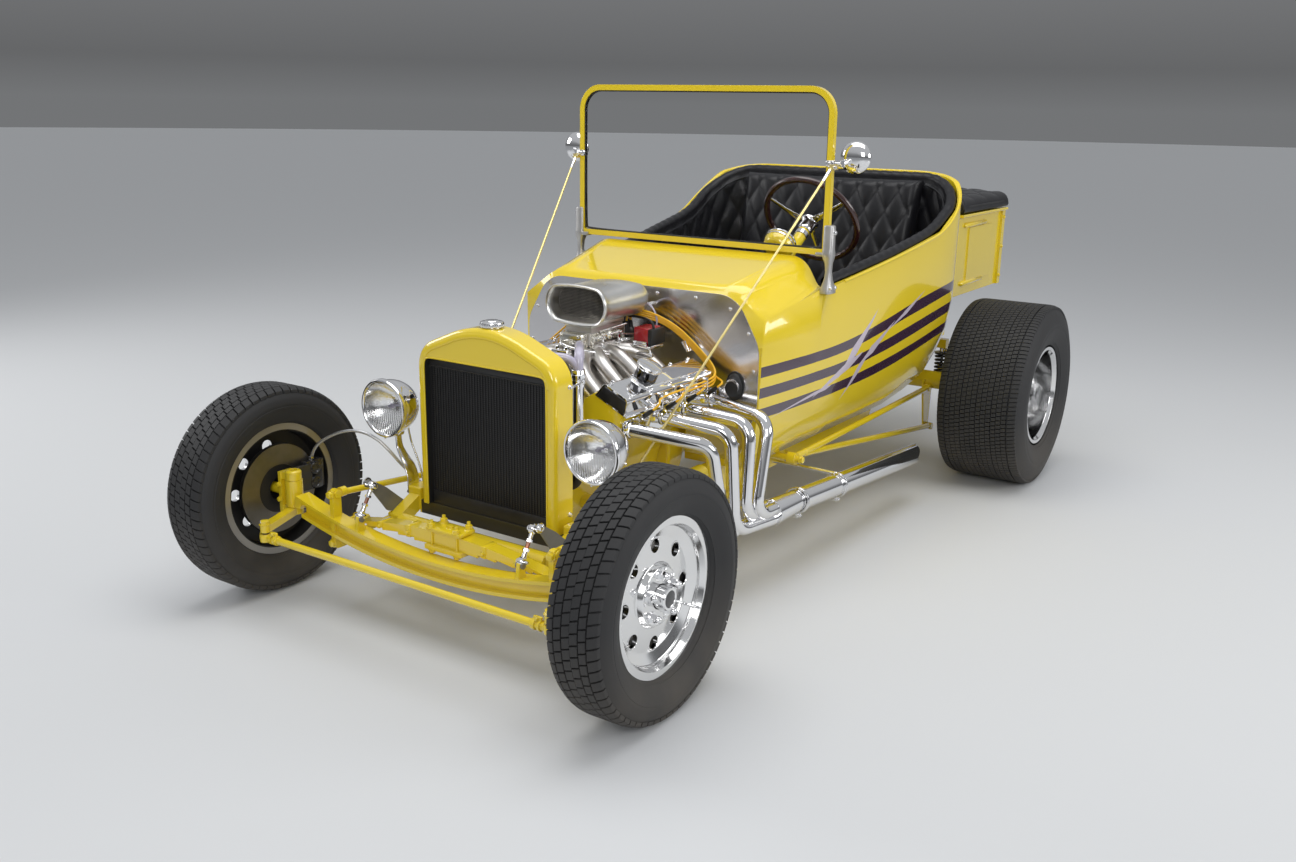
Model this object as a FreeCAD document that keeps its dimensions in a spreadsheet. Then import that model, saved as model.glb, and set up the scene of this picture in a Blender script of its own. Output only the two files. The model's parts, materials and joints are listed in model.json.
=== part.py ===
"""Open roadster pickup of the bucket kind: bare chassis, open V8, tub body and short bed.

Frame: the car faces -Y, its left side is +X, Z is up.  The origin is on the floor, midway
across and midway along.  Millimetres and degrees.
"""
import FreeCAD, Part
import math
import os
from FreeCAD import Placement, Rotation, Vector
from Part import Arc, LineSegment

X_AXIS = Vector(1, 0, 0)
Y_AXIS = Vector(0, 1, 0)
Z_AXIS = Vector(0, 0, 1)

doc = FreeCAD.newDocument("hot_rod")

# ---------------------------------------------------------------------------------------
# Driving dimensions
# ---------------------------------------------------------------------------------------
SIZES = {
    # chassis lay-out
    "wheelbase": 2556, "bed_gap": 5, "tail_lamp_depth": 30,
    # front tyres and wheels
    "front_tyre_radius": 325, "front_tyre_width": 182, "front_wheel_x": 718,
    "front_rim_width": 102, "rim_lip_radius": 207.5, "bead_radius": 190.5, "rim_wall": 6,
    # rear tyres and wheels
    "rear_tyre_radius": 370, "rear_tyre_width": 364, "rear_wheel_x": 783, "rear_rim_width": 305,
    # front axle, kingpins and steering
    "kingpin_x": 605, "kingpin_radius": 11, "kingpin_boss_radius": 27, "kingpin_boss_height": 84,
    "pin_clearance": 0.05, "axle_depth": 52, "axle_height": 56, "axle_web": 12,
    "axle_flange": 11, "axle_low_z": 189, "axle_rise": 84,
    "steering_arm_length": 168, "steering_arm_inset": 66, "tie_rod_radius": 11,
    "steering_wheel_radius": 178, "steering_rim_radius": 12,
    # frame
    "rail_width": 50, "rail_height": 100, "rail_top_z": 345, "rail_outer_x": 330,
    "rail_front_offset": 215, "kick_up": 205,
    # front spring
    "leaf_width": 45, "leaf_thickness": 8, "leaf_count": 5, "spring_half_span": 385,
    # body tub
    "body_wall": 16, "floor_thickness": 18, "tunnel_wall": 8, "firewall_offset": 978,
    "cowl_length": 362,
    "tub_length": 1535, "tub_corner_radius": 220, "sill_z": 347, "cowl_front_z": 930,
    "cowl_rear_z": 1012, "firewall_sheet": 3, "padding": 42,
    # windshield
    "screen_half_width": 506, "screen_bottom_z": 1031, "screen_top_z": 1554,
    "screen_tube_radius": 10, "screen_corner_radius": 80, "glass_thickness": 6,
    # bed
    "bed_half_width": 535, "bed_length": 560, "bed_bottom_z": 738, "bed_top_z": 1078,
    "bed_wall": 20, "lid_thickness": 58,
    # radiator
    "shell_half_width": 262, "shell_depth": 80, "shell_bottom_z": 309, "shell_shoulder_z": 774,
    "shell_peak_z": 881, "shell_border": 30, "shell_offset": 201,
    # engine
    "crank_z": 380, "engine_length": 475, "engine_front_offset": 428,
    "port_x": 318, "port_z": 578, "primary_radius": 21, "side_pipe_radius": 38,
    "pipe_wall": 3,
}

sheet = doc.addObject("Spreadsheet::Sheet", "Sizes")
for row, (alias, value) in enumerate(SIZES.items(), start=1):
    sheet.set(f"A{row}", alias)
    sheet.set(f"B{row}", str(value))
    sheet.setAlias(f"B{row}", alias)
doc.recompute()


class SheetReader:
    """Gives each cell of the sheet by its alias, as a number of millimetres."""

    def __getattr__(self, alias):
        return float(getattr(sheet, alias))


size = SheetReader()

# Places that the whole car is set out from; the origin is midway between the front tyres'
# front and the tail lamps' back
front_y = (size.front_tyre_radius - size.firewall_offset - size.tub_length - size.bed_gap
           - size.bed_length - size.tail_lamp_depth) / 2
rear_y = front_y + size.wheelbase
front_hub_z = size.front_tyre_radius
rear_hub_z = size.rear_tyre_radius
rail_x = size.rail_outer_x - size.rail_width / 2
rail_low_z = size.rail_top_z - size.rail_height
firewall_y = front_y + size.firewall_offset
cowl_y = firewall_y + size.cowl_length
tub_back_y = firewall_y + size.tub_length
bed_front_y = tub_back_y + size.bed_gap
bed_back_y = bed_front_y + size.bed_length
shell_y = front_y + size.shell_offset
engine_y = front_y + size.engine_front_offset
engine_back_y = engine_y + size.engine_length

nodes = []


# ---------------------------------------------------------------------------------------
# Ways of making things
# ---------------------------------------------------------------------------------------
def corner_arc(before, corner, after, radius):
    """The tangent arc of that radius at a corner, cut down where a run is too short."""
    to_before = (before - corner).normalize()
    to_after = (after - corner).normalize()
    half_angle = to_before.getAngle(to_after) / 2
    reach = min(radius / math.tan(half_angle), 0.49 * before.distanceToPoint(corner),
                0.49 * after.distanceToPoint(corner))
    true_radius = reach * math.tan(half_angle)
    bisector = (to_before + to_after).normalize()
    middle = corner + bisector * (true_radius / math.sin(half_angle) - true_radius)
    return corner + to_before * reach, middle, corner + to_after * reach


def rounded(points, radii, closed):
    """Line segments and tangent arcs through 3-D points, with a radius for each corner."""
    count = len(points)
    pieces = []
    start = None
    last = None
    order = range(count) if closed else range(1, count - 1)
    if not closed:
        last = points[0]
    for index in order:
        if radii[index] > 0:
            first, middle, end = corner_arc(points[index - 1], points[index],
                                            points[(index + 1) % count], radii[index])
        else:
            first = middle = end = points[index]
        if last is not None and last.distanceToPoint(first) > 1e-6:
            pieces.append(LineSegment(last, first))
        if radii[index] > 0:
            pieces.append(Arc(first, middle, end))
        if start is None:
            start = first
        last = end
    finish = start if closed else points[-1]
    if last.distanceToPoint(finish) > 1e-6:
        pieces.append(LineSegment(last, finish))
    return pieces


PLANES = {"XY_Plane": lambda u, v, w: Vector(u, v, w), "XZ_Plane": lambda u, v, w: Vector(u, w, v),
          "YZ_Plane": lambda u, v, w: Vector(w, u, v)}


def profile(plane, corners, offset=0):
    """Closed wire on a plane from rows of (across, up, corner radius)."""
    points = [PLANES[plane](row[0], row[1], offset) for row in corners]
    radii = [row[2] if len(row) > 2 else 0 for row in corners]
    return Part.Wire([piece.toShape() for piece in rounded(points, radii, True)])


def mirror_corners(half):
    """Rows of one side, given from the bottom up, followed by their mirror images down."""
    return list(half) + [(-row[0],) + tuple(row[1:]) for row in reversed(half)]


def add_sketch(body, plane, corners, name):
    """Sketch on one of the body's own planes, from rows of (across, up, corner radius)."""
    sketch = body.newObject("Sketcher::SketchObject", name)
    base = [item for item in body.Origin.OriginFeatures if item.Role == plane][0]
    sketch.AttachmentSupport = [(base, "")]
    sketch.MapMode = "FlatFace"
    points = [Vector(row[0], row[1], 0) for row in corners]
    radii = [row[2] if len(row) > 2 else 0 for row in corners]
    sketch.addGeometry(rounded(points, radii, True), False)
    return sketch


def padded(name, plane, corners, length, middle=True, holes=()):
    """Body with one sketch padded to a length, and more sketches pocketed right through."""
    body = doc.addObject("PartDesign::Body", name)
    pad = body.newObject("PartDesign::Pad", name + "_pad")
    pad.Profile = add_sketch(body, plane, corners, name + "_outline")
    pad.Midplane = middle
    if isinstance(length, str):
        pad.setExpression("Length", length)
    else:
        pad.Length = length
    for number, hole in enumerate(holes):
        doc.recompute()
        pocket = body.newObject("PartDesign::Pocket", f"{name}_pocket{number}")
        pocket.Profile = add_sketch(body, plane, hole, f"{name}_hole{number}")
        pocket.Type = "ThroughAll"
        pocket.Midplane = True
    return body


def turned(name, corners):
    """Body of revolution about its own X axis, from rows of (along, radius, corner radius)."""
    body = doc.addObject("PartDesign::Body", name)
    outline = add_sketch(body, "XZ_Plane", corners, name + "_outline")
    turn = body.newObject("PartDesign::Revolution", name + "_turn")
    turn.Profile = outline
    turn.ReferenceAxis = (outline, ["H_Axis"])
    turn.Angle = 360
    return body


def place(item, x=0, y=0, z=0, axis=Z_AXIS, angle=0):
    """Puts an object at a point, turned about an axis through that point."""
    item.Placement = Placement(Vector(x, y, z), Rotation(axis, angle))
    return item


def rod(name, start, end, radius):
    """Round bar between two points, bound to the sheet where the radius is an expression."""
    start, end = Vector(*start), Vector(*end)
    bar = doc.addObject("Part::Cylinder", name)
    if isinstance(radius, str):
        bar.setExpression("Radius", radius)
    else:
        bar.Radius = radius
    bar.Height = start.distanceToPoint(end)
    bar.Placement = Placement(start, Rotation(Z_AXIS, end - start))
    return bar


def block(name, low, high):
    """Rectangular block between two opposite corners."""
    box = doc.addObject("Part::Box", name)
    box.Length, box.Width, box.Height = [high[i] - low[i] for i in range(3)]
    box.Placement.Base = Vector(*low)
    return box


def shaped(name, shape):
    """Object whose shape the code makes itself."""
    item = doc.addObject("Part::Feature", name)
    item.Shape = shape
    return item


def bent_tube(name, points, radius, bend, bore=0):
    """Tube of round section swept along straight runs joined by tangent arcs."""
    points = [Vector(*point) for point in points]
    path = Part.Wire([piece.toShape() for piece in rounded(points, [bend] * len(points), False)])
    direction = points[1] - points[0]

    def sweep(section_radius):
        section = Part.Wire(Part.makeCircle(section_radius, points[0], direction))
        return path.makePipeShell([section], True, False)

    shape = sweep(radius)
    return shaped(name, shape.cut(sweep(bore)) if bore else shape)


def loft(name, wires, ruled=False):
    """Solid through a few closed wires."""
    return shaped(name, Part.makeLoft(wires, True, ruled))


def fused(name, items):
    """Joins items that touch, and keeps those that stand apart as solids of one object."""
    union = doc.addObject("Part::MultiFuse", name)
    union.Shapes = items
    return union


def cut(name, base, tool):
    """Takes a tool away from a base."""
    result = doc.addObject("Part::Cut", name)
    result.Base = base
    result.Tool = tool
    return result


def common(name, base, tool):
    """Keeps what two objects share."""
    result = doc.addObject("Part::Common", name)
    result.Base = base
    result.Tool = tool
    return result


def mirrored(item):
    """The same piece on the other side of the car."""
    twin = doc.addObject("Part::Mirroring", item.Name + "_right")
    twin.Source = item
    twin.Normal = X_AXIS
    return twin


def both_sides(items):
    """The items of the left side and their twins on the right."""
    return list(items) + [mirrored(item) for item in items]


def finished(label, items):
    """Registers a sub-part under the name of its file."""
    item = items[0] if len(items) == 1 else fused(label + "_joined", items)
    item.Label = label
    nodes.append(item)
    return item


# ---------------------------------------------------------------------------------------
# Tyres and wheels
# ---------------------------------------------------------------------------------------
def tyre(label, x, y, radius, width, rim_width, crown, side):
    """Hollow-bored tyre: flat tread with rounded shoulders and a bulging sidewall."""
    bead = rim_width / 2 - size.rim_wall
    bulge = size.bead_radius + 0.55 * (radius - size.bead_radius)
    half = width / 2
    outline = [(-bead, size.bead_radius), (bead, size.bead_radius),
               (half, bulge, 0.9 * (bulge - size.bead_radius)),
               (crown, radius, 26), (-crown, radius, 26),
               (-half, bulge, 0.9 * (bulge - size.bead_radius))]
    place(finished(label, [turned(label + "_ring", outline)]), side * x, y, radius)


def disc_wheel(label, x, y, hub_z, side, rim_width, disc_x, hub_x, cap_x, brake):
    """Polished rim of one revolve, with round holes in its disc, a hub, nuts, a cap and a brake.

    Along the axle the rows run outwards from the wheel's middle: disc_x is the disc's inner
    face, hub_x the hub's outer face and cap_x the end of the cap.
    """
    half = rim_width / 2
    lip = size.rim_lip_radius
    barrel = size.bead_radius
    wall = size.rim_wall
    disc = 11
    outline = [(-half, lip), (-half, barrel - wall), (disc_x, barrel - wall - 3, 8),
               (disc_x, 52), (disc_x, 33), (hub_x, 33), (hub_x, 76, 4),
               (disc_x + disc + 4, 84, 4), (disc_x + disc, 150, 6),
               (disc_x + disc + 12, barrel - wall - 4, 8), (half - 16, barrel - wall - 4, 6),
               (half, barrel - wall + 3, 2), (half, lip), (half - wall, lip),
               (half - wall, barrel), (wall - half, barrel), (wall - half, lip)]
    body = turned(label + "_rim", outline)
    doc.recompute()
    pocket = body.newObject("PartDesign::Pocket", label + "_window")
    window = body.newObject("Sketcher::SketchObject", label + "_window_outline")
    window.AttachmentSupport = [([item for item in body.Origin.OriginFeatures
                                  if item.Role == "YZ_Plane"][0], "")]
    window.MapMode = "FlatFace"
    window.addGeometry(Part.Circle(Vector(0, 0.68 * barrel, 0), Z_AXIS, 18), False)
    pocket.Profile = window
    pocket.Type = "ThroughAll"
    pocket.Midplane = True
    doc.recompute()
    pattern = body.newObject("PartDesign::PolarPattern", label + "_windows")
    pattern.Originals = [pocket]
    pattern.Axis = ([item for item in body.Origin.OriginFeatures if item.Role == "X_Axis"][0],
                    [""])
    pattern.Angle = 360
    pattern.Occurrences = 8
    body.Tip = pattern
    cap = turned(label + "_cap", [(disc_x, 0), (cap_x, 0), (cap_x, 29, 4), (disc_x, 33)])
    nuts = []
    for number in range(5):
        angle = math.radians(72 * number + 18)
        across, up = 57.15 * math.cos(angle), 57.15 * math.sin(angle)
        nuts.append(rod(f"{label}_nut{number}", (hub_x - 6, across, up),
                        (hub_x + 22, across, up), 9.5))
    wheel = finished(label, [body, cap, turned(label + "_brake", brake)] + nuts)
    place(wheel, side * x, y, hub_z, Z_AXIS, 0 if side > 0 else 180)


stub_radius = 17
stub_bore = stub_radius + 2
brake_disc_x = -44
brake_disc_radius = 140
brake_disc_width = 14
front_disc_x = 4
# front disc and its hat: along from the wheel's middle, radius
front_brake = [(brake_disc_x, stub_bore + 18), (brake_disc_x, brake_disc_radius),
               (brake_disc_x + brake_disc_width, brake_disc_radius),
               (brake_disc_x + brake_disc_width, 74), (front_disc_x, 74),
               (front_disc_x, stub_bore), (front_disc_x - 12, stub_bore),
               (front_disc_x - 12, stub_bore + 18)]
# rear drum, closed against the wheel
rear_disc_x = -60
drum_x = rear_disc_x - 41
spindle_radius = 30
rear_brake = [(drum_x, spindle_radius + 2), (drum_x, 132, 6), (rear_disc_x - 8, 132, 6),
              (rear_disc_x, 84), (rear_disc_x, spindle_radius + 2)]
for side, word in ((1, "left"), (-1, "right")):
    tyre(f"front_tyre_{word}", size.front_wheel_x, front_y, size.front_tyre_radius,
         size.front_tyre_width, size.front_rim_width, 66, side)
    disc_wheel(f"front_wheel_{word}", size.front_wheel_x, front_y, front_hub_z, side,
               size.front_rim_width, front_disc_x, 34, 62, front_brake)
    tyre(f"rear_tyre_{word}", size.rear_wheel_x, rear_y, size.rear_tyre_radius,
         size.rear_tyre_width, size.rear_rim_width, 156, side)
    disc_wheel(f"rear_wheel_{word}", size.rear_wheel_x, rear_y, rear_hub_z, side,
               size.rear_rim_width, rear_disc_x, -26, 30, rear_brake)


# ---------------------------------------------------------------------------------------
# Frame: two box rails that kick up over the rear axle, tied by cross members
# ---------------------------------------------------------------------------------------
rail_front_y = front_y + size.rail_front_offset
kick_y = rear_y - 420
rail_end_y = bed_back_y - 52
high_rail_z = size.rail_top_z + size.kick_up
rail_side = [(rail_front_y, rail_low_z + 30, 6), (rail_front_y, size.rail_top_z, 6),
             (kick_y + 25, size.rail_top_z, 60), (kick_y + 190, high_rail_z, 60),
             (rail_end_y, high_rail_z), (rail_end_y, high_rail_z - 70),
             (kick_y + 235, high_rail_z - 70, 60), (kick_y + 60, rail_low_z, 60),
             (rail_front_y + 90, rail_low_z, 30)]
rail = place(padded("rail", "YZ_Plane", rail_side, "Sizes.rail_width"), rail_x)
spring_y = front_y + 50
coil_y = rear_y + 76
front_tube_y = front_y + 140
cross_tube_radius = 30
spring_seat_z = rail_low_z + 14
rail_inner_x = rail_x - size.rail_width / 2
frame_pieces = both_sides([rail]) + [
    rod("front_cross_tube", (-rail_inner_x - 5, front_tube_y, rail_low_z + 10),
        (rail_inner_x + 5, front_tube_y, rail_low_z + 10), cross_tube_radius)]
# the front tube hangs off two gussets that run back to the rails
for side in (-1, 1):
    horn = [(front_tube_y - 12, rail_low_z - 16, 8), (front_tube_y - 12, rail_low_z + 34, 8),
            (rail_front_y + 4, size.rail_top_z - 20), (rail_front_y + 4, rail_low_z + 32)]
    frame_pieces.append(place(padded(f"horn{side}", "YZ_Plane", horn, 40), side * rail_x))
# spring perch: a plate and a short column on the tube
frame_pieces += [
    block("perch_plate", (-70, spring_y - 34, spring_seat_z), (70, front_tube_y, spring_seat_z + 14)),
    block("radiator_beam", (-rail_inner_x - 5, shell_y + 16, size.shell_bottom_z - 42),
          (rail_inner_x + 5, shell_y + size.shell_depth, size.shell_bottom_z)),
    block("gearbox_beam", (-rail_inner_x - 5, firewall_y + 470, rail_low_z),
          (rail_inner_x + 5, firewall_y + 520, rail_low_z + 22)),
    block("gearbox_pad", (-40, firewall_y + 474, rail_low_z + 22),
          (40, firewall_y + 516, rail_low_z + 56)),
    block("shock_beam", (-490, coil_y - 18, high_rail_z - 50), (490, coil_y + 18, high_rail_z - 12)),
    block("tail_beam", (-rail_inner_x - 5, rail_end_y - 50, high_rail_z - 60),
          (rail_inner_x + 5, rail_end_y - 5, high_rail_z - 10))]
finished("frame", frame_pieces)


# ---------------------------------------------------------------------------------------
# Front axle: forged I-beam dropped between its kingpin bosses
# ---------------------------------------------------------------------------------------
def arc_band(name, centre_z, radii, reach, middle_up, y, depth):
    """Bar bent to an arc across the car, between two radii about a centre on the middle line."""
    inner, outer = radii
    way = 1 if middle_up else -1
    half_angle = math.asin(reach / outer)

    def point(radius, angle):
        return Vector(radius * math.sin(angle), y, centre_z + way * radius * math.cos(angle))

    edges = [Arc(point(outer, -half_angle), point(outer, 0), point(outer, half_angle)),
             LineSegment(point(outer, half_angle), point(inner, half_angle)),
             Arc(point(inner, half_angle), point(inner, 0), point(inner, -half_angle)),
             LineSegment(point(inner, -half_angle), point(outer, -half_angle))]
    face = Part.Face(Part.Wire([edge.toShape() for edge in edges]))
    return shaped(name, face.extrude(Y_AXIS * depth))


axle_top_z = size.axle_low_z + size.axle_height
half_depth = size.axle_depth / 2
groove_depth = (size.axle_depth - size.axle_web) / 2
beam_half = size.kingpin_x - 20
beam_radius = (beam_half ** 2 + size.axle_rise ** 2) / (2 * size.axle_rise)
beam_centre_z = size.axle_low_z + beam_radius
groove_radii = (beam_radius - size.axle_height + size.axle_flange, beam_radius - size.axle_flange)
beam = arc_band("beam", beam_centre_z, (beam_radius - size.axle_height, beam_radius), beam_half,
                False, front_y - half_depth, size.axle_depth)
grooves = fused("grooves", [
    arc_band("groove_front", beam_centre_z, groove_radii, beam_half - 30, False,
             front_y - half_depth - 1, groove_depth + 1),
    arc_band("groove_back", beam_centre_z, groove_radii, beam_half - 30, False,
             front_y + half_depth - groove_depth, groove_depth + 1)])
boss_low_z = front_hub_z - size.kingpin_boss_height / 2
boss_top_z = front_hub_z + size.kingpin_boss_height / 2
ear = 22
ear_gap = 1
ear_top_z = boss_top_z + ear_gap + ear
ear_low_z = boss_low_z - ear_gap - ear
bracket_x = 420
hairpin_top_z = 358
hairpin_low_z = 205


def axle_side_pieces():
    """Kingpin boss and pin, spring and rod bracket, and damper tab of the left side."""
    kingpin = rod("kingpin", (size.kingpin_x, front_y, ear_low_z + 2),
                  (size.kingpin_x, front_y, ear_top_z + 3), "Sizes.kingpin_radius")
    boss = rod("boss", (size.kingpin_x, front_y, boss_low_z),
               (size.kingpin_x, front_y, boss_top_z), "Sizes.kingpin_boss_radius")
    bracket_side = [(front_y - 16, hairpin_low_z - 18, 12), (front_y + 36, hairpin_low_z - 18, 12),
                    (front_y + 36, hairpin_low_z + 20, 14), (front_y + 16, 240, 8),
                    (front_y + 16, hairpin_top_z + 16, 14), (front_y - 16, hairpin_top_z + 16, 14)]
    bracket = place(padded("rod_bracket", "YZ_Plane", bracket_side, 16), bracket_x)
    tab_side = [(front_y - 24, 262), (front_y - 18, 316, 12), (front_y + 2, 316, 12),
                (front_y + 8, 262)]
    tab = place(padded("damper_tab", "YZ_Plane", tab_side, 12), 309)
    return [kingpin, boss, bracket, tab]


# the beam's underside is stepped near its ends, where the steering arms sweep below it
arm_room = both_sides([block("arm_room", (size.kingpin_x - 57, front_y - half_depth - 1, size.axle_low_z),
                             (size.kingpin_x - 19, front_y + half_depth + 1, ear_low_z + ear + 6))])
i_beam = cut("i_beam", beam, fused("beam_cuts", [grooves] + arm_room))
finished("front_axle", [i_beam] + both_sides(axle_side_pieces()))


# ---------------------------------------------------------------------------------------
# Front spring: stepped leaves clamped on the perch and shackled to the axle brackets
# ---------------------------------------------------------------------------------------
spring_drop = 42
main_leaf_z = spring_seat_z + 14 + size.leaf_thickness * (size.leaf_count - 1)
leaf_radius = (size.spring_half_span ** 2 + spring_drop ** 2) / (2 * spring_drop)
leaf_centre_z = main_leaf_z - leaf_radius


def leaf(number):
    """One leaf of the pack, counted from the main leaf down; each is shorter than the last."""
    inner = leaf_radius - number * size.leaf_thickness
    return arc_band(f"leaf{number}", leaf_centre_z, (inner, inner + size.leaf_thickness),
                    size.spring_half_span * (1 - 0.17 * number), True,
                    spring_y - size.leaf_width / 2, size.leaf_width)


eye_z = main_leaf_z - 40
spring_eye = rod("spring_eye", (size.spring_half_span, spring_y - 22, eye_z),
                 (size.spring_half_span, spring_y + 22, eye_z), 13)
shackles = []
for offset in (-29, 29):
    shackle = [(size.spring_half_span - 15, eye_z - 13, 13), (size.spring_half_span - 13, eye_z + 15, 13),
               (bracket_x + 14, 276, 13), (bracket_x + 12, 248, 13)]
    plate = padded(f"shackle{offset}", "XZ_Plane", shackle, 6)
    shackles.append(place(plate, 0, spring_y + offset))
shackle_pins = [rod("shackle_pin0", (size.spring_half_span, spring_y - 35, eye_z),
                    (size.spring_half_span, spring_y + 35, eye_z), 7),
                rod("shackle_pin1", (bracket_x, spring_y - 40, 262), (bracket_x, spring_y + 35, 262), 7)]
clamp_top_z = main_leaf_z + size.leaf_thickness + 12
spring_clamp = [block("clamp_plate", (-62, spring_y - 30, main_leaf_z + size.leaf_thickness),
                      (62, spring_y + 30, clamp_top_z))]
for across in (-48, 48):
    for along in (-25.5, 25.5):
        spring_clamp.append(rod(f"u_bolt{across}_{along}", (across, spring_y + along, spring_seat_z + 14),
                                (across, spring_y + along, clamp_top_z + 16), 3))
finished("front_spring", [leaf(number) for number in range(int(size.leaf_count))]
         + both_sides([spring_eye] + shackles + shackle_pins) + spring_clamp)


# ---------------------------------------------------------------------------------------
# Friction dampers: plates pivoted on the frame, with a rod-ended link down to the axle
# ---------------------------------------------------------------------------------------
damper_x = 309
horn_x = rail_x + 20
damper_tip_z = 398
damper_side = [(front_y + 40, damper_tip_z, 9), (front_y + 52, damper_tip_z + 10, 9),
               (front_y + 118, 366, 26), (front_y + 196, 300, 16), (front_y + 186, 272, 16),
               (front_y + 120, 290, 20)]
damper_pieces = [
    place(padded("damper_plate", "YZ_Plane", damper_side, 5), horn_x + 2.5),
    rod("damper_pivot", (horn_x, front_y + 176, 292), (horn_x + 14, front_y + 176, 292), 14),
    rod("damper_tip_bolt", (damper_x - 8, front_y + 49, damper_tip_z),
        (horn_x + 10, front_y + 49, damper_tip_z), 5),
    rod("damper_link", (damper_x, front_y + 46, damper_tip_z - 6), (damper_x, front_y - 2, 312), 5),
    rod("damper_low_bolt", (damper_x - 12, front_y - 8, 304), (damper_x + 12, front_y - 8, 304), 9)]
finished("friction_dampers", both_sides(damper_pieces))


# ---------------------------------------------------------------------------------------
# Radius rods: a bent hairpin each side of each axle, with a threaded end on the frame
# ---------------------------------------------------------------------------------------
def hairpin(name, pivot, upper, lower, radius):
    """Two bars that leave an axle bracket, join at a tight bend and end on a frame bracket."""
    pivot, upper, lower = Vector(*pivot), Vector(*upper), Vector(*lower)
    along = (pivot - upper).normalize()
    bend = pivot - along * 62
    bars = bent_tube(name + "_bars", [upper, bend + along * 16, lower + (bend - lower) * 0.93, lower],
                     radius, 3 * radius)
    stem = rod(name + "_stem", bend - along * 20, pivot, radius + 1)
    ends = [rod(f"{name}_end{number}", end - X_AXIS * 14, end + X_AXIS * 14, radius + 3)
            for number, end in enumerate((upper, lower))]
    eye = rod(name + "_eye", pivot - X_AXIS * 15, pivot + X_AXIS * 15, radius + 9)
    return [bars, stem, eye] + ends


front_pivot = (rail_x + size.rail_width / 2 + 15, front_y + 900, 300)
front_rods = hairpin("front_hairpin", front_pivot, (bracket_x, front_y + 2, hairpin_top_z),
                     (bracket_x, front_y + 14, hairpin_low_z), 10)

rear_rod_x = 462
rear_pivot = (rear_rod_x, front_y + 1262, 326)
rear_top = (rear_rod_x, rear_y - 46, rear_hub_z - 28)
rear_low = (rear_rod_x, rear_y + 6, rear_hub_z - 208)
rear_rods = hairpin("rear_hairpin", rear_pivot, rear_top, rear_low, 12)
rear_rods.append(rod("rear_rod_stud", (rail_x + 20, rear_pivot[1], rear_pivot[2]),
                     (rear_rod_x + 30, rear_pivot[1], rear_pivot[2]), 11))
finished("radius_rods", both_sides(front_rods + rear_rods))


# ---------------------------------------------------------------------------------------
# Rear axle: banjo case, tubes, brake plates, and the brackets of rods and dampers
# ---------------------------------------------------------------------------------------
axle_end_x = size.rear_wheel_x + drum_x - 5
coil_x = 470
case = turned("case", [(-132, 0), (-132, 48), (-70, 128, 46), (70, 128, 46), (132, 48), (132, 0)])
place(case, 0, rear_y, rear_hub_z)
rod_plate = [(rear_y - 64, rear_hub_z + 4, 14), (rear_y + 44, rear_hub_z + 12, 14),
             (rear_y + 30, rear_hub_z - 226, 16), (rear_y - 16, rear_hub_z - 226, 16)]
rear_axle_pieces = [case,
    rod("axle_tube", (-axle_end_x, rear_y, rear_hub_z), (axle_end_x, rear_y, rear_hub_z), 38),
    rod("pinion_nose", (0, rear_y - 215, rear_hub_z), (0, rear_y - 60, rear_hub_z), 52)]
for side in (-1, 1):
    rear_axle_pieces += [
        rod(f"brake_plate{side}", (side * (axle_end_x - 8), rear_y, rear_hub_z),
            (side * axle_end_x, rear_y, rear_hub_z), 138),
        rod(f"spindle{side}", (side * (axle_end_x - 5), rear_y, rear_hub_z),
            (side * (size.rear_wheel_x + rear_disc_x - 6), rear_y, rear_hub_z), spindle_radius),
        place(padded(f"rod_plate{side}", "YZ_Plane", rod_plate, 8), side * (rear_rod_x - 18)),
        block(f"coil_foot{side}", (side * coil_x - 32, rear_y + 20, rear_hub_z - 42),
              (side * coil_x - 8, coil_y + 14, rear_hub_z - 10))]
gearbox_tail_y = firewall_y + 640
finished("rear_axle", rear_axle_pieces + [
    rod("shaft_tube", (0, gearbox_tail_y + 40, size.crank_z - 12), (0, rear_y - 255, rear_hub_z), 32),
    rod("shaft_yoke_front", (0, gearbox_tail_y, size.crank_z - 12),
        (0, gearbox_tail_y + 55, size.crank_z - 12), 38),
    rod("shaft_yoke_back", (0, rear_y - 270, rear_hub_z), (0, rear_y - 215, rear_hub_z), 40)])


# ---------------------------------------------------------------------------------------
# Rear coil-over dampers: body, coil and rod between the axle foot and the shock beam
# ---------------------------------------------------------------------------------------
def coil_over(name, low, high, turns):
    """Damper with its coil, drawn as a ribbed sleeve about the line between its eyes."""
    low, high = Vector(*low), Vector(*high)
    length = low.distanceToPoint(high)
    start, end = 0.18 * length, 0.78 * length
    pitch = (end - start) / turns
    outline = [(0, 0), (0, 12), (start - 12, 12), (start - 12, 34), (start, 34)]
    for turn in range(turns):
        outline += [(start + pitch * (turn + 0.25), 24), (start + pitch * (turn + 0.5), 33),
                    (start + pitch * (turn + 0.75), 33)]
    outline += [(end, 24), (end, 34), (end + 10, 34), (end + 10, 10), (length, 10), (length, 0)]
    body = turned(name, outline)
    body.Placement = Placement(low, Rotation(X_AXIS, high - low))
    return body


coil_low = (coil_x, coil_y, rear_hub_z - 26)
coil_high = (coil_x, coil_y, high_rail_z - 31)
coil_pieces = [coil_over("coil_over", coil_low, coil_high, 7),
               rod("coil_low_eye", (coil_x - 8, coil_y, coil_low[2]), (coil_x + 16, coil_y, coil_low[2]), 13)]
finished("rear_coil_overs", both_sides(coil_pieces))


# ---------------------------------------------------------------------------------------
# Knuckles: forked ears on the kingpin, a stub axle, steering arms and the brake caliper
# ---------------------------------------------------------------------------------------
ear_bore = size.kingpin_radius + size.pin_clearance
ball_y = front_y - size.steering_arm_length
ball_x = size.kingpin_x - size.steering_arm_inset
link_ball_y = front_y + 120
link_ball_x = size.kingpin_x - 82
link_arm_z = ear_top_z - ear


pad_gap = 5


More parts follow.
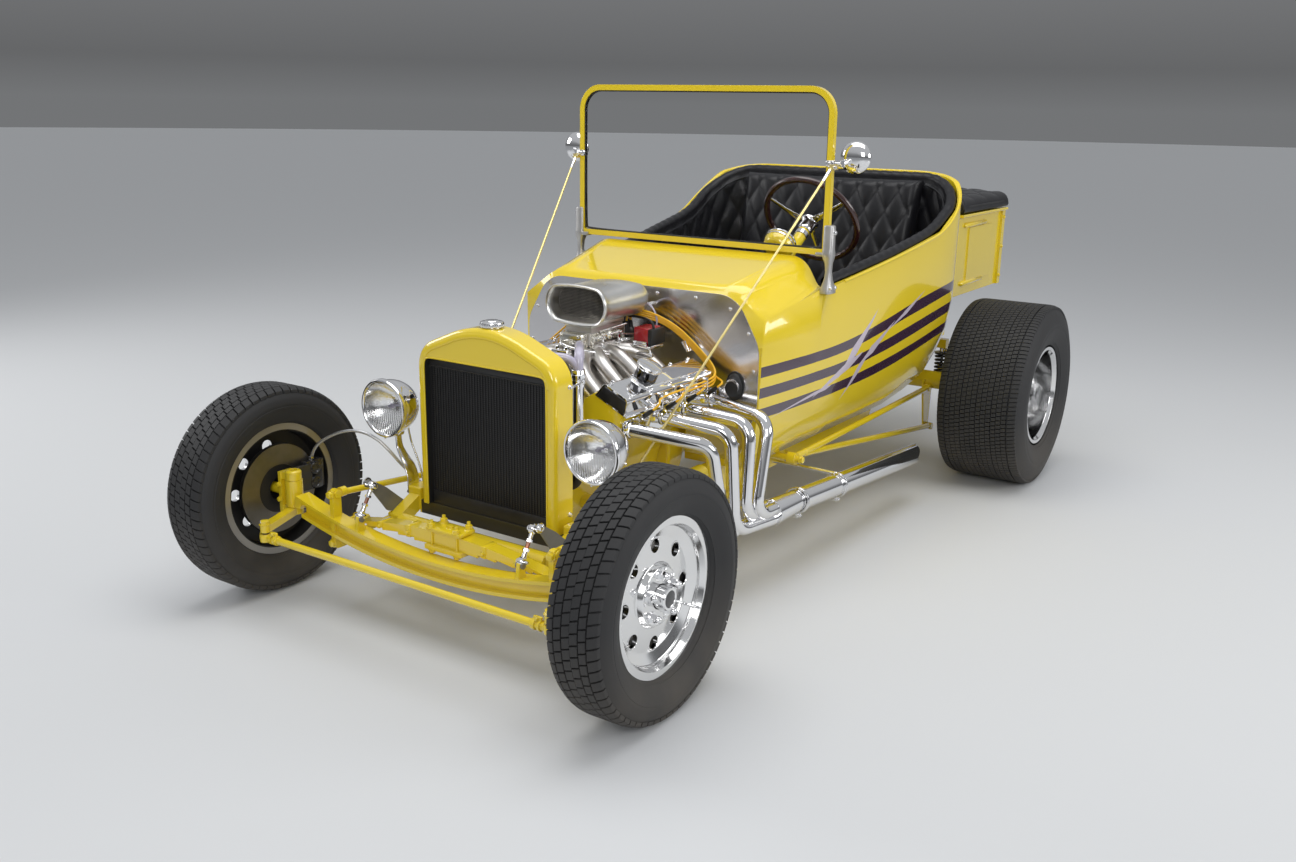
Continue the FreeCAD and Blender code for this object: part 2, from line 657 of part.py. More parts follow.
def bar(name, start, end, width, low_z, high_z):
    """Flat bar between two plan points, with round ends."""
    start, end = Vector(start[0], start[1], 0), Vector(end[0], end[1], 0)
    across = Z_AXIS.cross(end - start).normalize() * (width / 2)
    along = (end - start).normalize() * (width / 2)
    corners = [start + across, end + across, end - across, start - across]
    edges = [LineSegment(corners[0], corners[1]), Arc(corners[1], end + along, corners[2]),
             LineSegment(corners[2], corners[3]), Arc(corners[3], start - along, corners[0])]
    wire = Part.Wire([edge.toShape() for edge in edges])
    wire.translate(Z_AXIS * low_z)
    return shaped(name, Part.Face(wire).extrude(Z_AXIS * (high_z - low_z)))


def knuckle(word, with_link_arm):
    """All the solids of a left knuckle, joined, before the pin's and balls' bores."""
    name = f"knuckle_{word}"
    ears = [rod(f"{name}_top_ear", (size.kingpin_x, front_y, boss_top_z + ear_gap),
                (size.kingpin_x, front_y, ear_top_z), 25),
            rod(f"{name}_low_ear", (size.kingpin_x, front_y, ear_low_z),
                (size.kingpin_x, front_y, boss_low_z - ear_gap), 25)]
    yoke_x = size.kingpin_x + size.kingpin_boss_radius + 5
    yoke = block(f"{name}_yoke", (yoke_x, front_y - 24, ear_low_z), (yoke_x + 12, front_y + 24, ear_top_z))
    webs = [block(f"{name}_web{number}", (size.kingpin_x, front_y - 20, low),
                  (yoke_x + 2, front_y + 20, high))
            for number, (low, high) in enumerate(((boss_top_z + ear_gap, ear_top_z),
                                                  (ear_low_z, boss_low_z - ear_gap)))]
    stub = rod(f"{name}_stub", (yoke_x, front_y, front_hub_z),
               (size.front_wheel_x + front_disc_x - 6, front_y, front_hub_z), stub_radius)
    arm = bar(f"{name}_arm", (size.kingpin_x, front_y), (ball_x, ball_y), 30, ear_low_z, ear_low_z + ear)
    caliper_plate = bar(f"{name}_caliper_plate", (yoke_x + 7, front_y + 10), (yoke_x + 7, front_y + 96),
                        14, front_hub_z - 20, front_hub_z + 62)
    # the caliper bridges the disc behind the axle
    disc_x = size.front_wheel_x + brake_disc_x
    jaw = block(f"{name}_jaw", (disc_x - 24, front_y + 84, front_hub_z - 24),
                (disc_x + 34, front_y + 156, front_hub_z + 66))
    slot = block(f"{name}_slot", (disc_x - pad_gap, front_y + 70, front_hub_z - 40),
                 (disc_x + brake_disc_width + pad_gap, front_y + brake_disc_radius + pad_gap,
                  front_hub_z + 80))
    pieces = ears + webs + [yoke, stub, arm, caliper_plate, cut(f"{name}_caliper", jaw, slot)]
    if with_link_arm:
        pieces.append(bar(f"{name}_link_arm", (size.kingpin_x, front_y), (link_ball_x, link_ball_y),
                          28, link_arm_z, link_arm_z + ear))
    bores = [rod(f"{name}_pin_bore", (size.kingpin_x, front_y, ear_low_z - 1),
                 (size.kingpin_x, front_y, ear_top_z + 1), ear_bore)]
    return pieces, bores


ball_stud_radius = 8
link_stud_radius = 7
left_pieces, left_bores = knuckle("left", True)
left_bores += [rod("left_ball_bore", (ball_x, ball_y, ear_low_z - 1),
                   (ball_x, ball_y, ear_low_z + ear + 1), ball_stud_radius + size.pin_clearance),
               rod("left_link_bore", (link_ball_x, link_ball_y, link_arm_z - 1),
                   (link_ball_x, link_ball_y, link_arm_z + ear + 1),
                   link_stud_radius + size.pin_clearance)]
finished("knuckle_left", [cut("knuckle_left_bored", fused("knuckle_left_solid", left_pieces),
                              fused("knuckle_left_bores", left_bores))])
right_pieces, right_bores = knuckle("right", False)
right_solid = cut("knuckle_right_bored", fused("knuckle_right_solid", right_pieces), right_bores[0])
finished("knuckle_right", [mirrored(right_solid)])


# ---------------------------------------------------------------------------------------
# Tie rod: a tube between two eyes; its left stud turns in the knuckle's arm
# ---------------------------------------------------------------------------------------
tie_gap = 5
eye_top_z = ear_low_z - tie_gap
eye_low_z = eye_top_z - 24
tie_z = (eye_top_z + eye_low_z) / 2
finished("tie_rod", [
    rod("tie_tube", (-ball_x, ball_y, tie_z), (ball_x, ball_y, tie_z), "Sizes.tie_rod_radius"),
    rod("tie_eye_left", (ball_x, ball_y, eye_low_z), (ball_x, ball_y, eye_top_z), 17),
    rod("tie_eye_right", (-ball_x, ball_y, eye_low_z), (-ball_x, ball_y, eye_top_z), 17),
    rod("tie_stud_left", (ball_x, ball_y, tie_z), (ball_x, ball_y, ear_low_z + ear + 8),
        ball_stud_radius)])


# ---------------------------------------------------------------------------------------
# Steering box on the left rail, its drop arm, and the drag link to the left knuckle
# ---------------------------------------------------------------------------------------
box_y = front_y + 760
box_z = size.rail_top_z - 34
drop_length = 100
drop_x = rail_x + size.rail_width / 2 + 82
drag_y = box_y
drag_z = box_z - drop_length
sector_x = rail_x + size.rail_width / 2 + 60
steering_box = [
    rod("box_drum", (rail_x + size.rail_width / 2 - 2, box_y, box_z), (sector_x, box_y, box_z), 44),
    rod("box_worm", (rail_x + size.rail_width / 2 + 32, box_y - 60, box_z + 52),
        (rail_x + size.rail_width / 2 + 32, box_y + 60, box_z + 52), 30),
    rod("sector_shaft", (sector_x - 5, box_y, box_z), (drop_x + 12, box_y, box_z), 14)]
finished("steering_box", steering_box)
drop_rows = [(drag_y - 17, drag_z, 17), (box_y - 27, box_z + 20, 24), (box_y + 27, box_z + 20, 24),
             (drag_y + 17, drag_z, 17), (drag_y + 15, drag_z - 18, 15), (drag_y - 15, drag_z - 18, 15)]
drop = place(padded("drop_blade", "YZ_Plane", drop_rows, 14), drop_x)
drop_bores = [rod("drop_hub_bore", (drop_x - 20, box_y, box_z), (drop_x + 20, box_y, box_z),
                  14 + size.pin_clearance)]
finished("drop_arm", [cut("drop_bored", drop, drop_bores[0]),
                      rod("drop_stud", (drop_x + 7, drag_y, drag_z), (drop_x + 14, drag_y, drag_z), 9)])
drag_end = Vector(drop_x + 32, drag_y, drag_z)
drag_start = Vector(link_ball_x, link_ball_y, link_arm_z - 17)
finished("drag_link", [
    rod("drag_tube", drag_start, drag_end, 11),
    rod("drag_front_eye", (link_ball_x, link_ball_y, link_arm_z - 29),
        (link_ball_x, link_ball_y, link_arm_z - 5), 16),
    rod("drag_stud", (link_ball_x, link_ball_y, link_arm_z - 10),
        (link_ball_x, link_ball_y, link_arm_z + ear + 8), link_stud_radius),
    rod("drag_back_eye", (drag_end.x - 13, drag_y, drag_z), (drag_end.x + 13, drag_y, drag_z), 16)])


# ---------------------------------------------------------------------------------------
# Engine: V8 block with its gearbox, two heads, valve covers, manifold, carburettor, scoop
# ---------------------------------------------------------------------------------------
engine_mid_y = engine_y + size.engine_length / 2
deck_low_z = size.crank_z + 96
block_front = mirror_corners([(110, 205, 20), (126, 300, 10), (150, 400, 20),
                              (236, deck_low_z + 60, 8), (150, 640, 8)])
block_body = place(padded("block_body", "XZ_Plane", block_front, "Sizes.engine_length"), 0,
                   engine_mid_y)
gearbox_rows = [(0, 0), (0, 185, 10), (95, 178, 10), (175, 105, 20), (560, 80, 10), (620, 46, 6),
                (gearbox_tail_y - engine_back_y, 40), (gearbox_tail_y - engine_back_y, 0)]
gearbox = turned("gearbox_case", gearbox_rows)
gearbox.Placement = Placement(Vector(0, engine_back_y, size.crank_z - 12),
                              Rotation(X_AXIS, Y_AXIS))
front_cover = [
    place(padded("timing_cover", "XZ_Plane",
                 mirror_corners([(96, 260, 30), (112, 430, 40), (60, 560, 20)]), 36), 0,
          engine_y - 18),
    rod("water_pump", (0, engine_y - 84, 520), (0, engine_y, 520), 46),
    rod("crank_pulley", (0, engine_y - 96, size.crank_z), (0, engine_y - 30, size.crank_z), 84),
    rod("pump_pulley", (0, engine_y - 112, 520), (0, engine_y - 80, 520), 74),
    rod("left_mount", (110, engine_y + 85, 310), (rail_x - 20, engine_y + 85, 300), 24),
    rod("right_mount", (-110, engine_y + 85, 310), (20 - rail_x, engine_y + 85, 300), 24)]

# each head sits on its bank's sloping deck, with its ports facing out
head_rows = [(236, deck_low_z + 50), (size.port_x - 8, size.port_z - 34, 6),
             (size.port_x - 2, size.port_z + 34, 6), (330, 630, 6), (224, 682, 6), (152, 634, 6)]
head = place(padded("head_left", "XZ_Plane", head_rows, "Sizes.engine_length - 16"), 0, engine_mid_y)
finished("engine_block", [block_body, gearbox] + front_cover + both_sides([head]))

cover_rows = [(334, 626), (347, 677, 14), (264, 716, 14), (229, 676)]
cover = place(padded("cover_left", "XZ_Plane", cover_rows, "Sizes.engine_length - 4"), 0, engine_mid_y)
breather_foot = Vector(288, engine_y + 165, 694)
breather_way = Vector(0.42, 0, 0.91).normalize()
breather = [rod("breather_neck", breather_foot - breather_way * 6, breather_foot + breather_way * 12, 22),
            rod("breather_can", breather_foot + breather_way * 8, breather_foot + breather_way * 60, 34),
            rod("breather_top", breather_foot + breather_way * 52, breather_foot + breather_way * 62, 38)]
finished("valve_covers", both_sides([cover]) + breather)

# manifold and carburettor stand in the valley
manifold_rows = mirror_corners([(150, 640, 0), (150, 660, 14), (74, 716, 10), (62, 742, 6)])
manifold = place(padded("manifold_body", "XZ_Plane", manifold_rows, 300), 0, engine_mid_y)
scoop_front_y = firewall_y - 348
scoop_back_y = firewall_y - 66
carb_y = scoop_front_y + 105
scoop_low_z = 826
carburettor = [block("carb_base", (-58, carb_y - 80, 740), (58, carb_y + 90, 768)),
               block("carb_body", (-48, carb_y - 92, 766), (48, carb_y + 100, 806)),
               block("carb_horn", (-50, carb_y - 84, 800), (50, carb_y + 84, scoop_low_z))]
finished("intake", [manifold] + carburettor)

# scoop: oval duct open in front, behind a sunken mesh
scoop_length = scoop_back_y - scoop_front_y
scoop_wall = 5
scoop_half = 118
scoop_top_z = 956
scoop_rows = [(-scoop_half, scoop_low_z, 52), (scoop_half, scoop_low_z, 52),
              (scoop_half, scoop_top_z, 52), (-scoop_half, scoop_top_z, 52)]
scoop_bore = [(-scoop_half + scoop_wall, scoop_low_z + scoop_wall, 47),
              (scoop_half - scoop_wall, scoop_low_z + scoop_wall, 47),
              (scoop_half - scoop_wall, scoop_top_z - scoop_wall, 47),
              (-scoop_half + scoop_wall, scoop_top_z - scoop_wall, 47)]
scoop_outer = loft("scoop_outer", [profile("XZ_Plane", scoop_rows, scoop_front_y),
                                   profile("XZ_Plane", scoop_rows, scoop_back_y)], True)
scoop_inner = loft("scoop_inner", [profile("XZ_Plane", scoop_bore, scoop_front_y - 1),
                                   profile("XZ_Plane", scoop_bore, scoop_back_y - scoop_wall)], True)
scoop_throat = block("scoop_throat", (-40, carb_y - 74, scoop_low_z - 5),
                     (40, carb_y + 74, scoop_low_z + scoop_wall + 1))
scoop_mesh = loft("scoop_mesh", [profile("XZ_Plane", scoop_bore, scoop_front_y + 46),
                                 profile("XZ_Plane", scoop_bore, scoop_front_y + 49)], True)
finished("air_scoop", [cut("scoop_shell", scoop_outer, fused("scoop_hollow", [scoop_inner, scoop_throat])),
                       scoop_mesh])

# distributor at the back of the valley, and the coil can beside the carburettor
ignition_y = engine_back_y - 19
finished("ignition", [
    rod("distributor_body", (0, ignition_y, 630), (0, ignition_y, 760), 26),
    rod("distributor_cap", (0, ignition_y, 756), (0, ignition_y, 812), 46),
    block("coil_box", (92, engine_back_y - 86, 752), (166, engine_back_y - 6, 806)),
    block("coil_bracket", (50, engine_back_y - 106, 742), (170, engine_back_y - 22, 754))])


# ---------------------------------------------------------------------------------------
# Headers: four primaries a side swing out and down into a collector and a side pipe
# ---------------------------------------------------------------------------------------
PRIMARIES = [
    # port, then outer corner along the head, its x and z, low corner along the head, its x
    (48, 205, 508, 522, 268, 528), (224, 292, 524, 548, 306, 540),
    (354, 380, 540, 560, 346, 552), (512, 470, 556, 556, 386, 566),
]
collector_start = Vector(562, engine_y + 500, 242)
collector_end = Vector(578, engine_y + 650, 246)
outlet = Vector(622, front_y + 2010, 196)
clamp_radius = size.side_pipe_radius + 5


def header():
    """Left header: flange, primaries, collector and side pipe with its slanted mouth."""
    flange_rows = [(engine_y + 14, size.port_z - 30, 8), (engine_y + 538, size.port_z - 30, 8),
                   (engine_y + 538, size.port_z + 30, 8), (engine_y + 14, size.port_z + 30, 8)]
    pieces = [place(padded("header_flange", "YZ_Plane", flange_rows, 8), size.port_x + 2)]
    for number, (port, out_y, out_x, out_z, low_y, low_x) in enumerate(PRIMARIES):
        spread_x = 16 if number % 2 else -16
        spread_z = 16 if number > 1 else -16
        end = collector_start + Vector(spread_x, 20, spread_z)
        pieces.append(bent_tube(
            f"primary{number}",
            [(size.port_x, engine_y + port, size.port_z), (out_x, engine_y + out_y, out_z),
             (low_x, engine_y + low_y, 244 + spread_z), end], size.primary_radius, 62))
    collector_way = (collector_end - collector_start).normalize()
    collector = doc.addObject("Part::Cone", "collector")
    collector.Radius1 = 44
    collector.setExpression("Radius2", "Sizes.side_pipe_radius - 2")
    collector.Height = collector_start.distanceToPoint(collector_end)
    collector.Placement = Placement(collector_start, Rotation(Z_AXIS, collector_way))
    pipe_way = (outlet - collector_end).normalize()
    pipe = cut("side_pipe", rod("side_pipe_out", collector_end - pipe_way * 2, outlet,
                                "Sizes.side_pipe_radius"),
               rod("side_pipe_bore", collector_end + pipe_way * 8, outlet + pipe_way * 5,
                   "Sizes.side_pipe_radius - Sizes.pipe_wall"))
    slant = block("mouth_cut", (-90, -80, 0), (90, 80, 120))
    slant.Placement = Placement(outlet - pipe_way * 64, Rotation(X_AXIS, -52))
    clamps = [rod(f"clamp{number}", collector_end + pipe_way * start,
                  collector_end + pipe_way * (start + 16), clamp_radius)
              for number, start in enumerate((-4, 262))]
    hanger_y = collector_end.y + pipe_way.y * 270
    clamps.append(rod("pipe_hanger", (rail_x + 10, hanger_y, rail_low_z + 30),
                      (collector_end.x + 8, hanger_y, collector_end.z + 26), 7))
    bore = rod("clamp_bore", collector_end + pipe_way * 250, collector_end + pipe_way * 300,
               "Sizes.side_pipe_radius - Sizes.pipe_wall")
    return pieces + [collector, cut("pipe_mouth", pipe, slant),
                     cut("clamps_bored", fused("clamps", clamps), bore)]


left_header = fused("header_left", header())
finished("side_pipes", both_sides([left_header]))


# ---------------------------------------------------------------------------------------
# Radiator: core in a polished-edge shell with a peaked top, cap, hoses and overflow
# ---------------------------------------------------------------------------------------
inner_half = size.shell_half_width - size.shell_border
shell_rows = [(-size.shell_half_width, size.shell_bottom_z), (size.shell_half_width, size.shell_bottom_z),
              (size.shell_half_width, size.shell_shoulder_z + 22, 90), (0, size.shell_peak_z + 24, 600),
              (-size.shell_half_width, size.shell_shoulder_z + 22, 90)]
window_rows = [(-inner_half, size.shell_bottom_z - 1), (inner_half, size.shell_bottom_z - 1),
               (inner_half, size.shell_shoulder_z - 6, 26), (-inner_half, size.shell_shoulder_z - 6, 26)]
shell = place(padded("shell_hoop", "XZ_Plane", shell_rows, "Sizes.shell_depth", holes=[window_rows]),
              0, shell_y + size.shell_depth / 2)

# the pressed front rolls over into the sides and top; the bottom edge stays square
doc.recompute()
rolled = doc.addObject("Part::Fillet", "shell_rolled")
rolled.Base = shell
rolled.Edges = [(number, 16, 16) for number, edge in enumerate(shell.Shape.Edges, start=1)
                if edge.BoundBox.YMax < shell_y + 1 and edge.BoundBox.ZMax > size.shell_bottom_z + 1
                and (abs(edge.BoundBox.Center.x) > inner_half + 1
                     or edge.BoundBox.Center.z > size.shell_shoulder_z)]
finished("radiator_shell", [rolled])
core_back_y = shell_y + size.shell_depth + 12
core_top_z = size.shell_shoulder_z - 8
finished("radiator_core", [
    block("core_block", (1 - inner_half, shell_y + 22, size.shell_bottom_z),
          (inner_half - 1, core_back_y, core_top_z)),
    block("core_tank", (20 - inner_half, shell_y + size.shell_depth + 2, core_top_z - 90),
          (inner_half - 20, shell_y + size.shell_depth + 42, core_top_z - 4))])

cap_y = shell_y + 44
pipe_x = 232
pipe_y = shell_y + size.shell_depth + 66
finished("radiator_fittings", [
    rod("cap_neck", (0, cap_y, size.shell_peak_z - 39), (0, cap_y, size.shell_peak_z + 2), 24),
    rod("cap_top", (0, cap_y, size.shell_peak_z - 1), (0, cap_y, size.shell_peak_z + 17), 34),
    bent_tube("coolant_pipe", [(pipe_x, pipe_y, 470), (pipe_x, pipe_y, 762)], 17, 20),
    bent_tube("hose_left", [(pipe_x, pipe_y, 756), (pipe_x - 20, pipe_y + 30, 800),
                            (110, engine_y + 80, 800), (96, engine_y + 106, 690)], 15, 40),
    bent_tube("hose_core", [(pipe_x, pipe_y, 480), (pipe_x, pipe_y, 440),
                            (pipe_x - 60, core_back_y + 10, 420), (pipe_x - 60, core_back_y - 2, 420)],
              15, 24)])


# ---------------------------------------------------------------------------------------
# Headlamps: round shells on curved flat stands bolted to the rails
# ---------------------------------------------------------------------------------------
lamp_x = 397
lamp_z = 587
lamp_face_y = front_y + 185
lamp_rows = [(6, 0), (6, 84), (0, 84), (0, 92, 5), (14, 92, 4), (18, 87), (66, 78, 60),
             (116, 34, 40), (122, 0)]
lamp = turned("lamp_bucket", lamp_rows)
lamp.Placement = Placement(Vector(lamp_x, lamp_face_y, lamp_z), Rotation(X_AXIS, Y_AXIS))
stand = [bent_tube("lamp_stand", [(lamp_x, lamp_face_y + 62, lamp_z - 62), (lamp_x, lamp_face_y + 62, 470),
                                  (332, lamp_face_y + 58, 400), (rail_x + 22, lamp_face_y + 55, 322)],
                   11, 60),
         rod("stand_foot", (rail_x + 20, lamp_face_y + 55, 318), (rail_x + 34, lamp_face_y + 55, 318), 17),
         rod("stand_neck", (lamp_x, lamp_face_y + 62, lamp_z - 92),
             (lamp_x, lamp_face_y + 62, lamp_z - 70), 17)]
finished("headlamps", both_sides([lamp] + stand))
lens = turned("lamp_lens", [(-6, 0), (2, 83), (6, 83), (6, 0)])
lens.Placement = Placement(Vector(lamp_x, lamp_face_y, lamp_z), Rotation(X_AXIS, Y_AXIS))
finished("headlamp_lenses", both_sides([lens]))


# ---------------------------------------------------------------------------------------
# Body tub: plan outlines at four levels, cut to the cowl, the belt and the turned-up tail
# ---------------------------------------------------------------------------------------
TUB_LEVELS = [
    # height, half width at firewall, at cowl, at mid door, at tail
    (size.sill_z, 420, 422, 426, 428),
    (395, 446, 454, 468, 472),
    (460, 463, 476, 502, 510),
    (545, 473, 492, 532, 550),
    (640, 478, 502, 556, 584),
    (760, 480, 505, 570, 602),
    (1320, 480, 506, 576, 608),
]
mid_door_y = firewall_y + 850
tail_y = tub_back_y - size.tub_corner_radius


def tub_plan(level, inset, lift=0):
    """Closed plan outline of the tub at one level, moved in by a wall."""
    height, at_firewall, at_cowl, at_door, at_tail = level
    corner = size.tub_corner_radius - inset
    front, back = firewall_y + inset, tub_back_y - inset
    half = [Vector(at_firewall - inset, front, 0), Vector(at_cowl - inset, cowl_y, 0),
            Vector(at_door - inset, mid_door_y, 0), Vector(at_tail - inset, tail_y, 0)]
    turn = half[3] + Vector(-corner * (1 - math.sqrt(0.5)), corner * math.sqrt(0.5), 0)
    end = Vector(half[3].x - corner, back, 0)

    def flip(point):
        return Vector(-point.x, point.y, 0)

    edges = [LineSegment(half[0], half[1]), Arc(half[1], half[2], half[3]), Arc(half[3], turn, end),
             LineSegment(end, flip(end)), Arc(flip(end), flip(turn), flip(half[3])),
             Arc(flip(half[3]), flip(half[2]), flip(half[1])), LineSegment(flip(half[1]), flip(half[0])),
             LineSegment(flip(half[0]), half[0])]
    wire = Part.Wire([edge.toShape() for edge in edges])
    wire.translate(Z_AXIS * (height + lift))
    return wire


def tub_loft(name, inset, lift=0):
    """The tub's plan outlines joined from the sill up, moved in by a wall."""
    return loft(name, [tub_plan(level, inset, lift) for level in TUB_LEVELS], True)


def cowl_arch(inset, at_y, top_z, shoulder):
    """Closed arch across the car that bounds the cowl's top."""
    rows = mirror_corners([(620, 200), (620, top_z - 176), (485 - inset, top_z - 92 - inset, 60),
                           (shoulder - inset, top_z - inset, 90)])
    return profile("XZ_Plane", rows, at_y)


belt_front_z = 903
belt_side = [
    # side view of the cockpit's rim: along the car from the cowl, then up
    (0, belt_front_z), (482, 979), (840, 1041), (985, 1120), (1100, 1215), (1180, 1250),
    (1400, 1250),
]
cockpit_rows = [(cowl_y, 200)] + [(cowl_y + along, high, 90 if 400 < along < 1300 else 0)
                                  for along, high in belt_side] + [(cowl_y + 1400, 200)]


def tub_envelope(name, inset, high):
    """Region under the cowl's arch and under the cockpit's rim."""
    cowl = loft(name + "_cowl", [
        cowl_arch(inset, firewall_y - 5, size.cowl_front_z - 0.01 * inset, 360),
        cowl_arch(inset, cowl_y + 1, size.cowl_rear_z - 0.01 * inset, 430)], True)
    rows = cockpit_rows if not high else [(cowl_y, 200), (cowl_y, 1400), (cowl_y + 1400, 1400),
                                         (cowl_y + 1400, 200)]
    cockpit = place(padded(name + "_cockpit", "YZ_Plane", rows, 1500), 0)
    return fused(name, [cowl, cockpit])


# the tail turns up behind the sill, clear of the axle
tail_rows = [
    # along from the tub's back, up
    (-420, size.sill_z - 60), (-420, size.sill_z - 2), (-330, 388), (-190, 452), (-100, 540),
    (-30, 690), (10, 760), (60, 760), (60, size.sill_z - 60),
]


def tail_cutter(name, lift):
    """What the turned-up tail leaves away, lifted for the inside by the floor's thickness."""
    rows = [(tub_back_y + along, high + (lift if along < 50 and high > size.sill_z - 50 else 0),
             70 if -400 < along < 0 else 0) for along, high in tail_rows]
    return padded(name, "YZ_Plane", rows, 1400)


outer = common("tub_outer", tub_loft("tub_loft_outer", 0), tub_envelope("envelope_outer", 0, False))
outer = cut("tub_tail", outer, tail_cutter("tail_cut", 0))
inner = common("tub_inner", tub_loft("tub_loft_inner", size.body_wall, size.floor_thickness),
               tub_envelope("envelope_inner", size.body_wall, True))
inner = cut("tub_inner_tail", inner, tail_cutter("tail_cut_inside", size.floor_thickness))
# tunnel over the gearbox and the driveshaft
tunnel_top_z = size.crank_z + 172
tunnel_long_y = firewall_y + 520


def tunnel(name, grow):
    """Hump over the bell housing, then a lower one over the shaft."""
    tall = padded(name + "_tall", "XZ_Plane",
                  mirror_corners([(200 + grow, 300), (200 + grow, tunnel_top_z - 60 + grow, 50),
                                  (120 + grow, tunnel_top_z + grow, 60)]), 560 + grow)
    low = padded(name + "_low", "XZ_Plane",
                 mirror_corners([(80 + grow, 300), (80 + grow, 452 + grow, 40)]), 1300)
    place(tall, 0, firewall_y + 240 + grow / 2)
    place(low, 0, firewall_y + 620)
    return fused(name, [tall, low])


inner = cut("tub_room", inner, tunnel("tunnel_outside", size.tunnel_wall))
finished("body_tub", [cut("tub_bored", cut("tub_hollow", outer, inner), tunnel("tunnel_inside", 0))])

# firewall sheet stands just ahead of the tub's front and round its engine recess
firewall_rows = mirror_corners([(405, 372, 20), (470, 560, 90), (470, 760, 120), (380, 916, 110)])
sheet_hole = mirror_corners([(204, 340), (204, tunnel_top_z - 56, 50), (124, tunnel_top_z + 4, 60)])
sheet_panel = padded("firewall_panel", "XZ_Plane", firewall_rows, "Sizes.firewall_sheet",
                     holes=[sheet_hole])
place(sheet_panel, 0, firewall_y - size.firewall_sheet / 2)
boot = rod("column_boot", (388, firewall_y - 27, 626), (388, firewall_y - 2, 626), 25)
finished("firewall", [sheet_panel, boot])

dash_rows = mirror_corners([(470, 800, 20), (478, 890, 20), (420, 985, 50)])
finished("dash_panel", [place(padded("dash", "XZ_Plane", dash_rows, 16), 0, cowl_y - 22)])


# ---------------------------------------------------------------------------------------
# Upholstery: padded liner round the cockpit, a seat cushion and a sloped back
# ---------------------------------------------------------------------------------------
liner_gap = 1
liner_front_y = cowl_y + 90
liner_floor_z = size.sill_z + 110
liner_box = block("liner_box", (-700, liner_front_y, liner_floor_z), (700, tub_back_y + 50, 1400))
roll = 14
liner_side = [(cowl_y - 5, 300)] + [(cowl_y + along, high + roll, 90 if 400 < along < 1300 else 0)
                                    for along, high in belt_side] + [(cowl_y + 1400, 300)]
liner_rim = padded("liner_rim", "YZ_Plane", liner_side, 1500)
liner_out = tub_loft("liner_out", size.body_wall + liner_gap, size.floor_thickness)
liner_in = tub_loft("liner_in", size.body_wall + liner_gap + size.padding, size.floor_thickness - 5)
liner_wall = cut("liner_wall", common("liner_cut", common("liner_low", liner_out, liner_rim), liner_box),
                 liner_in)
liner_tail = cut("liner_clear", liner_wall, tail_cutter("liner_tail_cut", size.floor_thickness + 2))
finished("cockpit_liner", [liner_tail])

seat_back_y = tub_back_y - size.body_wall - size.padding - 4
seat_half = 488
seat_floor_z = size.sill_z + size.floor_thickness
seat_rows = [(seat_back_y - 560, seat_floor_z), (seat_back_y - 560, 640, 50),
             (seat_back_y - 186, 612, 20), (seat_back_y - 186, seat_floor_z)]
cushion = cut("cushion", padded("cushion_block", "YZ_Plane", seat_rows, 2 * seat_half),
              fused("under_cushion", [tunnel("tunnel_under_seat", size.tunnel_wall),
                                      tail_cutter("tail_under_seat", size.floor_thickness)]))
back_rows = [(seat_back_y - 186, 520, 10), (seat_back_y - 170, 640, 20), (seat_back_y - 60, 1210, 30),
             (seat_back_y - 6, 1236, 20), (seat_back_y - 6, 800, 10), (seat_back_y - 60, 640, 10),
             (seat_back_y - 90, 520, 10)]
finished("seat", [cushion, padded("back_block", "YZ_Plane", back_rows, 800)])


# ---------------------------------------------------------------------------------------
# Pickup bed: pressed sides with a raised panel, floor, tail panel, and a hinged padded lid
# ---------------------------------------------------------------------------------------
bed_outer = block("bed_outer", (-size.bed_half_width, bed_front_y, size.bed_bottom_z),
                  (size.bed_half_width, bed_back_y, size.bed_top_z))
bed_inner = block("bed_inner", (size.bed_wall - size.bed_half_width, bed_front_y + size.bed_wall,
                                size.bed_bottom_z + size.bed_wall),
                  (size.bed_half_width - size.bed_wall, bed_back_y - size.bed_wall,
                   size.bed_top_z + 10))
rail_lip = 16
lip_outer = block("lip_outer", (-size.bed_half_width - rail_lip, bed_front_y, size.bed_top_z - 12),
                  (size.bed_half_width + rail_lip, bed_back_y + rail_lip, size.bed_top_z))
lip_inner = block("lip_inner", (size.bed_wall - size.bed_half_width, bed_front_y - 1, size.bed_top_z - 20),
                  (size.bed_half_width - size.bed_wall, bed_back_y - size.bed_wall, size.bed_top_z + 10))
bed_feet = [block(f"bed_foot{side}{along}", (side * rail_x - 25, along, high_rail_z),
                  (side * rail_x + 25, along + 60, size.bed_bottom_z + 4))
            for side in (-1, 1) for along in (bed_front_y + 60, bed_back_y - 190)]
panels = both_sides([
    block("side_panel", (size.bed_half_width - 2, bed_front_y + 130, size.bed_bottom_z + 50),
          (size.bed_half_width + 5, bed_back_y - 130, size.bed_top_z - 60)),
    block("corner_post", (size.bed_half_width - 4, bed_back_y - 26, size.bed_bottom_z),
          (size.bed_half_width + 10, bed_back_y + 10, size.bed_top_z - 4))])
# the lid swings on two pins, each carried by a small post at the bed's front edge
lid_gap = 6
lid_low_z = size.bed_top_z + lid_gap
lid_front_y = bed_front_y + 16
hinge_y = bed_front_y + 5
hinge_z = lid_low_z + size.lid_thickness - 8
hinge_x = 400
hinge_pin_radius = 2.5
posts = both_sides([
    block("hinge_post", (hinge_x - 5, bed_front_y, size.bed_top_z),
          (hinge_x + 5, bed_front_y + 10, hinge_z + 5)),
    rod("hinge_pin", (hinge_x, hinge_y, hinge_z), (hinge_x + 18, hinge_y, hinge_z), hinge_pin_radius)])
finished("pickup_bed", [cut("bed_tub", bed_outer, bed_inner), cut("bed_lip", lip_outer, lip_inner)]
         + bed_feet + panels + posts)

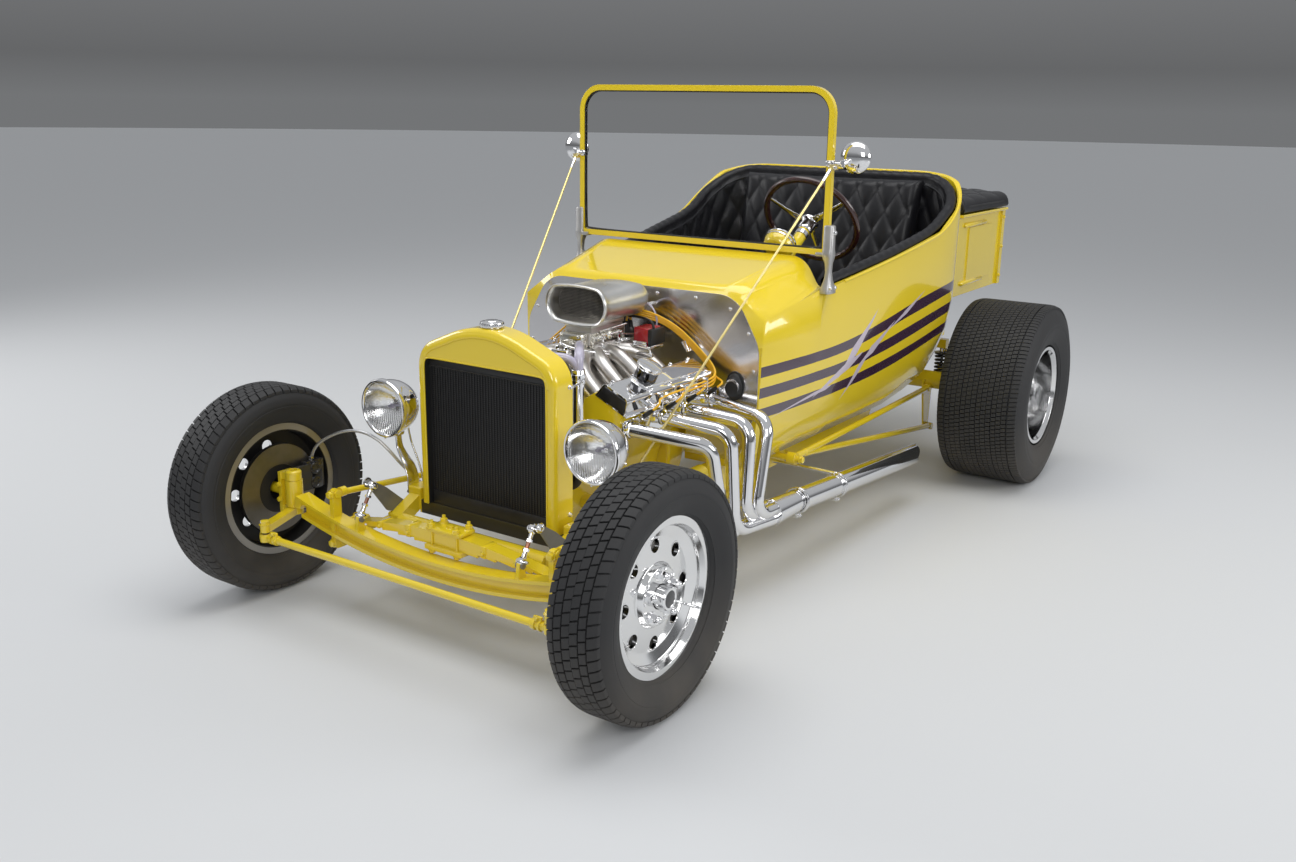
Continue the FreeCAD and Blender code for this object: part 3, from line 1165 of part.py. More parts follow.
lid_rows = [(lid_front_y, lid_low_z, 8), (bed_back_y + rail_lip, lid_low_z, 8),
            (bed_back_y + rail_lip, lid_low_z + size.lid_thickness, 24),
            (lid_front_y, lid_low_z + size.lid_thickness, 24)]
lid = padded("lid_pad", "YZ_Plane", lid_rows, 2 * (size.bed_half_width + rail_lip - 2))
lugs = []
for side in (-1, 1):
    ends = [side * (hinge_x + 7), side * (hinge_x + 15)]
    eye = rod(f"lid_eye{side}", (ends[0], hinge_y, hinge_z), (ends[1], hinge_y, hinge_z), 5)
    arm = block(f"lid_arm{side}", (min(ends), hinge_y, hinge_z - 5), (max(ends), lid_front_y + 30, hinge_z))
    bore = rod(f"lid_bore{side}", (ends[0] - side, hinge_y, hinge_z), (ends[1] + side, hinge_y, hinge_z),
               hinge_pin_radius + size.pin_clearance)
    lugs.append(cut(f"lid_lug{side}", fused(f"lid_lug_whole{side}", [eye, arm]), bore))
finished("bed_lid", [lid] + lugs)

tail_lamp_x = 430
tail_lamps = both_sides([rod("tail_lamp", (tail_lamp_x, bed_back_y - 4, 860),
                             (tail_lamp_x, bed_back_y + size.tail_lamp_depth, 860), 46)])
finished("tail_lamps", tail_lamps)


# ---------------------------------------------------------------------------------------
# Windshield: tube frame and glass on cast posts, braces down to the frame, and mirrors
# ---------------------------------------------------------------------------------------
screen_y = cowl_y + 4
half_screen = size.screen_half_width
screen_corners = [(-half_screen, size.screen_bottom_z, 12), (half_screen, size.screen_bottom_z, 12),
                  (half_screen, size.screen_top_z, size.screen_corner_radius),
                  (-half_screen, size.screen_top_z, size.screen_corner_radius)]


def screen_band(name, grow, thickness):
    """Solid sheet of the screen's outline, grown or shrunk all round."""
    rows = [(across + (grow if across > 0 else -grow), high + (grow if high > 1300 else -grow),
             max(radius + grow, 2)) for across, high, radius in screen_corners]
    return place(padded(name, "XZ_Plane", rows, thickness), 0, screen_y)


tube = size.screen_tube_radius
finished("windshield_frame", [cut("screen_hoop", screen_band("screen_out", tube, 2 * tube),
                                  screen_band("screen_in", -tube, 3 * tube))])
finished("windshield_glass", [screen_band("glass_sheet", -tube, "Sizes.glass_thickness")])

post_rows = [(cowl_y - 14, 902, 6), (cowl_y + 26, 902, 6), (cowl_y + 20, 930, 20),
             (cowl_y + 12, size.screen_bottom_z + 4, 10), (cowl_y + 18, 1115, 6),
             (cowl_y - 10, 1115, 6), (cowl_y - 10, 1000, 10)]
post = place(padded("post_blade", "YZ_Plane", post_rows, 16), half_screen + tube + 8)
post_foot = block("post_foot", (half_screen - 16, cowl_y - 14, 896), (half_screen + tube + 17,
                                                                  cowl_y + 30, 910))
finished("windshield_posts", both_sides([post, post_foot]))

brace_high = (half_screen + tube + 7, screen_y - 26, 1309)
brace_low = (rail_x - 2, front_y + 415, size.rail_top_z + 4)
finished("windshield_braces", both_sides([
    rod("brace_rod", brace_low, brace_high, 4),
    block("brace_foot", (brace_low[0] - 9, brace_low[1] - 14, size.rail_top_z),
          (brace_low[0] + 9, brace_low[1] + 8, size.rail_top_z + 10)),
    block("brace_tab", (half_screen + tube, screen_y - 32, brace_high[2] - 8),
          (half_screen + tube + 14, screen_y + 10, brace_high[2] + 8))]))

mirror_x = half_screen + 62
finished("mirrors", both_sides([
    rod("mirror_head", (mirror_x, screen_y + 20, 1339), (mirror_x, screen_y + 52, 1339), 48),
    rod("mirror_arm", (half_screen + tube - 2, screen_y + 3, 1320), (mirror_x, screen_y + 30, 1332), 6)]))


# ---------------------------------------------------------------------------------------
# Steering column and wheel
# ---------------------------------------------------------------------------------------
wheel_centre = Vector(270, cowl_y + 360, 1098)
column_foot = Vector(270, firewall_y + 30, 640)
column_way = (wheel_centre - column_foot).normalize()
column_end = wheel_centre - column_way * 70
finished("steering_column", [
    rod("column_tube", column_foot, column_end, 22),
    rod("column_drop", (270, cowl_y - 22, 870), (270, cowl_y - 22, 955), 14)])
spin = Rotation(Z_AXIS, column_way)
rim = doc.addObject("Part::Torus", "wheel_rim")
rim.setExpression("Radius1", "Sizes.steering_wheel_radius")
rim.setExpression("Radius2", "Sizes.steering_rim_radius")
rim.Placement = Placement(wheel_centre, spin)
hub = rod("wheel_hub", column_end + column_way * 2, wheel_centre - column_way * 6, 28)
spokes = []
for number, angle in enumerate((90, 210, 330)):
    tip = Vector(math.cos(math.radians(angle)), math.sin(math.radians(angle)), 0) * (
        size.steering_wheel_radius - size.steering_rim_radius / 2)
    spokes.append(rod(f"wheel_spoke{number}", wheel_centre - column_way * 24,
                      wheel_centre + spin.multVec(tip), 7))
finished("steering_wheel", [rim, hub] + spokes)


# ---------------------------------------------------------------------------------------
# Front brake hoses: arch from the frame to the calipers
# ---------------------------------------------------------------------------------------
caliper_top_z = front_hub_z + 66
hose_points = [(rail_x + 25, front_y + 300, 318), (rail_x + 52, front_y + 300, 318),
               (rail_x + 78, front_y + 286, 430), (rail_x + 175, front_y + 215, 500),
               (size.kingpin_x - 15, front_y + 132, 466),
               (size.front_wheel_x - 56, front_y + 118, caliper_top_z + 36),
               (size.front_wheel_x - 56, front_y + 118, caliper_top_z + 0.05)]
hose = bent_tube("hose", hose_points, 5, 60)
finished("brake_hoses", both_sides([hose]))


# ---------------------------------------------------------------------------------------
# Seating: what is bolted or let into another piece is cut to meet it face to face
# ---------------------------------------------------------------------------------------
SEATS = [
    # piece, what it meets
    ("body_tub", ["frame"]), ("seat", ["cockpit_liner", "body_tub", "frame"]),
    ("dash_panel", ["body_tub", "steering_column"]), ("windshield_posts", ["body_tub"]),
    ("valve_covers", ["engine_block"]), ("ignition", ["intake", "engine_block"]),
    ("engine_block", ["frame"]), ("side_pipes", ["engine_block", "frame"]),
    ("headlamps", ["frame"]), ("friction_dampers", ["frame", "front_axle"]),
    ("front_spring", ["front_axle", "frame"]), ("radius_rods", ["front_axle", "rear_axle", "frame"]),
    ("rear_coil_overs", ["rear_axle", "frame"]), ("steering_box", ["frame"]),
    ("radiator_core", ["radiator_shell"]), ("radiator_fittings", ["radiator_core", "radiator_shell",
                                                                "intake"]),
    ("tail_lamps", ["pickup_bed"]), ("mirrors", ["windshield_frame", "windshield_braces"]),
    ("front_tyre_left", ["front_wheel_left"]), ("front_tyre_right", ["front_wheel_right"]),
    ("rear_tyre_left", ["rear_wheel_left"]), ("rear_tyre_right", ["rear_wheel_right"]),
    ("intake", ["engine_block"]), ("windshield_braces", ["frame"]),
]
for label, others in SEATS:
    place_in_list = [item.Label for item in nodes].index(label)
    whole = nodes[place_in_list]
    whole.Label = label + "_whole"
    meets = [item for item in nodes if item.Label in others]
    tool = meets[0] if len(meets) == 1 else fused(label + "_meets", meets)
    nodes[place_in_list] = cut(label + "_seated", whole, tool)
    nodes[place_in_list].Label = label


# ---------------------------------------------------------------------------------------
# Export
# ---------------------------------------------------------------------------------------
doc.recompute()
for item in doc.Objects:
    if "Invalid" in item.State or "Error" in item.State:
        raise RuntimeError(f"{item.Label} did not build: {item.State}")
for item in nodes:
    if item.Shape.isNull() or not item.Shape.isValid():
        raise RuntimeError(f"{item.Label} has no valid shape")
os.makedirs("parts", exist_ok=True)
for item in nodes:
    item.Shape.exportStep(f"parts/{item.Label}.step")
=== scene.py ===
"""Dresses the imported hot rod: an open yellow roadster pickup with a bare V8 and wide rear tyres.

The car faces -Y, its left side is +X and Z is up, in metres, with the origin on the floor.
"""
import json
from math import asin, atan2, copysign, cos, degrees, dist, hypot, pi, radians, sin, sqrt

import bmesh
import bpy
from mathutils import Matrix, Vector
from mathutils.bvhtree import BVHTree
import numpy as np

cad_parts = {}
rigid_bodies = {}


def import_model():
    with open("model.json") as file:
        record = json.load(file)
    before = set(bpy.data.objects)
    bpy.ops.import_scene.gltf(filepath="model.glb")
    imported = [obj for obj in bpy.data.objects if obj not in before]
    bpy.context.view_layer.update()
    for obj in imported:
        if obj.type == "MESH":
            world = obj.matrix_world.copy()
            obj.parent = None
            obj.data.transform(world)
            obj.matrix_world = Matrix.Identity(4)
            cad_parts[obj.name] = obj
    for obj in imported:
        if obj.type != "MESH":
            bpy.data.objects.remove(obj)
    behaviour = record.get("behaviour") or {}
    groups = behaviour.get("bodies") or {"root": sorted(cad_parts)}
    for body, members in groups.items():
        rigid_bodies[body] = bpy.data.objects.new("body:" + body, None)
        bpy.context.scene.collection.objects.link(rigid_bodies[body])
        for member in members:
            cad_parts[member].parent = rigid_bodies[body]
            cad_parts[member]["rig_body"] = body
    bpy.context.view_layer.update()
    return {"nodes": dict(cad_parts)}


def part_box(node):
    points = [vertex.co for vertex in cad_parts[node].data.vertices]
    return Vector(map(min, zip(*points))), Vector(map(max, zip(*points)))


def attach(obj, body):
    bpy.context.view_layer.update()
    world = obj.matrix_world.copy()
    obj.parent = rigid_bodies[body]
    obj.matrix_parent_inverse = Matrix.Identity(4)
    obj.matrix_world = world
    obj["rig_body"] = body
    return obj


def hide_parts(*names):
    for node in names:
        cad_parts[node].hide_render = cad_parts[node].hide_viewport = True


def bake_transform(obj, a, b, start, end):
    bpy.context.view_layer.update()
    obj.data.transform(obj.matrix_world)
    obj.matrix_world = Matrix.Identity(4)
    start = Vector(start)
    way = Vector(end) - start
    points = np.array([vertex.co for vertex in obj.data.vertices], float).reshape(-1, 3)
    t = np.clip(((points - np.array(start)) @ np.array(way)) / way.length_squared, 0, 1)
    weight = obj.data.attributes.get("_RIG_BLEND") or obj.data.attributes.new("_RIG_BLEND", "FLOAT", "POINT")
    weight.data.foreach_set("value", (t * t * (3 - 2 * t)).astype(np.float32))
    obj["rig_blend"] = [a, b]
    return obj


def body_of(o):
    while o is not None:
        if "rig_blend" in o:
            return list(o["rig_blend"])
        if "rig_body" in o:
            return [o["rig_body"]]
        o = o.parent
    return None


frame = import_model()
scene = bpy.context.scene
scene.view_settings.view_transform = "Standard"


# ---- Studio: a pale floor, a soft sky and four soft boxes
# Smooth pale board under the car, lit from above and both sides as a bare car is in a studio, so
# that the plated pieces have bright panels and a darker horizon to mirror.
def link(tree, source, output, target, socket):
    """Joins one node's output to another's input and hands back the second node."""
    tree.links.new(source.outputs[output], target.inputs[socket])
    return target


def set_up(item, **settings):
    """Sets a shader node: names that are sockets set their values, other names are properties."""
    for name, value in settings.items():
        if hasattr(item, name):
            setattr(item, name, value)
        else:
            item.inputs[name.replace("_", " ")].default_value = value
    return item


def add_node(tree, kind, **settings):
    """New shader node of a kind, set up."""
    return set_up(tree.nodes.new("ShaderNode" + kind), **settings)


floor_mesh = bmesh.new()
bmesh.ops.create_circle(floor_mesh, cap_ends=True, segments=96, radius=60)
floor_data = bpy.data.meshes.new("studio_floor")
floor_mesh.to_mesh(floor_data)
floor = bpy.data.objects.new("studio_floor", floor_data)
scene.collection.objects.link(floor)
board = bpy.data.materials.new("pale_board")
board.use_nodes = True
set_up(board.node_tree.nodes["Principled BSDF"], Base_Color=(0.62, 0.63, 0.64, 1), Roughness=0.75,
    Specular_IOR_Level=0.2)
floor_data.materials.append(board)

world = bpy.data.worlds.new("studio_sky")
scene.world = world
world.use_nodes = True
tree = world.node_tree
background = set_up(tree.nodes["Background"], Strength=0.5)
place = add_node(tree, "TexCoord")
split = link(tree, place, "Generated", add_node(tree, "SeparateXYZ"), "Vector")
ramp = link(tree, split, "Z", add_node(tree, "ValToRGB"), "Fac")
low, high = ramp.color_ramp.elements
low.position, low.color = 0, (0.34, 0.35, 0.36, 1)
high.position, high.color = 0.55, (0.95, 0.97, 1, 1)
for position, tone in ((0.03, 0.26), (0.14, 0.42), (0.27, 0.84)):
    stop = ramp.color_ramp.elements.new(position)
    stop.color = (tone, tone * 1.02, tone * 1.05, 1)
link(tree, ramp, "Color", background, "Color")

# name, place, aim, width, height, watts
LAMPS = [("top_box", (0.2, -0.6, 5.2), (0, 0, 0.6), 5.0, 3.2, 150),
    ("front_box", (3.6, -5.4, 3.2), (0, -0.4, 0.5), 2.6, 2.2, 90),
    ("left_box", (5.6, 1.6, 2.4), (0, 0.3, 0.5), 3.4, 1.6, 90),
    ("right_box", (-5.4, -1.8, 2.8), (0, -0.4, 0.6), 3.0, 1.8, 70)]
for name, place, aim, width, height, watts in LAMPS:
    lamp = bpy.data.lights.new(name, "AREA")
    lamp.shape = "RECTANGLE"
    lamp.size, lamp.size_y, lamp.energy = width, height, watts
    holder = bpy.data.objects.new(name, lamp)
    holder.location = place
    holder.rotation_euler = (Vector(aim) - Vector(place)).to_track_quat("-Z", "Y").to_euler()
    scene.collection.objects.link(holder)

camera_data = bpy.data.cameras.new("view")
camera_data.sensor_width = 36
camera_data.lens = 32.888
camera_data.clip_end = 200
camera = bpy.data.objects.new("view", camera_data)
camera.matrix_world = (Matrix.Translation((2.237, -3.6635, 1.499))
    @ Matrix.Rotation(radians(33.945), 4, "Z") @ Matrix.Rotation(radians(90 - 15.449), 4, "X")
    @ Matrix.Rotation(radians(0.916), 4, "Z"))
scene.collection.objects.link(camera)
scene.camera = camera


# ---- Painted steel: frame, axles, rods, engine, radiator shell, tub and bed
# Pressed, cast and tubular steel and a glass-fibre tub, all sprayed one yellow under clear lacquer,
# with the faint waviness of sprayed paint and a little road dust low down.
def new_group(name, inputs, outputs):
    """Shader group with named sockets: (name, default) for inputs, (name, kind) for outputs."""
    group = bpy.data.node_groups.new(name, "ShaderNodeTree")
    for label, value in inputs:
        socket = group.interface.new_socket(label, in_out="INPUT", socket_type="NodeSocketFloat")
        socket.default_value = value
    for label, kind in outputs:
        group.interface.new_socket(label, in_out="OUTPUT", socket_type=kind)
    return group, group.nodes.new("NodeGroupInput"), group.nodes.new("NodeGroupOutput")


# patchy wear: a slow mottle, a fine grain, and dust that settles towards the floor
wear, wear_in, wear_out = new_group("handling_marks",
    [("Mottle Scale", 3.0), ("Grain Scale", 260.0), ("Dust Height", 0.35)],
    [("Mottle", "NodeSocketFloat"), ("Grain", "NodeSocketFloat"), ("Dust", "NodeSocketFloat")])
spot = add_node(wear, "TexCoord")
mottle = link(wear, spot, "Object", add_node(wear, "TexNoise", Detail=4.0), "Vector")
link(wear, wear_in, "Mottle Scale", mottle, "Scale")
link(wear, mottle, "Fac", wear_out, "Mottle")
grain = link(wear, spot, "Object", add_node(wear, "TexNoise", Detail=2.0), "Vector")
link(wear, wear_in, "Grain Scale", grain, "Scale")
link(wear, grain, "Fac", wear_out, "Grain")
height = link(wear, spot, "Object", add_node(wear, "SeparateXYZ"), "Vector")
low_down = link(wear, height, "Z", add_node(wear, "MapRange", From_Min=0.0, To_Min=1.0, To_Max=0.0),
    "Value")
link(wear, wear_in, "Dust Height", low_down, "From Max")
speckle = link(wear, low_down, "Result", add_node(wear, "Math", operation="MULTIPLY"), 0)
link(wear, mottle, "Fac", speckle, 1)
link(wear, speckle, "Value", wear_out, "Dust")


def finish(name, colour, roughness, metallic=0.0, mottle=0.04, grain=0.0, dust=0.0, scales=(3, 260),
        spread=0.04, edge=0.0, slot=None, **sockets):
    """Material with mottled colour and roughness, grain bump, dust and rounded edges."""
    material = bpy.data.materials.new(name)
    material.use_nodes = True
    tree = material.node_tree
    shader = tree.nodes["Principled BSDF"]
    set_up(shader, Metallic=metallic, **sockets)
    marks = add_node(tree, "Group", node_tree=wear)
    set_up(marks, Mottle_Scale=scales[0], Grain_Scale=scales[1])
    tone = link(tree, marks, "Mottle", add_node(tree, "Mix", data_type="RGBA",
        A=(*[c * (1 - mottle) for c in colour], 1), B=(*[min(c * (1 + mottle), 1) for c in colour], 1)),
        "Factor")
    dusty = link(tree, tone, "Result", add_node(tree, "Mix", data_type="RGBA", B=(0.2, 0.17, 0.13, 1)), "A")
    share = link(tree, marks, "Dust", add_node(tree, "Math", operation="MULTIPLY"), 0)
    share.inputs[1].default_value = dust
    link(tree, share, "Value", dusty, "Factor")
    link(tree, dusty, "Result", shader, "Base Color")
    rough = link(tree, marks, "Mottle", add_node(tree, "MapRange", To_Min=max(roughness - spread, 0.01),
        To_Max=min(roughness + spread, 1.0)), "Value")
    link(tree, rough, "Result", shader, "Roughness")
    bump = link(tree, marks, "Grain", add_node(tree, "Bump", Distance=max(grain, 0.000005), Strength=0.6),
        "Height")
    link(tree, bump, "Normal", shader, "Normal")
    if edge:
        link(tree, add_node(tree, "Bevel", samples=4, Radius=edge), "Normal", bump, "Normal")
    return material


def dress(material, *nodes):
    """Gives CAD nodes a material."""
    for name in nodes:
        piece = frame["nodes"][name]
        piece.data.materials.clear()
        piece.data.materials.append(material)


YELLOW = (0.83, 0.62, 0.016)
yellow_paint = finish("yellow_paint", YELLOW, 0.2, grain=0.00002, dust=0.3, scales=(2.5, 90.0), edge=0.003,
    Coat_Weight=1.0, Coat_Roughness=0.03, slot="paint")
dress(yellow_paint, "frame", "front_axle", "front_spring", "radius_rods", "rear_axle", "tie_rod",
    "knuckle_left", "knuckle_right", "drag_link", "engine_block", "radiator_shell", "dash_panel",
    "pickup_bed", "windshield_frame", "steering_column")


# ---- Tub: sprayed glass-fibre body with three dark stripes and two silver slashes
# One smooth moulding. The stripes run from the firewall to the tail on both sides, widening a
# little and rising over the rear; thin silver slashes cut across them like lightning.
def add_curve(tree, points):
    """Curve node through (in, out) points from 0 to 1."""
    node = add_node(tree, "FloatCurve")
    line = node.mapping.curves[0]
    line.points[0].location, line.points[-1].location = points[0], points[-1]
    for point in points[1:-1]:
        line.points.new(*point)
    node.mapping.update()
    return node


class Sum:
    """Number worked out in a shader tree: sums and comparisons with it add their own nodes."""

    def __init__(self, tree, socket):
        self.tree, self.socket = tree, socket

    def work(self, kind, *values):
        node = add_node(self.tree, "Math", operation=kind)
        for slot, value in enumerate(values):
            if isinstance(value, Sum):
                self.tree.links.new(value.socket, node.inputs[slot])
            else:
                node.inputs[slot].default_value = value
        return Sum(self.tree, node.outputs[0])

    __add__ = lambda self, other: self.work("ADD", self, other)
    __sub__ = lambda self, other: self.work("SUBTRACT", self, other)
    __rsub__ = lambda self, other: self.work("SUBTRACT", other, self)
    __mul__ = lambda self, other: self.work("MULTIPLY", self, other)
    __truediv__ = lambda self, other: self.work("DIVIDE", self, other)
    __mod__ = lambda self, other: self.work("MODULO", self, other)
    __gt__ = lambda self, other: self.work("GREATER_THAN", self, other)
    __lt__ = lambda self, other: self.work("LESS_THAN", self, other)
    __abs__ = lambda self: self.work("ABSOLUTE", self, 0)


def axes(tree, source="TexCoord", output="Object"):
    """X, Y and Z of a place or a direction in a shader tree."""
    parts = link(tree, add_node(tree, source), output, add_node(tree, "SeparateXYZ"), "Vector")
    return [Sum(tree, parts.outputs[axis]) for axis in "XYZ"]


def second_look(material, mask, **looks):
    """Changes the named inputs of a material's shader where the mask is 1."""
    tree = material.node_tree
    shader = tree.nodes["Principled BSDF"]
    for name, value in looks.items():
        socket = shader.inputs[name.replace("_", " ")]
        mix = add_node(tree, "Mix", data_type="FLOAT" if isinstance(value, float) else "RGBA")
        if socket.links:
            tree.links.new(socket.links[0].from_socket, mix.inputs["A"])
        else:
            mix.inputs["A"].default_value = socket.default_value
        mix.inputs["B"].default_value = value if isinstance(value, float) else (*value, 1)
        tree.links.new(mask.socket, mix.inputs["Factor"])
        tree.links.new(mix.outputs["Result"], socket)


def variant(material, name):
    """Copy of a material under a new name, and the X, Y and Z of a place in it."""
    copy = material.copy()
    copy.name = name
    return copy, *axes(copy.node_tree)


LOW, SPAN, BACK, RUN = 0.45, 0.45, -0.45, 1.6
TOP_LINE = [(0, 0.551), (0.131, 0.544), (0.275, 0.549), (0.402, 0.598), (0.515, 0.673), (0.642, 0.758),
    (0.842, 0.853), (1, 0.915)]
BOTTOM_LINE = [(0, 0.166), (0.215, 0.153), (0.375, 0.169), (0.575, 0.229), (0.819, 0.378), (1, 0.495)]
# start and end along the car and up, greatest width, where along it is widest
SLASHES = [(-0.33, 0.512, 0.06, 0.556, 0.007, 0.9), (-0.06, 0.528, 0.24, 0.652, 0.017, 0.72),
    (0.095, 0.575, 0.308, 0.8, 0.02, 0.4), (0.15, 0.482, 0.3, 0.67, 0.013, 0.55),
    (0.225, 0.6, 0.446, 0.742, 0.016, 0.35), (0.4, 0.708, 0.668, 0.83, 0.009, 0.45)]

stripe_paint, sideways, along, up = variant(yellow_paint, "striped_paint")
tree = stripe_paint.node_tree
lines = []
for points in (TOP_LINE, BOTTOM_LINE):
    node = add_curve(tree, points)
    tree.links.new(((along - BACK) / RUN).socket, node.inputs["Value"])
    lines.append(Sum(tree, node.outputs[0]) * SPAN + LOW)
share = (up - lines[1]) / (lines[0] - lines[1])
outer = axes(tree, "NewGeometry", "True Normal")[0] * sideways > 0.12
stripe = (share > 0) * (share < 1) * (share * 2.5 % 1 < 0.5) * outer
slash = None
for y0, z0, y1, z1, width, peak in SLASHES:
    length = hypot(y1 - y0, z1 - z0)
    way = ((y1 - y0) / length, (z1 - z0) / length)
    down = (along - y0) * (way[0] / length) + (up - z0) * (way[1] / length)
    across = abs((up - z0) * way[0] - (along - y0) * way[1])
    room = down.work("MINIMUM", down / peak, (1 - down) / (1 - peak))
    cover = across < room * width
    slash = slash.work("MAXIMUM", slash, cover) if slash else cover
second_look(stripe_paint, stripe, Base_Color=(0.04, 0.014, 0.038))
second_look(stripe_paint, slash * outer, Base_Color=(0.56, 0.49, 0.58))


# the mesh that each piece is built in; it's emptied as the piece is finished
mesh = bmesh.new()


def finished_object(name, mesh, material, sharp):
    """Object of a mesh in one material, shaded smooth across edges gentler than sharp degrees."""
    data = bpy.data.meshes.new(name)
    mesh.to_mesh(data)
    mesh.clear()
    data.materials.append(material)
    for face in data.polygons:
        face.use_smooth = True
        face.material_index = 0
    data.set_sharp_from_angle(angle=radians(sharp))
    piece = bpy.data.objects.new(name, data)
    scene.collection.objects.link(piece)
    return piece


def smoothed(name, node, material, angle):
    """Copy of a CAD node's mesh, joined up and shaded smooth across its gentle edges."""
    mesh.from_mesh(frame["nodes"][node].data)
    bmesh.ops.remove_doubles(mesh, verts=mesh.verts, dist=0.00002)
    piece = finished_object(name, mesh, material, angle)
    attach(piece, body_of(frame["nodes"][node])[0])
    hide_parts(node)


smoothed("tub_shell", "body_tub", stripe_paint, 33)


# ---- Tyres: moulded rubber with cut tread blocks
# Black rubber moulded over a cord carcass. The narrow front tyres carry stepped road blocks, the
# wide rear ones fine siped ribs between plain grooves; the sidewalls have a rim guard and ridges.
UP, LEFT, FORE, AFT = (0, 0, 1), (1, 0, 0), (0, -1, 0), (0, 1, 0)


def line_frame(start, end):
    """Matrix that stands the Z axis at start and aims it at end."""
    start, end = Vector(start), Vector(end)
    turn = (end - start).to_track_quat("Z", "Y").to_matrix().to_4x4()
    return Matrix.Translation(start) @ turn


def add_rod(mesh, start, end, radius, tip=None, sides=24):
    """Round bar or cone between two points."""
    length = (Vector(end) - Vector(start)).length
    bmesh.ops.create_cone(mesh, cap_ends=True, segments=sides, radius1=radius,
        radius2=radius if tip is None else tip, depth=length,
        matrix=line_frame(start, end) @ Matrix.Translation((0, 0, length / 2)))


def soften(mesh, edges, radius, segments=2):
    """Rounds edges off."""
    bmesh.ops.bevel(mesh, geom=edges, offset=radius, segments=segments, profile=0.5, affect="EDGES",
        material=-1)


def add_placed_block(mesh, place, size, soft=0):
    """Block of a size centred on a matrix, with rounded edges."""
    made = bmesh.ops.create_cube(mesh, size=1, matrix=place @ Matrix.Diagonal((*size, 1)))
    if soft:
        soften(mesh, list({edge for vert in made["verts"] for edge in vert.link_edges}), soft)


def add_block(mesh, corner, other, soft=0, spin=None):
    """Rectangular block between two opposite corners, with rounded edges."""
    low, high = [Vector(pick(pair) for pair in zip(corner, other)) for pick in (min, max)]
    place = Matrix.Translation((low + high) / 2)
    add_placed_block(mesh, place @ spin if spin else place, high - low, soft)


def add_turned(mesh, rows, start, way, steps=48, closed=False):
    """Turned shape: rows of (along, radius) from start along way, spun through a full turn."""
    start, way = Vector(start), Vector(way).normalized()
    base = line_frame(start, start + way)
    verts = [mesh.verts.new(base @ Vector((radius, 0, along))) for along, radius in rows]
    pairs = list(zip(verts, verts[1:] + (verts[:1] if closed else [])))
    edges = [mesh.edges.new(pair) for pair in pairs if pair[0] is not pair[1]]
    bmesh.ops.spin(mesh, geom=verts + edges, cent=start, axis=way, angle=2 * pi, steps=steps,
        use_merge=True)
    on_axis = [vert for vert in mesh.verts if vert.is_valid and (vert.co - start).cross(way).length < 1e-6]
    bmesh.ops.remove_doubles(mesh, verts=on_axis, dist=1e-6)


def add_tube(mesh, points, radius, sides=3, detail=5, closed=False):
    """Round tube along one smooth line that follows its control points."""
    curve = bpy.data.curves.new("run", "CURVE")
    curve.dimensions = "3D"
    curve.bevel_depth, curve.bevel_resolution = radius, sides
    curve.use_fill_caps, curve.resolution_u = True, detail
    spline = curve.splines.new("NURBS")
    spline.points.add(len(points) - 1)
    for knot, point in zip(spline.points, points):
        knot.co = (*point, 1)
    spline.order_u = 3
    spline.use_endpoint_u = not closed
    spline.use_cyclic_u = closed
    holder = bpy.data.objects.new("run", curve)
    tube = bpy.data.meshes.new_from_object(holder)
    known = len(mesh.verts)
    mesh.from_mesh(tube)
    mesh.verts.ensure_lookup_table()
    bmesh.ops.remove_doubles(mesh, verts=mesh.verts[known:], dist=0.000001)
    bpy.data.objects.remove(holder)
    bpy.data.curves.remove(curve)
    bpy.data.meshes.remove(tube)


def add_bolt(mesh, place, way, across=0.014, height=0.009, washer=True):
    """Hexagon head on its washer, standing on place along way."""
    place, way = Vector(place), Vector(way).normalized()
    if washer:
        add_rod(mesh, place, place + way * 0.0018, across * 0.72, sides=20)
    add_rod(mesh, place, place + way * height, across * 0.577, sides=6)
    add_rod(mesh, place + way * height, place + way * (height + 0.0012), across * 0.577, across * 0.44,
        sides=6)


def add_loops(mesh, loops, start=False, end=False):
    """Quads between successive closed rings of points, with a face over the first or last ring."""
    rings = [[mesh.verts.new(point) for point in loop] for loop in loops]
    for first, second in zip(rings, rings[1:]):
        for index in range(len(first)):
            after = (index + 1) % len(first)
            mesh.faces.new((first[index], first[after], second[after], second[index]))
    if start:
        mesh.faces.new(rings[0][::-1])
    if end:
        mesh.faces.new(rings[-1])
    return rings


def make_piece(name, mesh, material, body="root", sharp=38, replaces=()):
    """Finished object of a mesh: outward faces, smooth shading, a material and its body, if any."""
    bmesh.ops.recalc_face_normals(mesh, faces=mesh.faces)
    piece = finished_object(name, mesh, material, sharp)
    if body:
        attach(piece, body)
    if replaces:
        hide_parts(*replaces)
    return piece


FRONT_AXLE = Vector((0.718, -1.3915, 0.325))
REAR_AXLE = Vector((0.783, 1.1645, 0.37))
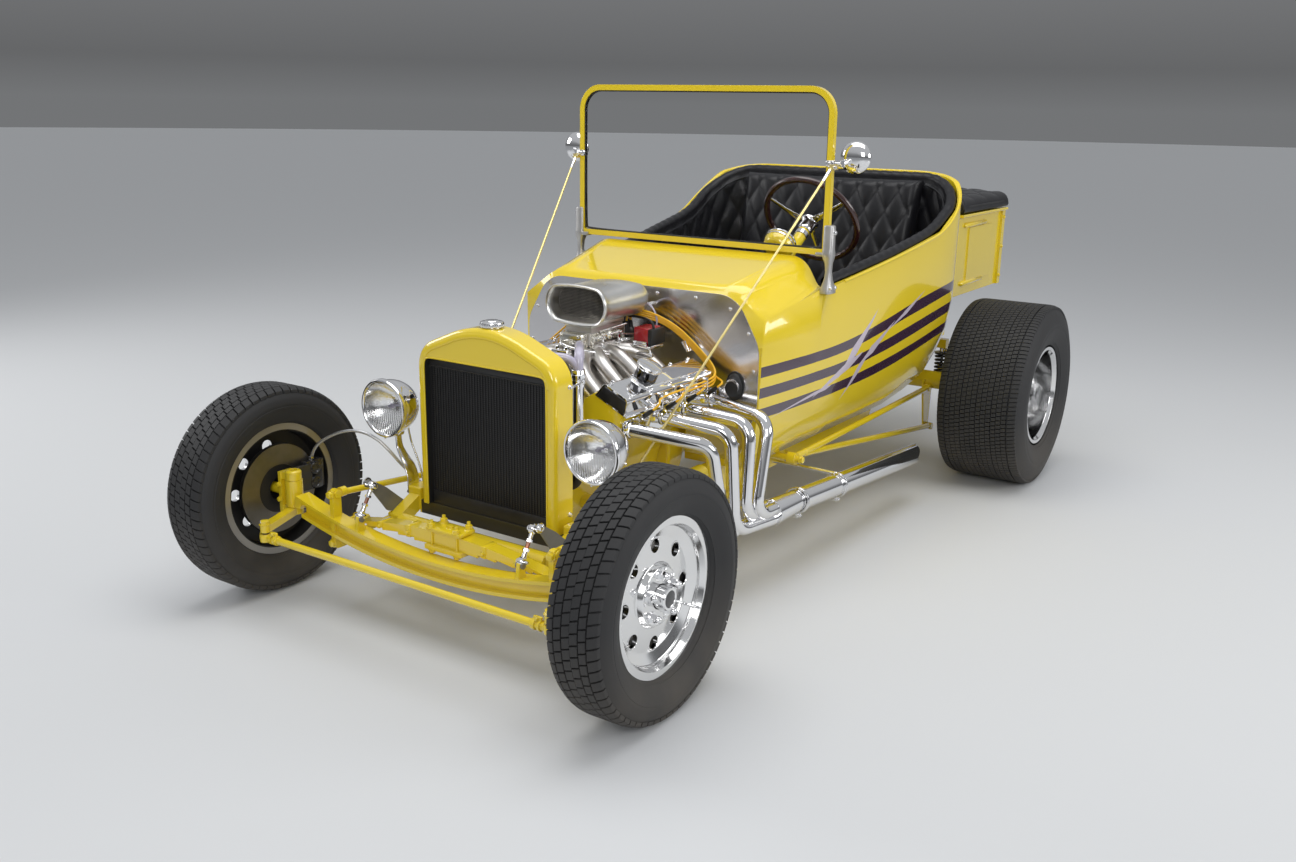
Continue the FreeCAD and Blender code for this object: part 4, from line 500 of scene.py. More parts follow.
# tyre section from the inner bead round to the outer one: across, radius
FRONT_SECTION = [(-0.045, 0.1905), (-0.051, 0.2001), (-0.0505, 0.2085), (-0.0587, 0.2125),
    (-0.0615, 0.2155), (-0.0635, 0.215), (-0.0664, 0.2225), (-0.0741, 0.2372), (-0.0798, 0.2491),
    (-0.0829, 0.2618), (-0.0835, 0.265), (-0.0826, 0.2665), (-0.0835, 0.2684), (-0.0833, 0.275),
    (-0.0809, 0.2879), (-0.0788, 0.2935), (-0.076, 0.2985), (-0.0709, 0.307), (-0.0631, 0.314),
    (-0.0486, 0.317), (-0.02, 0.3175)]
REAR_SECTION = [(-0.1465, 0.1905), (-0.1525, 0.2001), (-0.1525, 0.2085), (-0.1575, 0.215), (-0.16, 0.219),
    (-0.1618, 0.2195), (-0.1645, 0.229), (-0.17, 0.248), (-0.1742, 0.2687), (-0.1765, 0.283),
    (-0.176, 0.285), (-0.177, 0.287), (-0.1763, 0.3018), (-0.1727, 0.318), (-0.1673, 0.335),
    (-0.161, 0.348), (-0.1545, 0.357), (-0.144, 0.3615), (-0.1371, 0.363), (-0.05, 0.3632)]


def crown_radius(across, flat, edge, top, fall):
    """Outer radius of the tread at a place across it: flat, then rounded over the shoulder."""
    past = max(abs(across) - flat, 0) / (edge - flat)
    return top - fall * (1 - sqrt(max(1 - past * past, 0)))


def add_tread(mesh, centre, columns, crown, base_depth, pitch_count, skew, gap):
    """Tread blocks in columns of (from, to, phase) across; each block is a curved, bevelled pad."""
    pitch = 2 * pi / pitch_count
    for start, end, phase in columns:
        for number in range(pitch_count):
            angle = (number + phase) * pitch
            corners = []
            for along in (gap / 2, 1 - gap / 2):
                for across in (start, (start + end) / 2, end):
                    lean = skew * (across - (start + end) / 2) / 0.03
                    corners.append((across, angle + (along + lean) * pitch))
            loops = []
            for depth, shrink in ((base_depth, 1), (0.0012, 1), (0, 0.93)):
                middle = (sum(c[0] for c in corners) / 6, sum(c[1] for c in corners) / 6)
                ring = []
                for index in (0, 1, 2, 5, 4, 3):
                    across = middle[0] + (corners[index][0] - middle[0]) * shrink
                    turn = middle[1] + (corners[index][1] - middle[1]) * shrink
                    radius = crown_radius(across, *crown) - depth
                    ring.append(centre + Vector((across, radius * sin(turn), radius * cos(turn))))
                loops.append(ring)
            top = add_loops(mesh, loops, start=True)[-1]
            mesh.faces.new((top[0], top[1], top[4], top[5]))
            mesh.faces.new((top[1], top[2], top[3], top[4]))


FRONT_CROWN = (0.04, 0.078, 0.325, 0.02)
FRONT_COLUMNS = [(-0.0735, -0.049, 0.1), (-0.046, -0.0255, 0.55), (-0.0225, 0, 0), (0, 0.0225, 0.5),
    (0.0255, 0.046, 0.05), (0.049, 0.0735, 0.6)]
REAR_CROWN = (0.126, 0.166, 0.37, 0.018)
REAR_COLUMNS = [(-0.158, -0.128, 0)] + [(-0.124 + 0.0207 * column + 0.0012 * (column % 3 == 0),
    -0.1045 + 0.0207 * column, 0.37 * column) for column in range(12)] + [(0.128, 0.158, 0.3)]

tyre_rubber = finish("tyre_rubber", (0.02, 0.02, 0.021), 0.66, mottle=0.25, grain=0.00025, dust=0.45,
    scales=(9, 420), spread=0.1, slot="tyre")
for side, word in ((1, "left"), (-1, "right")):
    for end, axle, section, columns, crown, depth, pitches, skew, gap in (
            ("front", FRONT_AXLE, FRONT_SECTION, FRONT_COLUMNS, FRONT_CROWN, 0.0095, 68, 0.32, 0.13),
            ("rear", REAR_AXLE, REAR_SECTION, REAR_COLUMNS, REAR_CROWN, 0.0085, 132, 0.25, 0.16)):
        centre = Vector((side * axle.x, axle.y, axle.z))
        outline = section + [(-across, radius) for across, radius in reversed(section)]
        add_turned(mesh, outline, centre, LEFT, steps=128, closed=True)
        add_tread(mesh, centre, columns, crown, depth, pitches, skew * side, gap)
        make_piece(f"{end}_tyre_dressed_{word}", mesh, tyre_rubber, f"{end}_wheel_{word}", 30,
            [f"{end}_tyre_{word}"])


# ---- Wheels: polished and plated rims with their nuts, caps and valves
# Spun aluminium barrel and cast disc with eight round holes, buffed bright, on five plated nuts.
# The brake disc behind the front one is bare cast iron; inside each rim the barrel is painted near-black as
# painted shade.


def circle(angle, wide=1, high=None):
    """Point of a circle or oval round the origin, the angle in degrees."""
    turn = radians(angle)
    return wide * cos(turn), (wide if high is None else high) * sin(turn)


BOLT_CIRCLE = 0.05715
rim_metal = finish("buffed_rim_aluminium", (0.83, 0.83, 0.83), 0.1, 1.0, mottle=0.05, grain=0.00003,
    dust=0.12, scales=(14, 500), spread=0.05, slot="polished_wheel")
dress(rim_metal, "front_wheel_left", "front_wheel_right", "rear_wheel_left", "rear_wheel_right")
nut_chrome = finish("nut_chrome", (0.88, 0.88, 0.89), 0.05, 1.0, mottle=0.03, scales=(60, 600),
    slot="chrome")
cap_black = finish("cap_enamel", (0.02, 0.02, 0.022), 0.18, grain=0.00003, Coat_Weight=0.6,
    slot="black_plastic")
iron = finish("machined_iron", (0.24, 0.23, 0.22), 0.38, 1.0, mottle=0.3, grain=0.0001, dust=0.2,
    scales=(20, 700), slot="cast_steel")
for side, word in ((1, "left"), (-1, "right")):
    for end, axle, hub_x, cap_x, disc_x in (
            ("front", FRONT_AXLE, 0.034, 0.062, 0.004), ("rear", REAR_AXLE, -0.026, 0.03, -0.06)):
        body = f"{end}_wheel_{word}"
        centre = Vector((side * axle.x, axle.y, axle.z))
        out = Vector((side, 0, 0))
        for number in range(5):
            c, s = circle(72 * number + 18)
            spot = centre + Vector((0, side * c, s)) * BOLT_CIRCLE
            add_rod(mesh, spot + out * hub_x, spot + out * (hub_x + 0.003), 0.0165)
            add_rod(mesh, spot + out * hub_x, spot + out * (hub_x + 0.016), 0.0118, sides=6)
            add_turned(mesh, [(0.016, 0.0108), (0.024, 0.0085), (0.027, 0.0045), (0.0275, 0)],
                spot + out * hub_x, out, steps=20)
        add_turned(mesh, [(cap_x - 0.006, 0.03), (cap_x - 0.001, 0.0305), (cap_x + 0.002, 0.0285),
            (cap_x + 0.002, 0.0225), (cap_x, 0.0215), (cap_x - 0.006, 0.0215)], centre, out, steps=48,
            closed=True)
        make_piece(f"{end}_nuts_{word}", mesh, nut_chrome, body)
        add_turned(mesh, [(cap_x - 0.002, 0.0218), (cap_x + 0.0006, 0.0215), (cap_x + 0.0016, 0.012),
            (cap_x + 0.002, 0)], centre, out, steps=40)
        make_piece(f"{end}_cap_face_{word}", mesh, cap_black, body)
        # small bolt heads round the hub, and the valve in its hole; then an eyelet in each window
        for number in range(10):
            spot = centre + Vector((0, *circle(36 * number))) * 0.069 + out * (hub_x - 0.001)
            add_bolt(mesh, spot, out, 0.0062, 0.004, False)
        valve = centre + Vector((0, 0.15, -0.078)) + out * (disc_x + 0.018)
        add_rod(mesh, valve - out * 0.01, valve + out * 0.012, 0.0046, sides=16)
        add_rod(mesh, valve + out * 0.012, valve + out * 0.034, 0.003, sides=16)
        add_rod(mesh, valve + out * 0.022, valve + out * 0.036, 0.0042, 0.0038, sides=12)
        make_piece(f"{end}_valve_{word}", mesh, nut_chrome, body)
        for number in range(8):
            spot = centre + Vector((0, *circle(45 * number))) * 0.12954
            base = disc_x + 0.0105
            add_turned(mesh, [(base, 0.0182), (base + 0.0022, 0.0195), (base + 0.0024, 0.0215),
                (base + 0.0006, 0.023), (base - 0.0008, 0.0225)], spot, out, steps=32, closed=True)
        make_piece(f"{end}_eyelets_{word}", mesh, rim_metal, body)


# ---- Upholstery: diamond-stitched black leather over foam
# Quilted leather lines the cockpit and rolls over its rim, covers the bench and its back, and the
# lid over the bed. Each diamond is a soft pillow drawn down along the stitched lines.
leather = finish("black_leather", (0.009, 0.009, 0.011), 0.4, mottle=0.35, grain=0.00035, dust=0.05,
    scales=(5, 380), spread=0.12, Specular_IOR_Level=0.36, slot="trim")


def pillow(across, up, wide, high):
    """Rise of a diamond quilt at a place, from 0 on the stitching to 1 in a diamond's middle."""
    rise = 1.0
    for value in (across / wide + up / high, across / wide - up / high):
        rise *= 1 - abs(2 * (value % 1) - 1) ** 2.6
    return sqrt(max(rise, 0))


def add_sheet(mesh, columns, rows, spot, closed=False):
    """Grid of points spot(column, row), joined into quads; closed joins the last column on."""
    made = bmesh.ops.create_grid(mesh, x_segments=columns, y_segments=rows, size=1)
    order = sorted(made["verts"], key=lambda v: (round((v.co.y + 1) * rows), v.co.x))
    for index, vert in enumerate(order):
        row, column = divmod(index, columns + 1)
        vert.co = spot(column, row)
    if closed:
        bmesh.ops.remove_doubles(mesh, verts=made["verts"], dist=1e-6)


def arc_point(centre, radius, angle):
    """Point of a plan arc about a centre."""
    return (centre[0] + radius * cos(angle), centre[1] + radius * sin(angle))


# plan line of the liner's inner face on the left, from the cowl to the middle of the back
SIDE_LINE = [(0.458, 0.03), (0.476, 0.14), (0.49, 0.24), (0.502, 0.34), (0.513, 0.44), (0.522, 0.54),
    (0.53, 0.64), (0.537, 0.74), (0.5425, 0.84), (0.5445, 0.885)]
CORNER_LINE = [arc_point((0.388, 0.903), 0.1585, radians(step)) for step in range(0, 91, 10)]
HALF_LINE = SIDE_LINE + CORNER_LINE + [(0.25, 1.0615), (0.12, 1.0615)]
PLAN_LINE = HALF_LINE + [(0, 1.0615)] + [(-x, y) for x, y in reversed(HALF_LINE)]
# height of the padded rim's top along the car
RIM_LINE = [(0.03, 0.931), (0.2, 0.958), (0.4, 0.988), (0.6, 1.022), (0.72, 1.044), (0.8, 1.068),
    (0.88, 1.108), (0.96, 1.16), (1.02, 1.205), (1.0615, 1.236), (1.1, 1.256)]


def between(line, at):
    """Value of a broken line of (place, value) rows at a place."""
    for (x0, v0), (x1, v1) in zip(line, line[1:]):
        if at <= x1:
            return v0 + (v1 - v0) * max((at - x0) / (x1 - x0), 0)
    return line[-1][1]


runs = [0.0]
for first, second in zip(PLAN_LINE, PLAN_LINE[1:]):
    runs.append(runs[-1] + dist(first, second))


def plan_place(run):
    """Point of the plan line at a run along it, and the way into the cockpit there."""
    step = 0.03
    (x, y), (x0, y0), (x1, y1) = [[between(list(zip(runs, values)),
        at) for values in zip(*PLAN_LINE)] for at in (run, max(run - step, 0), min(run + step, runs[-1]))]
    away = Vector((y1 - y0, x0 - x1, 0)).normalized()
    inward = -away if away.dot(Vector((x, y - 0.5, 0))) > 0 else away
    return Vector((x, y, 0)), inward


LINER_COLUMNS, WALL_ROWS, ROLL_ROWS = 330, 60, 12
ROLL_RADIUS, ROLL_LIFT = 0.0215, 0.009
stations = [plan_place(runs[-1] * index / LINER_COLUMNS) for index in range(LINER_COLUMNS + 1)]


def liner_spot(column, row):
    """Point of the liner: up its quilted wall, then over the plain roll of its rim."""
    base, inward = stations[column]
    rim = between(RIM_LINE, base.y) + ROLL_LIFT
    low = 0.462 if base.y < 0.9 else 0.7
    wall_top = rim - ROLL_RADIUS - 0.012
    if row <= WALL_ROWS:
        z = low + (wall_top - low) * row / WALL_ROWS
        fade = min(1, (wall_top - z) / 0.02)
        rise = pillow(runs[-1] * column / LINER_COLUMNS - runs[-1] / 2, wall_top - z, 0.092, 0.168)
        below = max(0.76 - z, 0)
        lean = below * below * (0.48 + 1.0 * min(max(base.y, 0), 0.9))
        return base + inward * (0.001 + 0.013 * rise * fade + lean) + Vector((0, 0, z))
    turn = radians(200) * (row - WALL_ROWS) / ROLL_ROWS - radians(20)
    middle = base - inward * (ROLL_RADIUS - 0.003) + Vector((0, 0, rim - ROLL_RADIUS))
    ripple = 0.0012 * sin(runs[-1] * column / LINER_COLUMNS * 2 * pi / 0.046)
    reach = ROLL_RADIUS + ripple * sin(radians(180) * (row - WALL_ROWS) / ROLL_ROWS)
    return middle + inward * reach * cos(turn) + Vector((0, 0, reach * sin(turn)))


add_sheet(mesh, LINER_COLUMNS, WALL_ROWS + ROLL_ROWS, liner_spot)
# the roll's outer edge turns down inside the tub's wall
lining = make_piece("quilted_lining", mesh, leather, sharp=80, replaces=["cockpit_liner"])
add_tube(mesh, [base + inward * 0.006 + Vector((0, 0,
    between(RIM_LINE, base.y) - ROLL_RADIUS * 2 + 0.004)) for base, inward in stations[::6]], 0.0042,
    sides=3, detail=3)
make_piece("rim_welt", mesh, leather)
# yellow bead along the tub's own edge, outside the padded roll
tub = bmesh.new()
tub.from_mesh(frame["nodes"]["body_tub"].data)
tub_walls = BVHTree.FromBMesh(tub)
tub.free()


def tub_edge(base, inward):
    """Outer edge of the tub's rim beside a station of the lining."""
    hits = []
    for step in range(32):
        spot = base - inward * (0.018 + 0.002 * step)
        hit = tub_walls.ray_cast(Vector((spot.x, spot.y, 1.6)), Vector((0, 0, -1)))[0]
        if hit:
            hits.append(hit)
    top = max(hit.z for hit in hits)
    return [hit for hit in hits if hit.z > top - 0.007][-1] - Vector((0, 0, 0.0015))


edges = [tub_edge(*stations[index]) for index in range(3, LINER_COLUMNS - 2, 3)]
groups = [edges[max(index - 2, 0):index + 3] for index in range(len(edges))]
edges = [sum(group, Vector()) / len(group) for group in groups]
add_tube(mesh, edges, 0.0055, sides=4, detail=3)
make_piece("belt_bead", mesh, yellow_paint)


def add_pad(mesh, size, place, steps, crown, quilt, diamond, roll):
    """Crowned quilted pad of size, flat side at place: face, rounded rim and pulled-in sides."""
    columns, rows = steps

    def spot(column, row):
        s, t = column / columns * 2 - 1, row / rows * 2 - 1
        x = size[0] / 2 * s * (1 - 0.01 * (1 - t * t))
        y = size[1] / 2 * t * (1 - 0.01 * (1 - s * s))
        inset = min(size[0] / 2 * (1 - abs(s)), size[1] / 2 * (1 - abs(t)))
        short = max(roll - inset, 0)
        drop = roll - sqrt(max(roll * roll - short * short, 0))
        puff = quilt * pillow(x, y, *diamond) * min(1, inset / 0.03)
        return Vector((x, y, size[2] - drop + crown * (1 - s ** 4) * (1 - t ** 4) + puff))

    old = set(mesh.verts)
    add_sheet(mesh, columns, rows, spot)
    for level in (0.35, 0):
        rim = [edge for edge in mesh.edges if edge.is_boundary and edge.verts[0] not in old]
        made = bmesh.ops.extrude_edge_only(mesh, edges=rim)
        for item in made["geom"]:
            if isinstance(item, bmesh.types.BMVert):
                swell = 1 + (0.006 if level else -0.006)
                item.co = Vector((item.co.x * swell, item.co.y * swell, (size[2] - roll) * level))
    rim = [edge for edge in mesh.edges if edge.is_boundary and edge.verts[0] not in old]
    bmesh.ops.edgeloop_fill(mesh, edges=rim)
    bmesh.ops.transform(mesh, matrix=place, verts=[vert for vert in mesh.verts if vert not in old])


lid_low, lid_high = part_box("bed_lid")
lid_front = 1.1425
add_pad(mesh, (lid_high.x - lid_low.x, lid_high.y - lid_front, 0.052),
    Matrix.Translation((0, (lid_high.y + lid_front) / 2, lid_low.z)), (184, 96), 0.02, 0.01, (0.105, 0.15),
    0.024)
lid_pad = make_piece("quilted_lid", mesh, leather, "bed_lid", 80, ["bed_lid"])
edge_loop = [(-0.546, lid_front + 0.004), (0.546, lid_front + 0.004), (0.546, lid_high.y - 0.003),
    (-0.546, lid_high.y - 0.003)]
for height in (lid_low.z + 0.004, lid_low.z + 0.024):
    add_tube(mesh, [(x0 + (x1 - x0) * share, y0 + (y1 - y0) * share, height) for (x0, y0),
        (x1, y1) in zip(edge_loop, edge_loop[1:] + edge_loop[:1]) for share in (0.02, 0.3, 0.7, 0.98)],
        0.0035, detail=3, closed=True)
make_piece("lid_welt", mesh, leather, "bed_lid")
# plated lugs of the lid and the eyes that swing on the bed's pins
for side in (-1, 1):
    middle = side * 0.411
    add_block(mesh, (middle - 0.004, 1.1315, 1.129), (middle + 0.004, 1.172, 1.134), 0.001)
    add_rod(mesh, (middle - 0.004, 1.1315, 1.134), (middle + 0.004, 1.1315, 1.134), 0.0052)
    add_bolt(mesh, (middle, 1.162, 1.134), UP, 0.006, 0.003)
make_piece("lid_lugs", mesh, nut_chrome, "bed_lid")

add_pad(mesh, (0.965, 0.374, 0.118), Matrix.Translation((0, 0.687, 0.51)), (160, 66), 0.014, 0.01,
    (0.092, 0.125), 0.034)
cushion = make_piece("bench_cushion", mesh, leather, sharp=80, replaces=["seat"])
recline = atan2(0.57, 0.11)
add_pad(mesh, (0.8, 0.6, 0.052), Matrix.Translation((0, 0.998, 0.915)) @ Matrix.Rotation(recline, 4, "X"),
    (130, 96), 0.012, 0.011, (0.092, 0.168), 0.024)
bench_back = make_piece("bench_back", mesh, leather, sharp=80)
side_shape = [(0.925, 0.53), (0.932, 0.64), (1.02, 1.17), (1.046, 1.2), (1.052, 0.82), (0.995, 0.64),
    (0.965, 0.53)]
add_loops(mesh, [[(x, y, z) for y, z in side_shape] for x in (-0.385, 0.385)], True, True)
soften(mesh, mesh.edges[:], 0.009, 3)
carpet = finish("black_carpet", (0.018, 0.018, 0.019), 0.95, mottle=0.5, grain=0.0015, scales=(40, 700),
    Sheen_Weight=0.3, slot="trim")
make_piece("bench_shell", mesh, carpet)
# carpeted base under the bench and mats over floor and tunnel
for side in (-1, 1):
    add_block(mesh, (side * 0.104, 0.508, 0.368), (side * 0.44, 0.7, 0.512), 0.006)
    add_block(mesh, (side * 0.212, -0.385, 0.3655), (side * 0.395, 0.055, 0.3735), 0.003)
    add_block(mesh, (side * 0.094, 0.135, 0.3655), (side * 0.405, 0.5, 0.3735), 0.003)
make_piece("carpets", mesh, carpet)


# ---- Engine: valve covers, breather and manifold
# Pressed steel covers plated bright with black end panels, a plated breather on the left one whose can
# is darkened as a painted dark reflection, a sand-cast aluminium manifold and an oval brushed scoop with
# a thick rolled lip over wire mesh.
chrome = finish("chrome_plate", (0.85, 0.85, 0.86), 0.06, 1.0, mottle=0.04, grain=0.00001, dust=0.06,
    scales=(12, 300), spread=0.04, edge=0.0015, slot="chrome")
dress(chrome, "valve_covers", "side_pipes", "radiator_fittings")
satin_black = finish("satin_black", (0.012, 0.012, 0.013), 0.33, mottle=0.3, grain=0.0001, edge=0.0015,
    scales=(30, 500), slot="black_plastic")
cast_alloy = finish("cast_alloy", (0.62, 0.6, 0.58), 0.36, 1.0, mottle=0.12, grain=0.0003, edge=0.004,
    scales=(18, 300), spread=0.1, slot="cast_aluminium")
dress(cast_alloy, "intake")


def band(first, last, inner, outer):
    """Section of a plain ring for turning: from first to last along, inner to outer radius."""
    return [(first, inner), (first, outer), (last, outer), (last, inner)]


def flank(side, *points):
    """Points of the left side, moved over to the right one where side is -1."""
    return [(side * x, y, z) for x, y, z in points]


FRONT, BACK_END = -0.9615, -0.4905
MIDDLE = (FRONT + BACK_END) / 2


def slope_frame(side, y, along=0.0, lift=0.0):
    """Matrix on the top face of a valve cover: X down the slope, Y along the car, Z off it."""
    down = Vector((side * 0.905, 0, -0.425))
    off = Vector((side * 0.425, 0, 0.905))
    spot = Vector((side * 0.3055, y, 0.6965)) + down * along + off * lift
    columns = Matrix((down * side, AFT, off)).transposed()
    return Matrix.Translation(spot) @ columns.to_4x4()


for side in (-1, 1):
    # raised panel, the base flange, and the hold-down bolts
    add_placed_block(mesh, slope_frame(side, MIDDLE + (0.05 if side > 0 else 0), -0.004, 0.002),
        (0.058, 0.34 if side > 0 else 0.43, 0.008), 0.004)
    for row in (-0.04, 0.0345):
        for number in range(5):
            y = FRONT + 0.03 + number * 0.1025
            add_bolt(mesh, slope_frame(side, y, row, 0).translation, (side * 0.425, 0, 0.905), 0.009, 0.007)
    add_placed_block(mesh,
        Matrix.Translation((side * 0.3365, MIDDLE, 0.6235)) @ Matrix.Rotation(side * radians(12), 4,
        "Y") @ Matrix.Translation((0, 0, 0.0035)), (0.013, 0.474, 0.007), 0.002)
make_piece("cover_trim", mesh, chrome)
for side in (-1, 1):
    for y, way in ((FRONT, -1), (BACK_END, 1)):
        corners = [(0.332, 0.634), (0.3405, 0.672), (0.265, 0.7075), (0.238, 0.6755)]
        add_loops(mesh, [[(side * x, y - way * depth, z) for x, z in corners]
            for depth in (0.001, -0.0035)], True, True)
soften(mesh, mesh.edges[:], 0.0012)
make_piece("cover_end_panels", mesh, satin_black)
foot = Vector((0.288, -0.7985, 0.694))
way = Vector((0.42, 0, 0.91)).normalized()
for shape in ([(0.004, 0), (0.004, 0.025), (0.009, 0.0262), (0.01, 0.0355), (0.0135, 0.0355), (0.014, 0)],
        [(0.0475, 0), (0.0475, 0.035), (0.05, 0.0385), (0.0545, 0.0408), (0.06, 0.04), (0.063, 0.034),
        (0.0645, 0)]):
    add_turned(mesh, shape, foot, way, steps=56)
make_piece("breather", mesh, chrome)
# the can is plated like the covers; its colour is darkened as a painted dark reflection of the shaded
# surroundings
chrome_painted_dark_reflection = finish("chrome_painted_dark_reflection", (0.13, 0.13, 0.135), 0.1, 1.0, mottle=0.2, scales=(40, 300),
    slot="chrome")
add_turned(mesh, [(0.0138, 0), (0.0138, 0.0335), (0.015, 0.0345), (0.046, 0.0345), (0.0478, 0.0335),
    (0.0478, 0)], foot, way, steps=56)
make_piece("breather_can", mesh, chrome_painted_dark_reflection)
add_turned(mesh, band(0, 0.006, 0, 0.031), foot, way, steps=40)
make_piece("breather_grommet", mesh, satin_black)

# manifold: runner humps down to each head, a water neck, and a row of bolts
for side in (-1, 1):
    for number in range(4):
        y = -0.905 + number * 0.118
        add_tube(mesh, flank(side, (0.03, y * 0.3 - 0.656 * 0.7, 0.735),
            (0.085, y * 0.75 - 0.656 * 0.25, 0.742), (0.15, y, 0.7), (0.196, y, 0.662)), 0.0245, sides=4,
            detail=6)
        add_bolt(mesh, (side * 0.172, y + 0.045, 0.664), (side * 0.55, 0, 0.83), 0.012, 0.009)
add_block(mesh, (-0.062, -0.76, 0.7), (0.062, -0.555, 0.742), 0.012)
add_turned(mesh, [(0, 0), (0, 0.03), (0.02, 0.026), (0.05, 0.022), (0.055, 0.026), (0.06, 0.026),
    (0.062, 0)], (0, -0.905, 0.655), UP, steps=32)
make_piece("manifold_runners", mesh, cast_alloy)

# scoop: brushed oval duct with a rolled lip, a domed back and fine wire mesh inside
brushed = finish("brushed_scoop", (0.74, 0.735, 0.72), 0.3, 1.0, mottle=0.08, grain=0.00006,
    scales=(7, 500), spread=0.08, Anisotropic=0.5, slot="brushed_aluminium")
scoop_low, scoop_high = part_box("air_scoop")
middle_z = (scoop_low.z + scoop_high.z) / 2


def oval(half_wide, half_high, steps=72):
    """Points round an upright oval with flat top and bottom and full round ends, (x, z)."""
    points = []
    for number in range(steps):
        turn = 2 * pi * number / steps
        c, s = cos(turn), sin(turn)
        flat = half_wide - half_high * 0.94
        points.append((flat * max(-1, min(1, c * 2.2)) + half_high * 0.94 * c, half_high * s))
    return points


half_x, half_z = scoop_high.x, (scoop_high.z - scoop_low.z) / 2


def duct(rows):
    """Rings of the scoop: how far along from the lip, how far in from the full oval."""
    return [[(x, scoop_low.y + along, middle_z + z) for x, z in oval(half_x - inset, half_z - inset)]
        for along, inset in rows]


# along from the lip, how far the skin stands in from the full oval
SKIN = [(0.052, 0.0175), (0.026, 0.0155), (0.01, 0.0125), (0.002, 0.0075), (0, 0.0035), (0.003, 0.0005),
    (0.01, 0), (0.017, 0.002), (0.024, 0.007), (0.032, 0.0098), (0.05, 0.0105), (0.15, 0.01), (0.225, 0.01),
    (0.248, 0.013), (0.264, 0.02), (0.275, 0.031), (0.281, 0.046), (0.2828, 0.058)]
add_loops(mesh, duct(SKIN), end=True)
add_block(mesh, (-0.055, -0.745, 0.82), (0.055, -0.568, 0.838), 0.004)
make_piece("scoop_skin", mesh, brushed, sharp=50, replaces=["air_scoop"])
grid_y = scoop_low.y + 0.047
inner_x, inner_z = half_x - 0.017, half_z - 0.017
pitch = 0.0046
for number in range(-22, 23):
    x = number * pitch
    flat = inner_x - inner_z
    reach = inner_z if abs(x) < flat else sqrt(max(inner_z ** 2 - (abs(x) - flat) ** 2, 0))
    if reach > 0.003:
        add_rod(mesh, (x, grid_y, middle_z - reach), (x, grid_y, middle_z + reach), 0.0007, sides=4)
for number in range(-10, 11):
    z = number * pitch
    reach = inner_x - inner_z + sqrt(max(inner_z ** 2 - z * z, 0))
    add_rod(mesh, (-reach, grid_y + 0.001, middle_z + z), (reach, grid_y + 0.001, middle_z + z), 0.0007,
        sides=4)
wire = finish("mesh_wire", (0.3, 0.28, 0.25), 0.35, 1.0, mottle=0.2, scales=(40, 300),
    slot="brushed_aluminium")
make_piece("scoop_wire_mesh", mesh, wire)
# the duct's inside is closed off a short way behind the mesh in satin black: a dark sheet standing in for the
# shade inside the scoop
add_loops(mesh, duct(((0.052, 0.0175), (0.15, 0.02), (0.152, 0.055))), end=True)
make_piece("scoop_throat", mesh, satin_black)


# ---- Carburettor: bowls, linkage, springs and fuel line
# Bright zinc casting on the manifold: two float bowls held by screws, throttle levers and rods with
# pull-back springs on the left, a fuel log in front and short hard lines.
zinc = finish("bright_zinc", (0.7, 0.68, 0.62), 0.22, 1.0, mottle=0.15, grain=0.00015, edge=0.0015,
    scales=(30, 400), spread=0.1, slot="cast_aluminium")
for shape in (((-0.056, -0.738, 0.742), (0.056, -0.566, 0.768), 0.005),
        ((-0.044, -0.786, 0.757), (0.044, -0.744, 0.806), 0.008),
        ((-0.05, -0.744, 0.768), (0.05, -0.56, 0.806), 0.006),
        ((-0.044, -0.562, 0.76), (0.044, -0.548, 0.802), 0.005)):
    add_block(mesh, *shape)
for x in (-0.034, 0.034):
    for z in (0.766, 0.797):
        add_bolt(mesh, (x, -0.786, z), FORE, 0.007, 0.004)
for y, z, radius in ((-0.712, 0.787, 0.012), (-0.655, 0.79, 0.016), (-0.6, 0.786, 0.012)):
    add_turned(mesh, [(0, 0), (0, radius), (0.01, radius), (0.014, radius * 0.7), (0.016, 0)], (0.05, y, z),
        LEFT, steps=28)
    add_turned(mesh, [(0, 0), (0, radius), (0.008, radius), (0.01, radius * 0.7), (0.011, 0)],
        (-0.05, y, z), (-1, 0, 0), steps=28)
for y in (-0.735, -0.573):
    for x in (-0.052, 0.052):
        add_rod(mesh, (x, y, 0.742), (x, y, 0.789), 0.0035, sides=12)
        add_bolt(mesh, (x, y, 0.768), UP, 0.01, 0.007)
make_piece("carburettor_castings", mesh, zinc)
add_rod(mesh, (-0.07, -0.7, 0.757), (0.072, -0.7, 0.757), 0.0042, sides=16)
add_rod(mesh, (-0.07, -0.612, 0.757), (0.072, -0.612, 0.757), 0.0042, sides=16)
for y in (-0.7, -0.612):
    add_block(mesh, (0.064, y - 0.006, 0.752), (0.0665, y + 0.006, 0.8), 0.001)
    add_bolt(mesh, (0.0665, y, 0.757), LEFT, 0.009, 0.004)
    add_rod(mesh, (0.06, y, 0.796), (0.078, y, 0.796), 0.003, sides=12)
for shape in (((0.072, -0.7, 0.796), (0.072, -0.612, 0.796), 0.0028),
        ((0.074, -0.612, 0.788), (0.08, -0.505, 0.772), 0.0028),
        ((0.076, -0.735, 0.812), (0.076, -0.59, 0.818), 0.0032)):
    add_rod(mesh, *shape, sides=12)
for start, end in (((0.068, -0.748, 0.79), (0.078, -0.7, 0.788)),
        ((0.068, -0.56, 0.762), (0.076, -0.612, 0.768))):
    turns, pull = 9, dist(start, end)
    coil = [line_frame(start, end) @ Vector((*circle(45 * step, 0.0048),
        pull * step / (turns * 8))) for step in range(turns * 8 + 1)]
    add_tube(mesh, coil, 0.0009, sides=1, detail=2)
add_tube(mesh, [(0.058, -0.7165, 0.742), (0.082, -0.73, 0.752), (0.088, -0.69, 0.742), (0.07, -0.66, 0.73),
    (0.058, -0.64, 0.742)], 0.0032, detail=6)
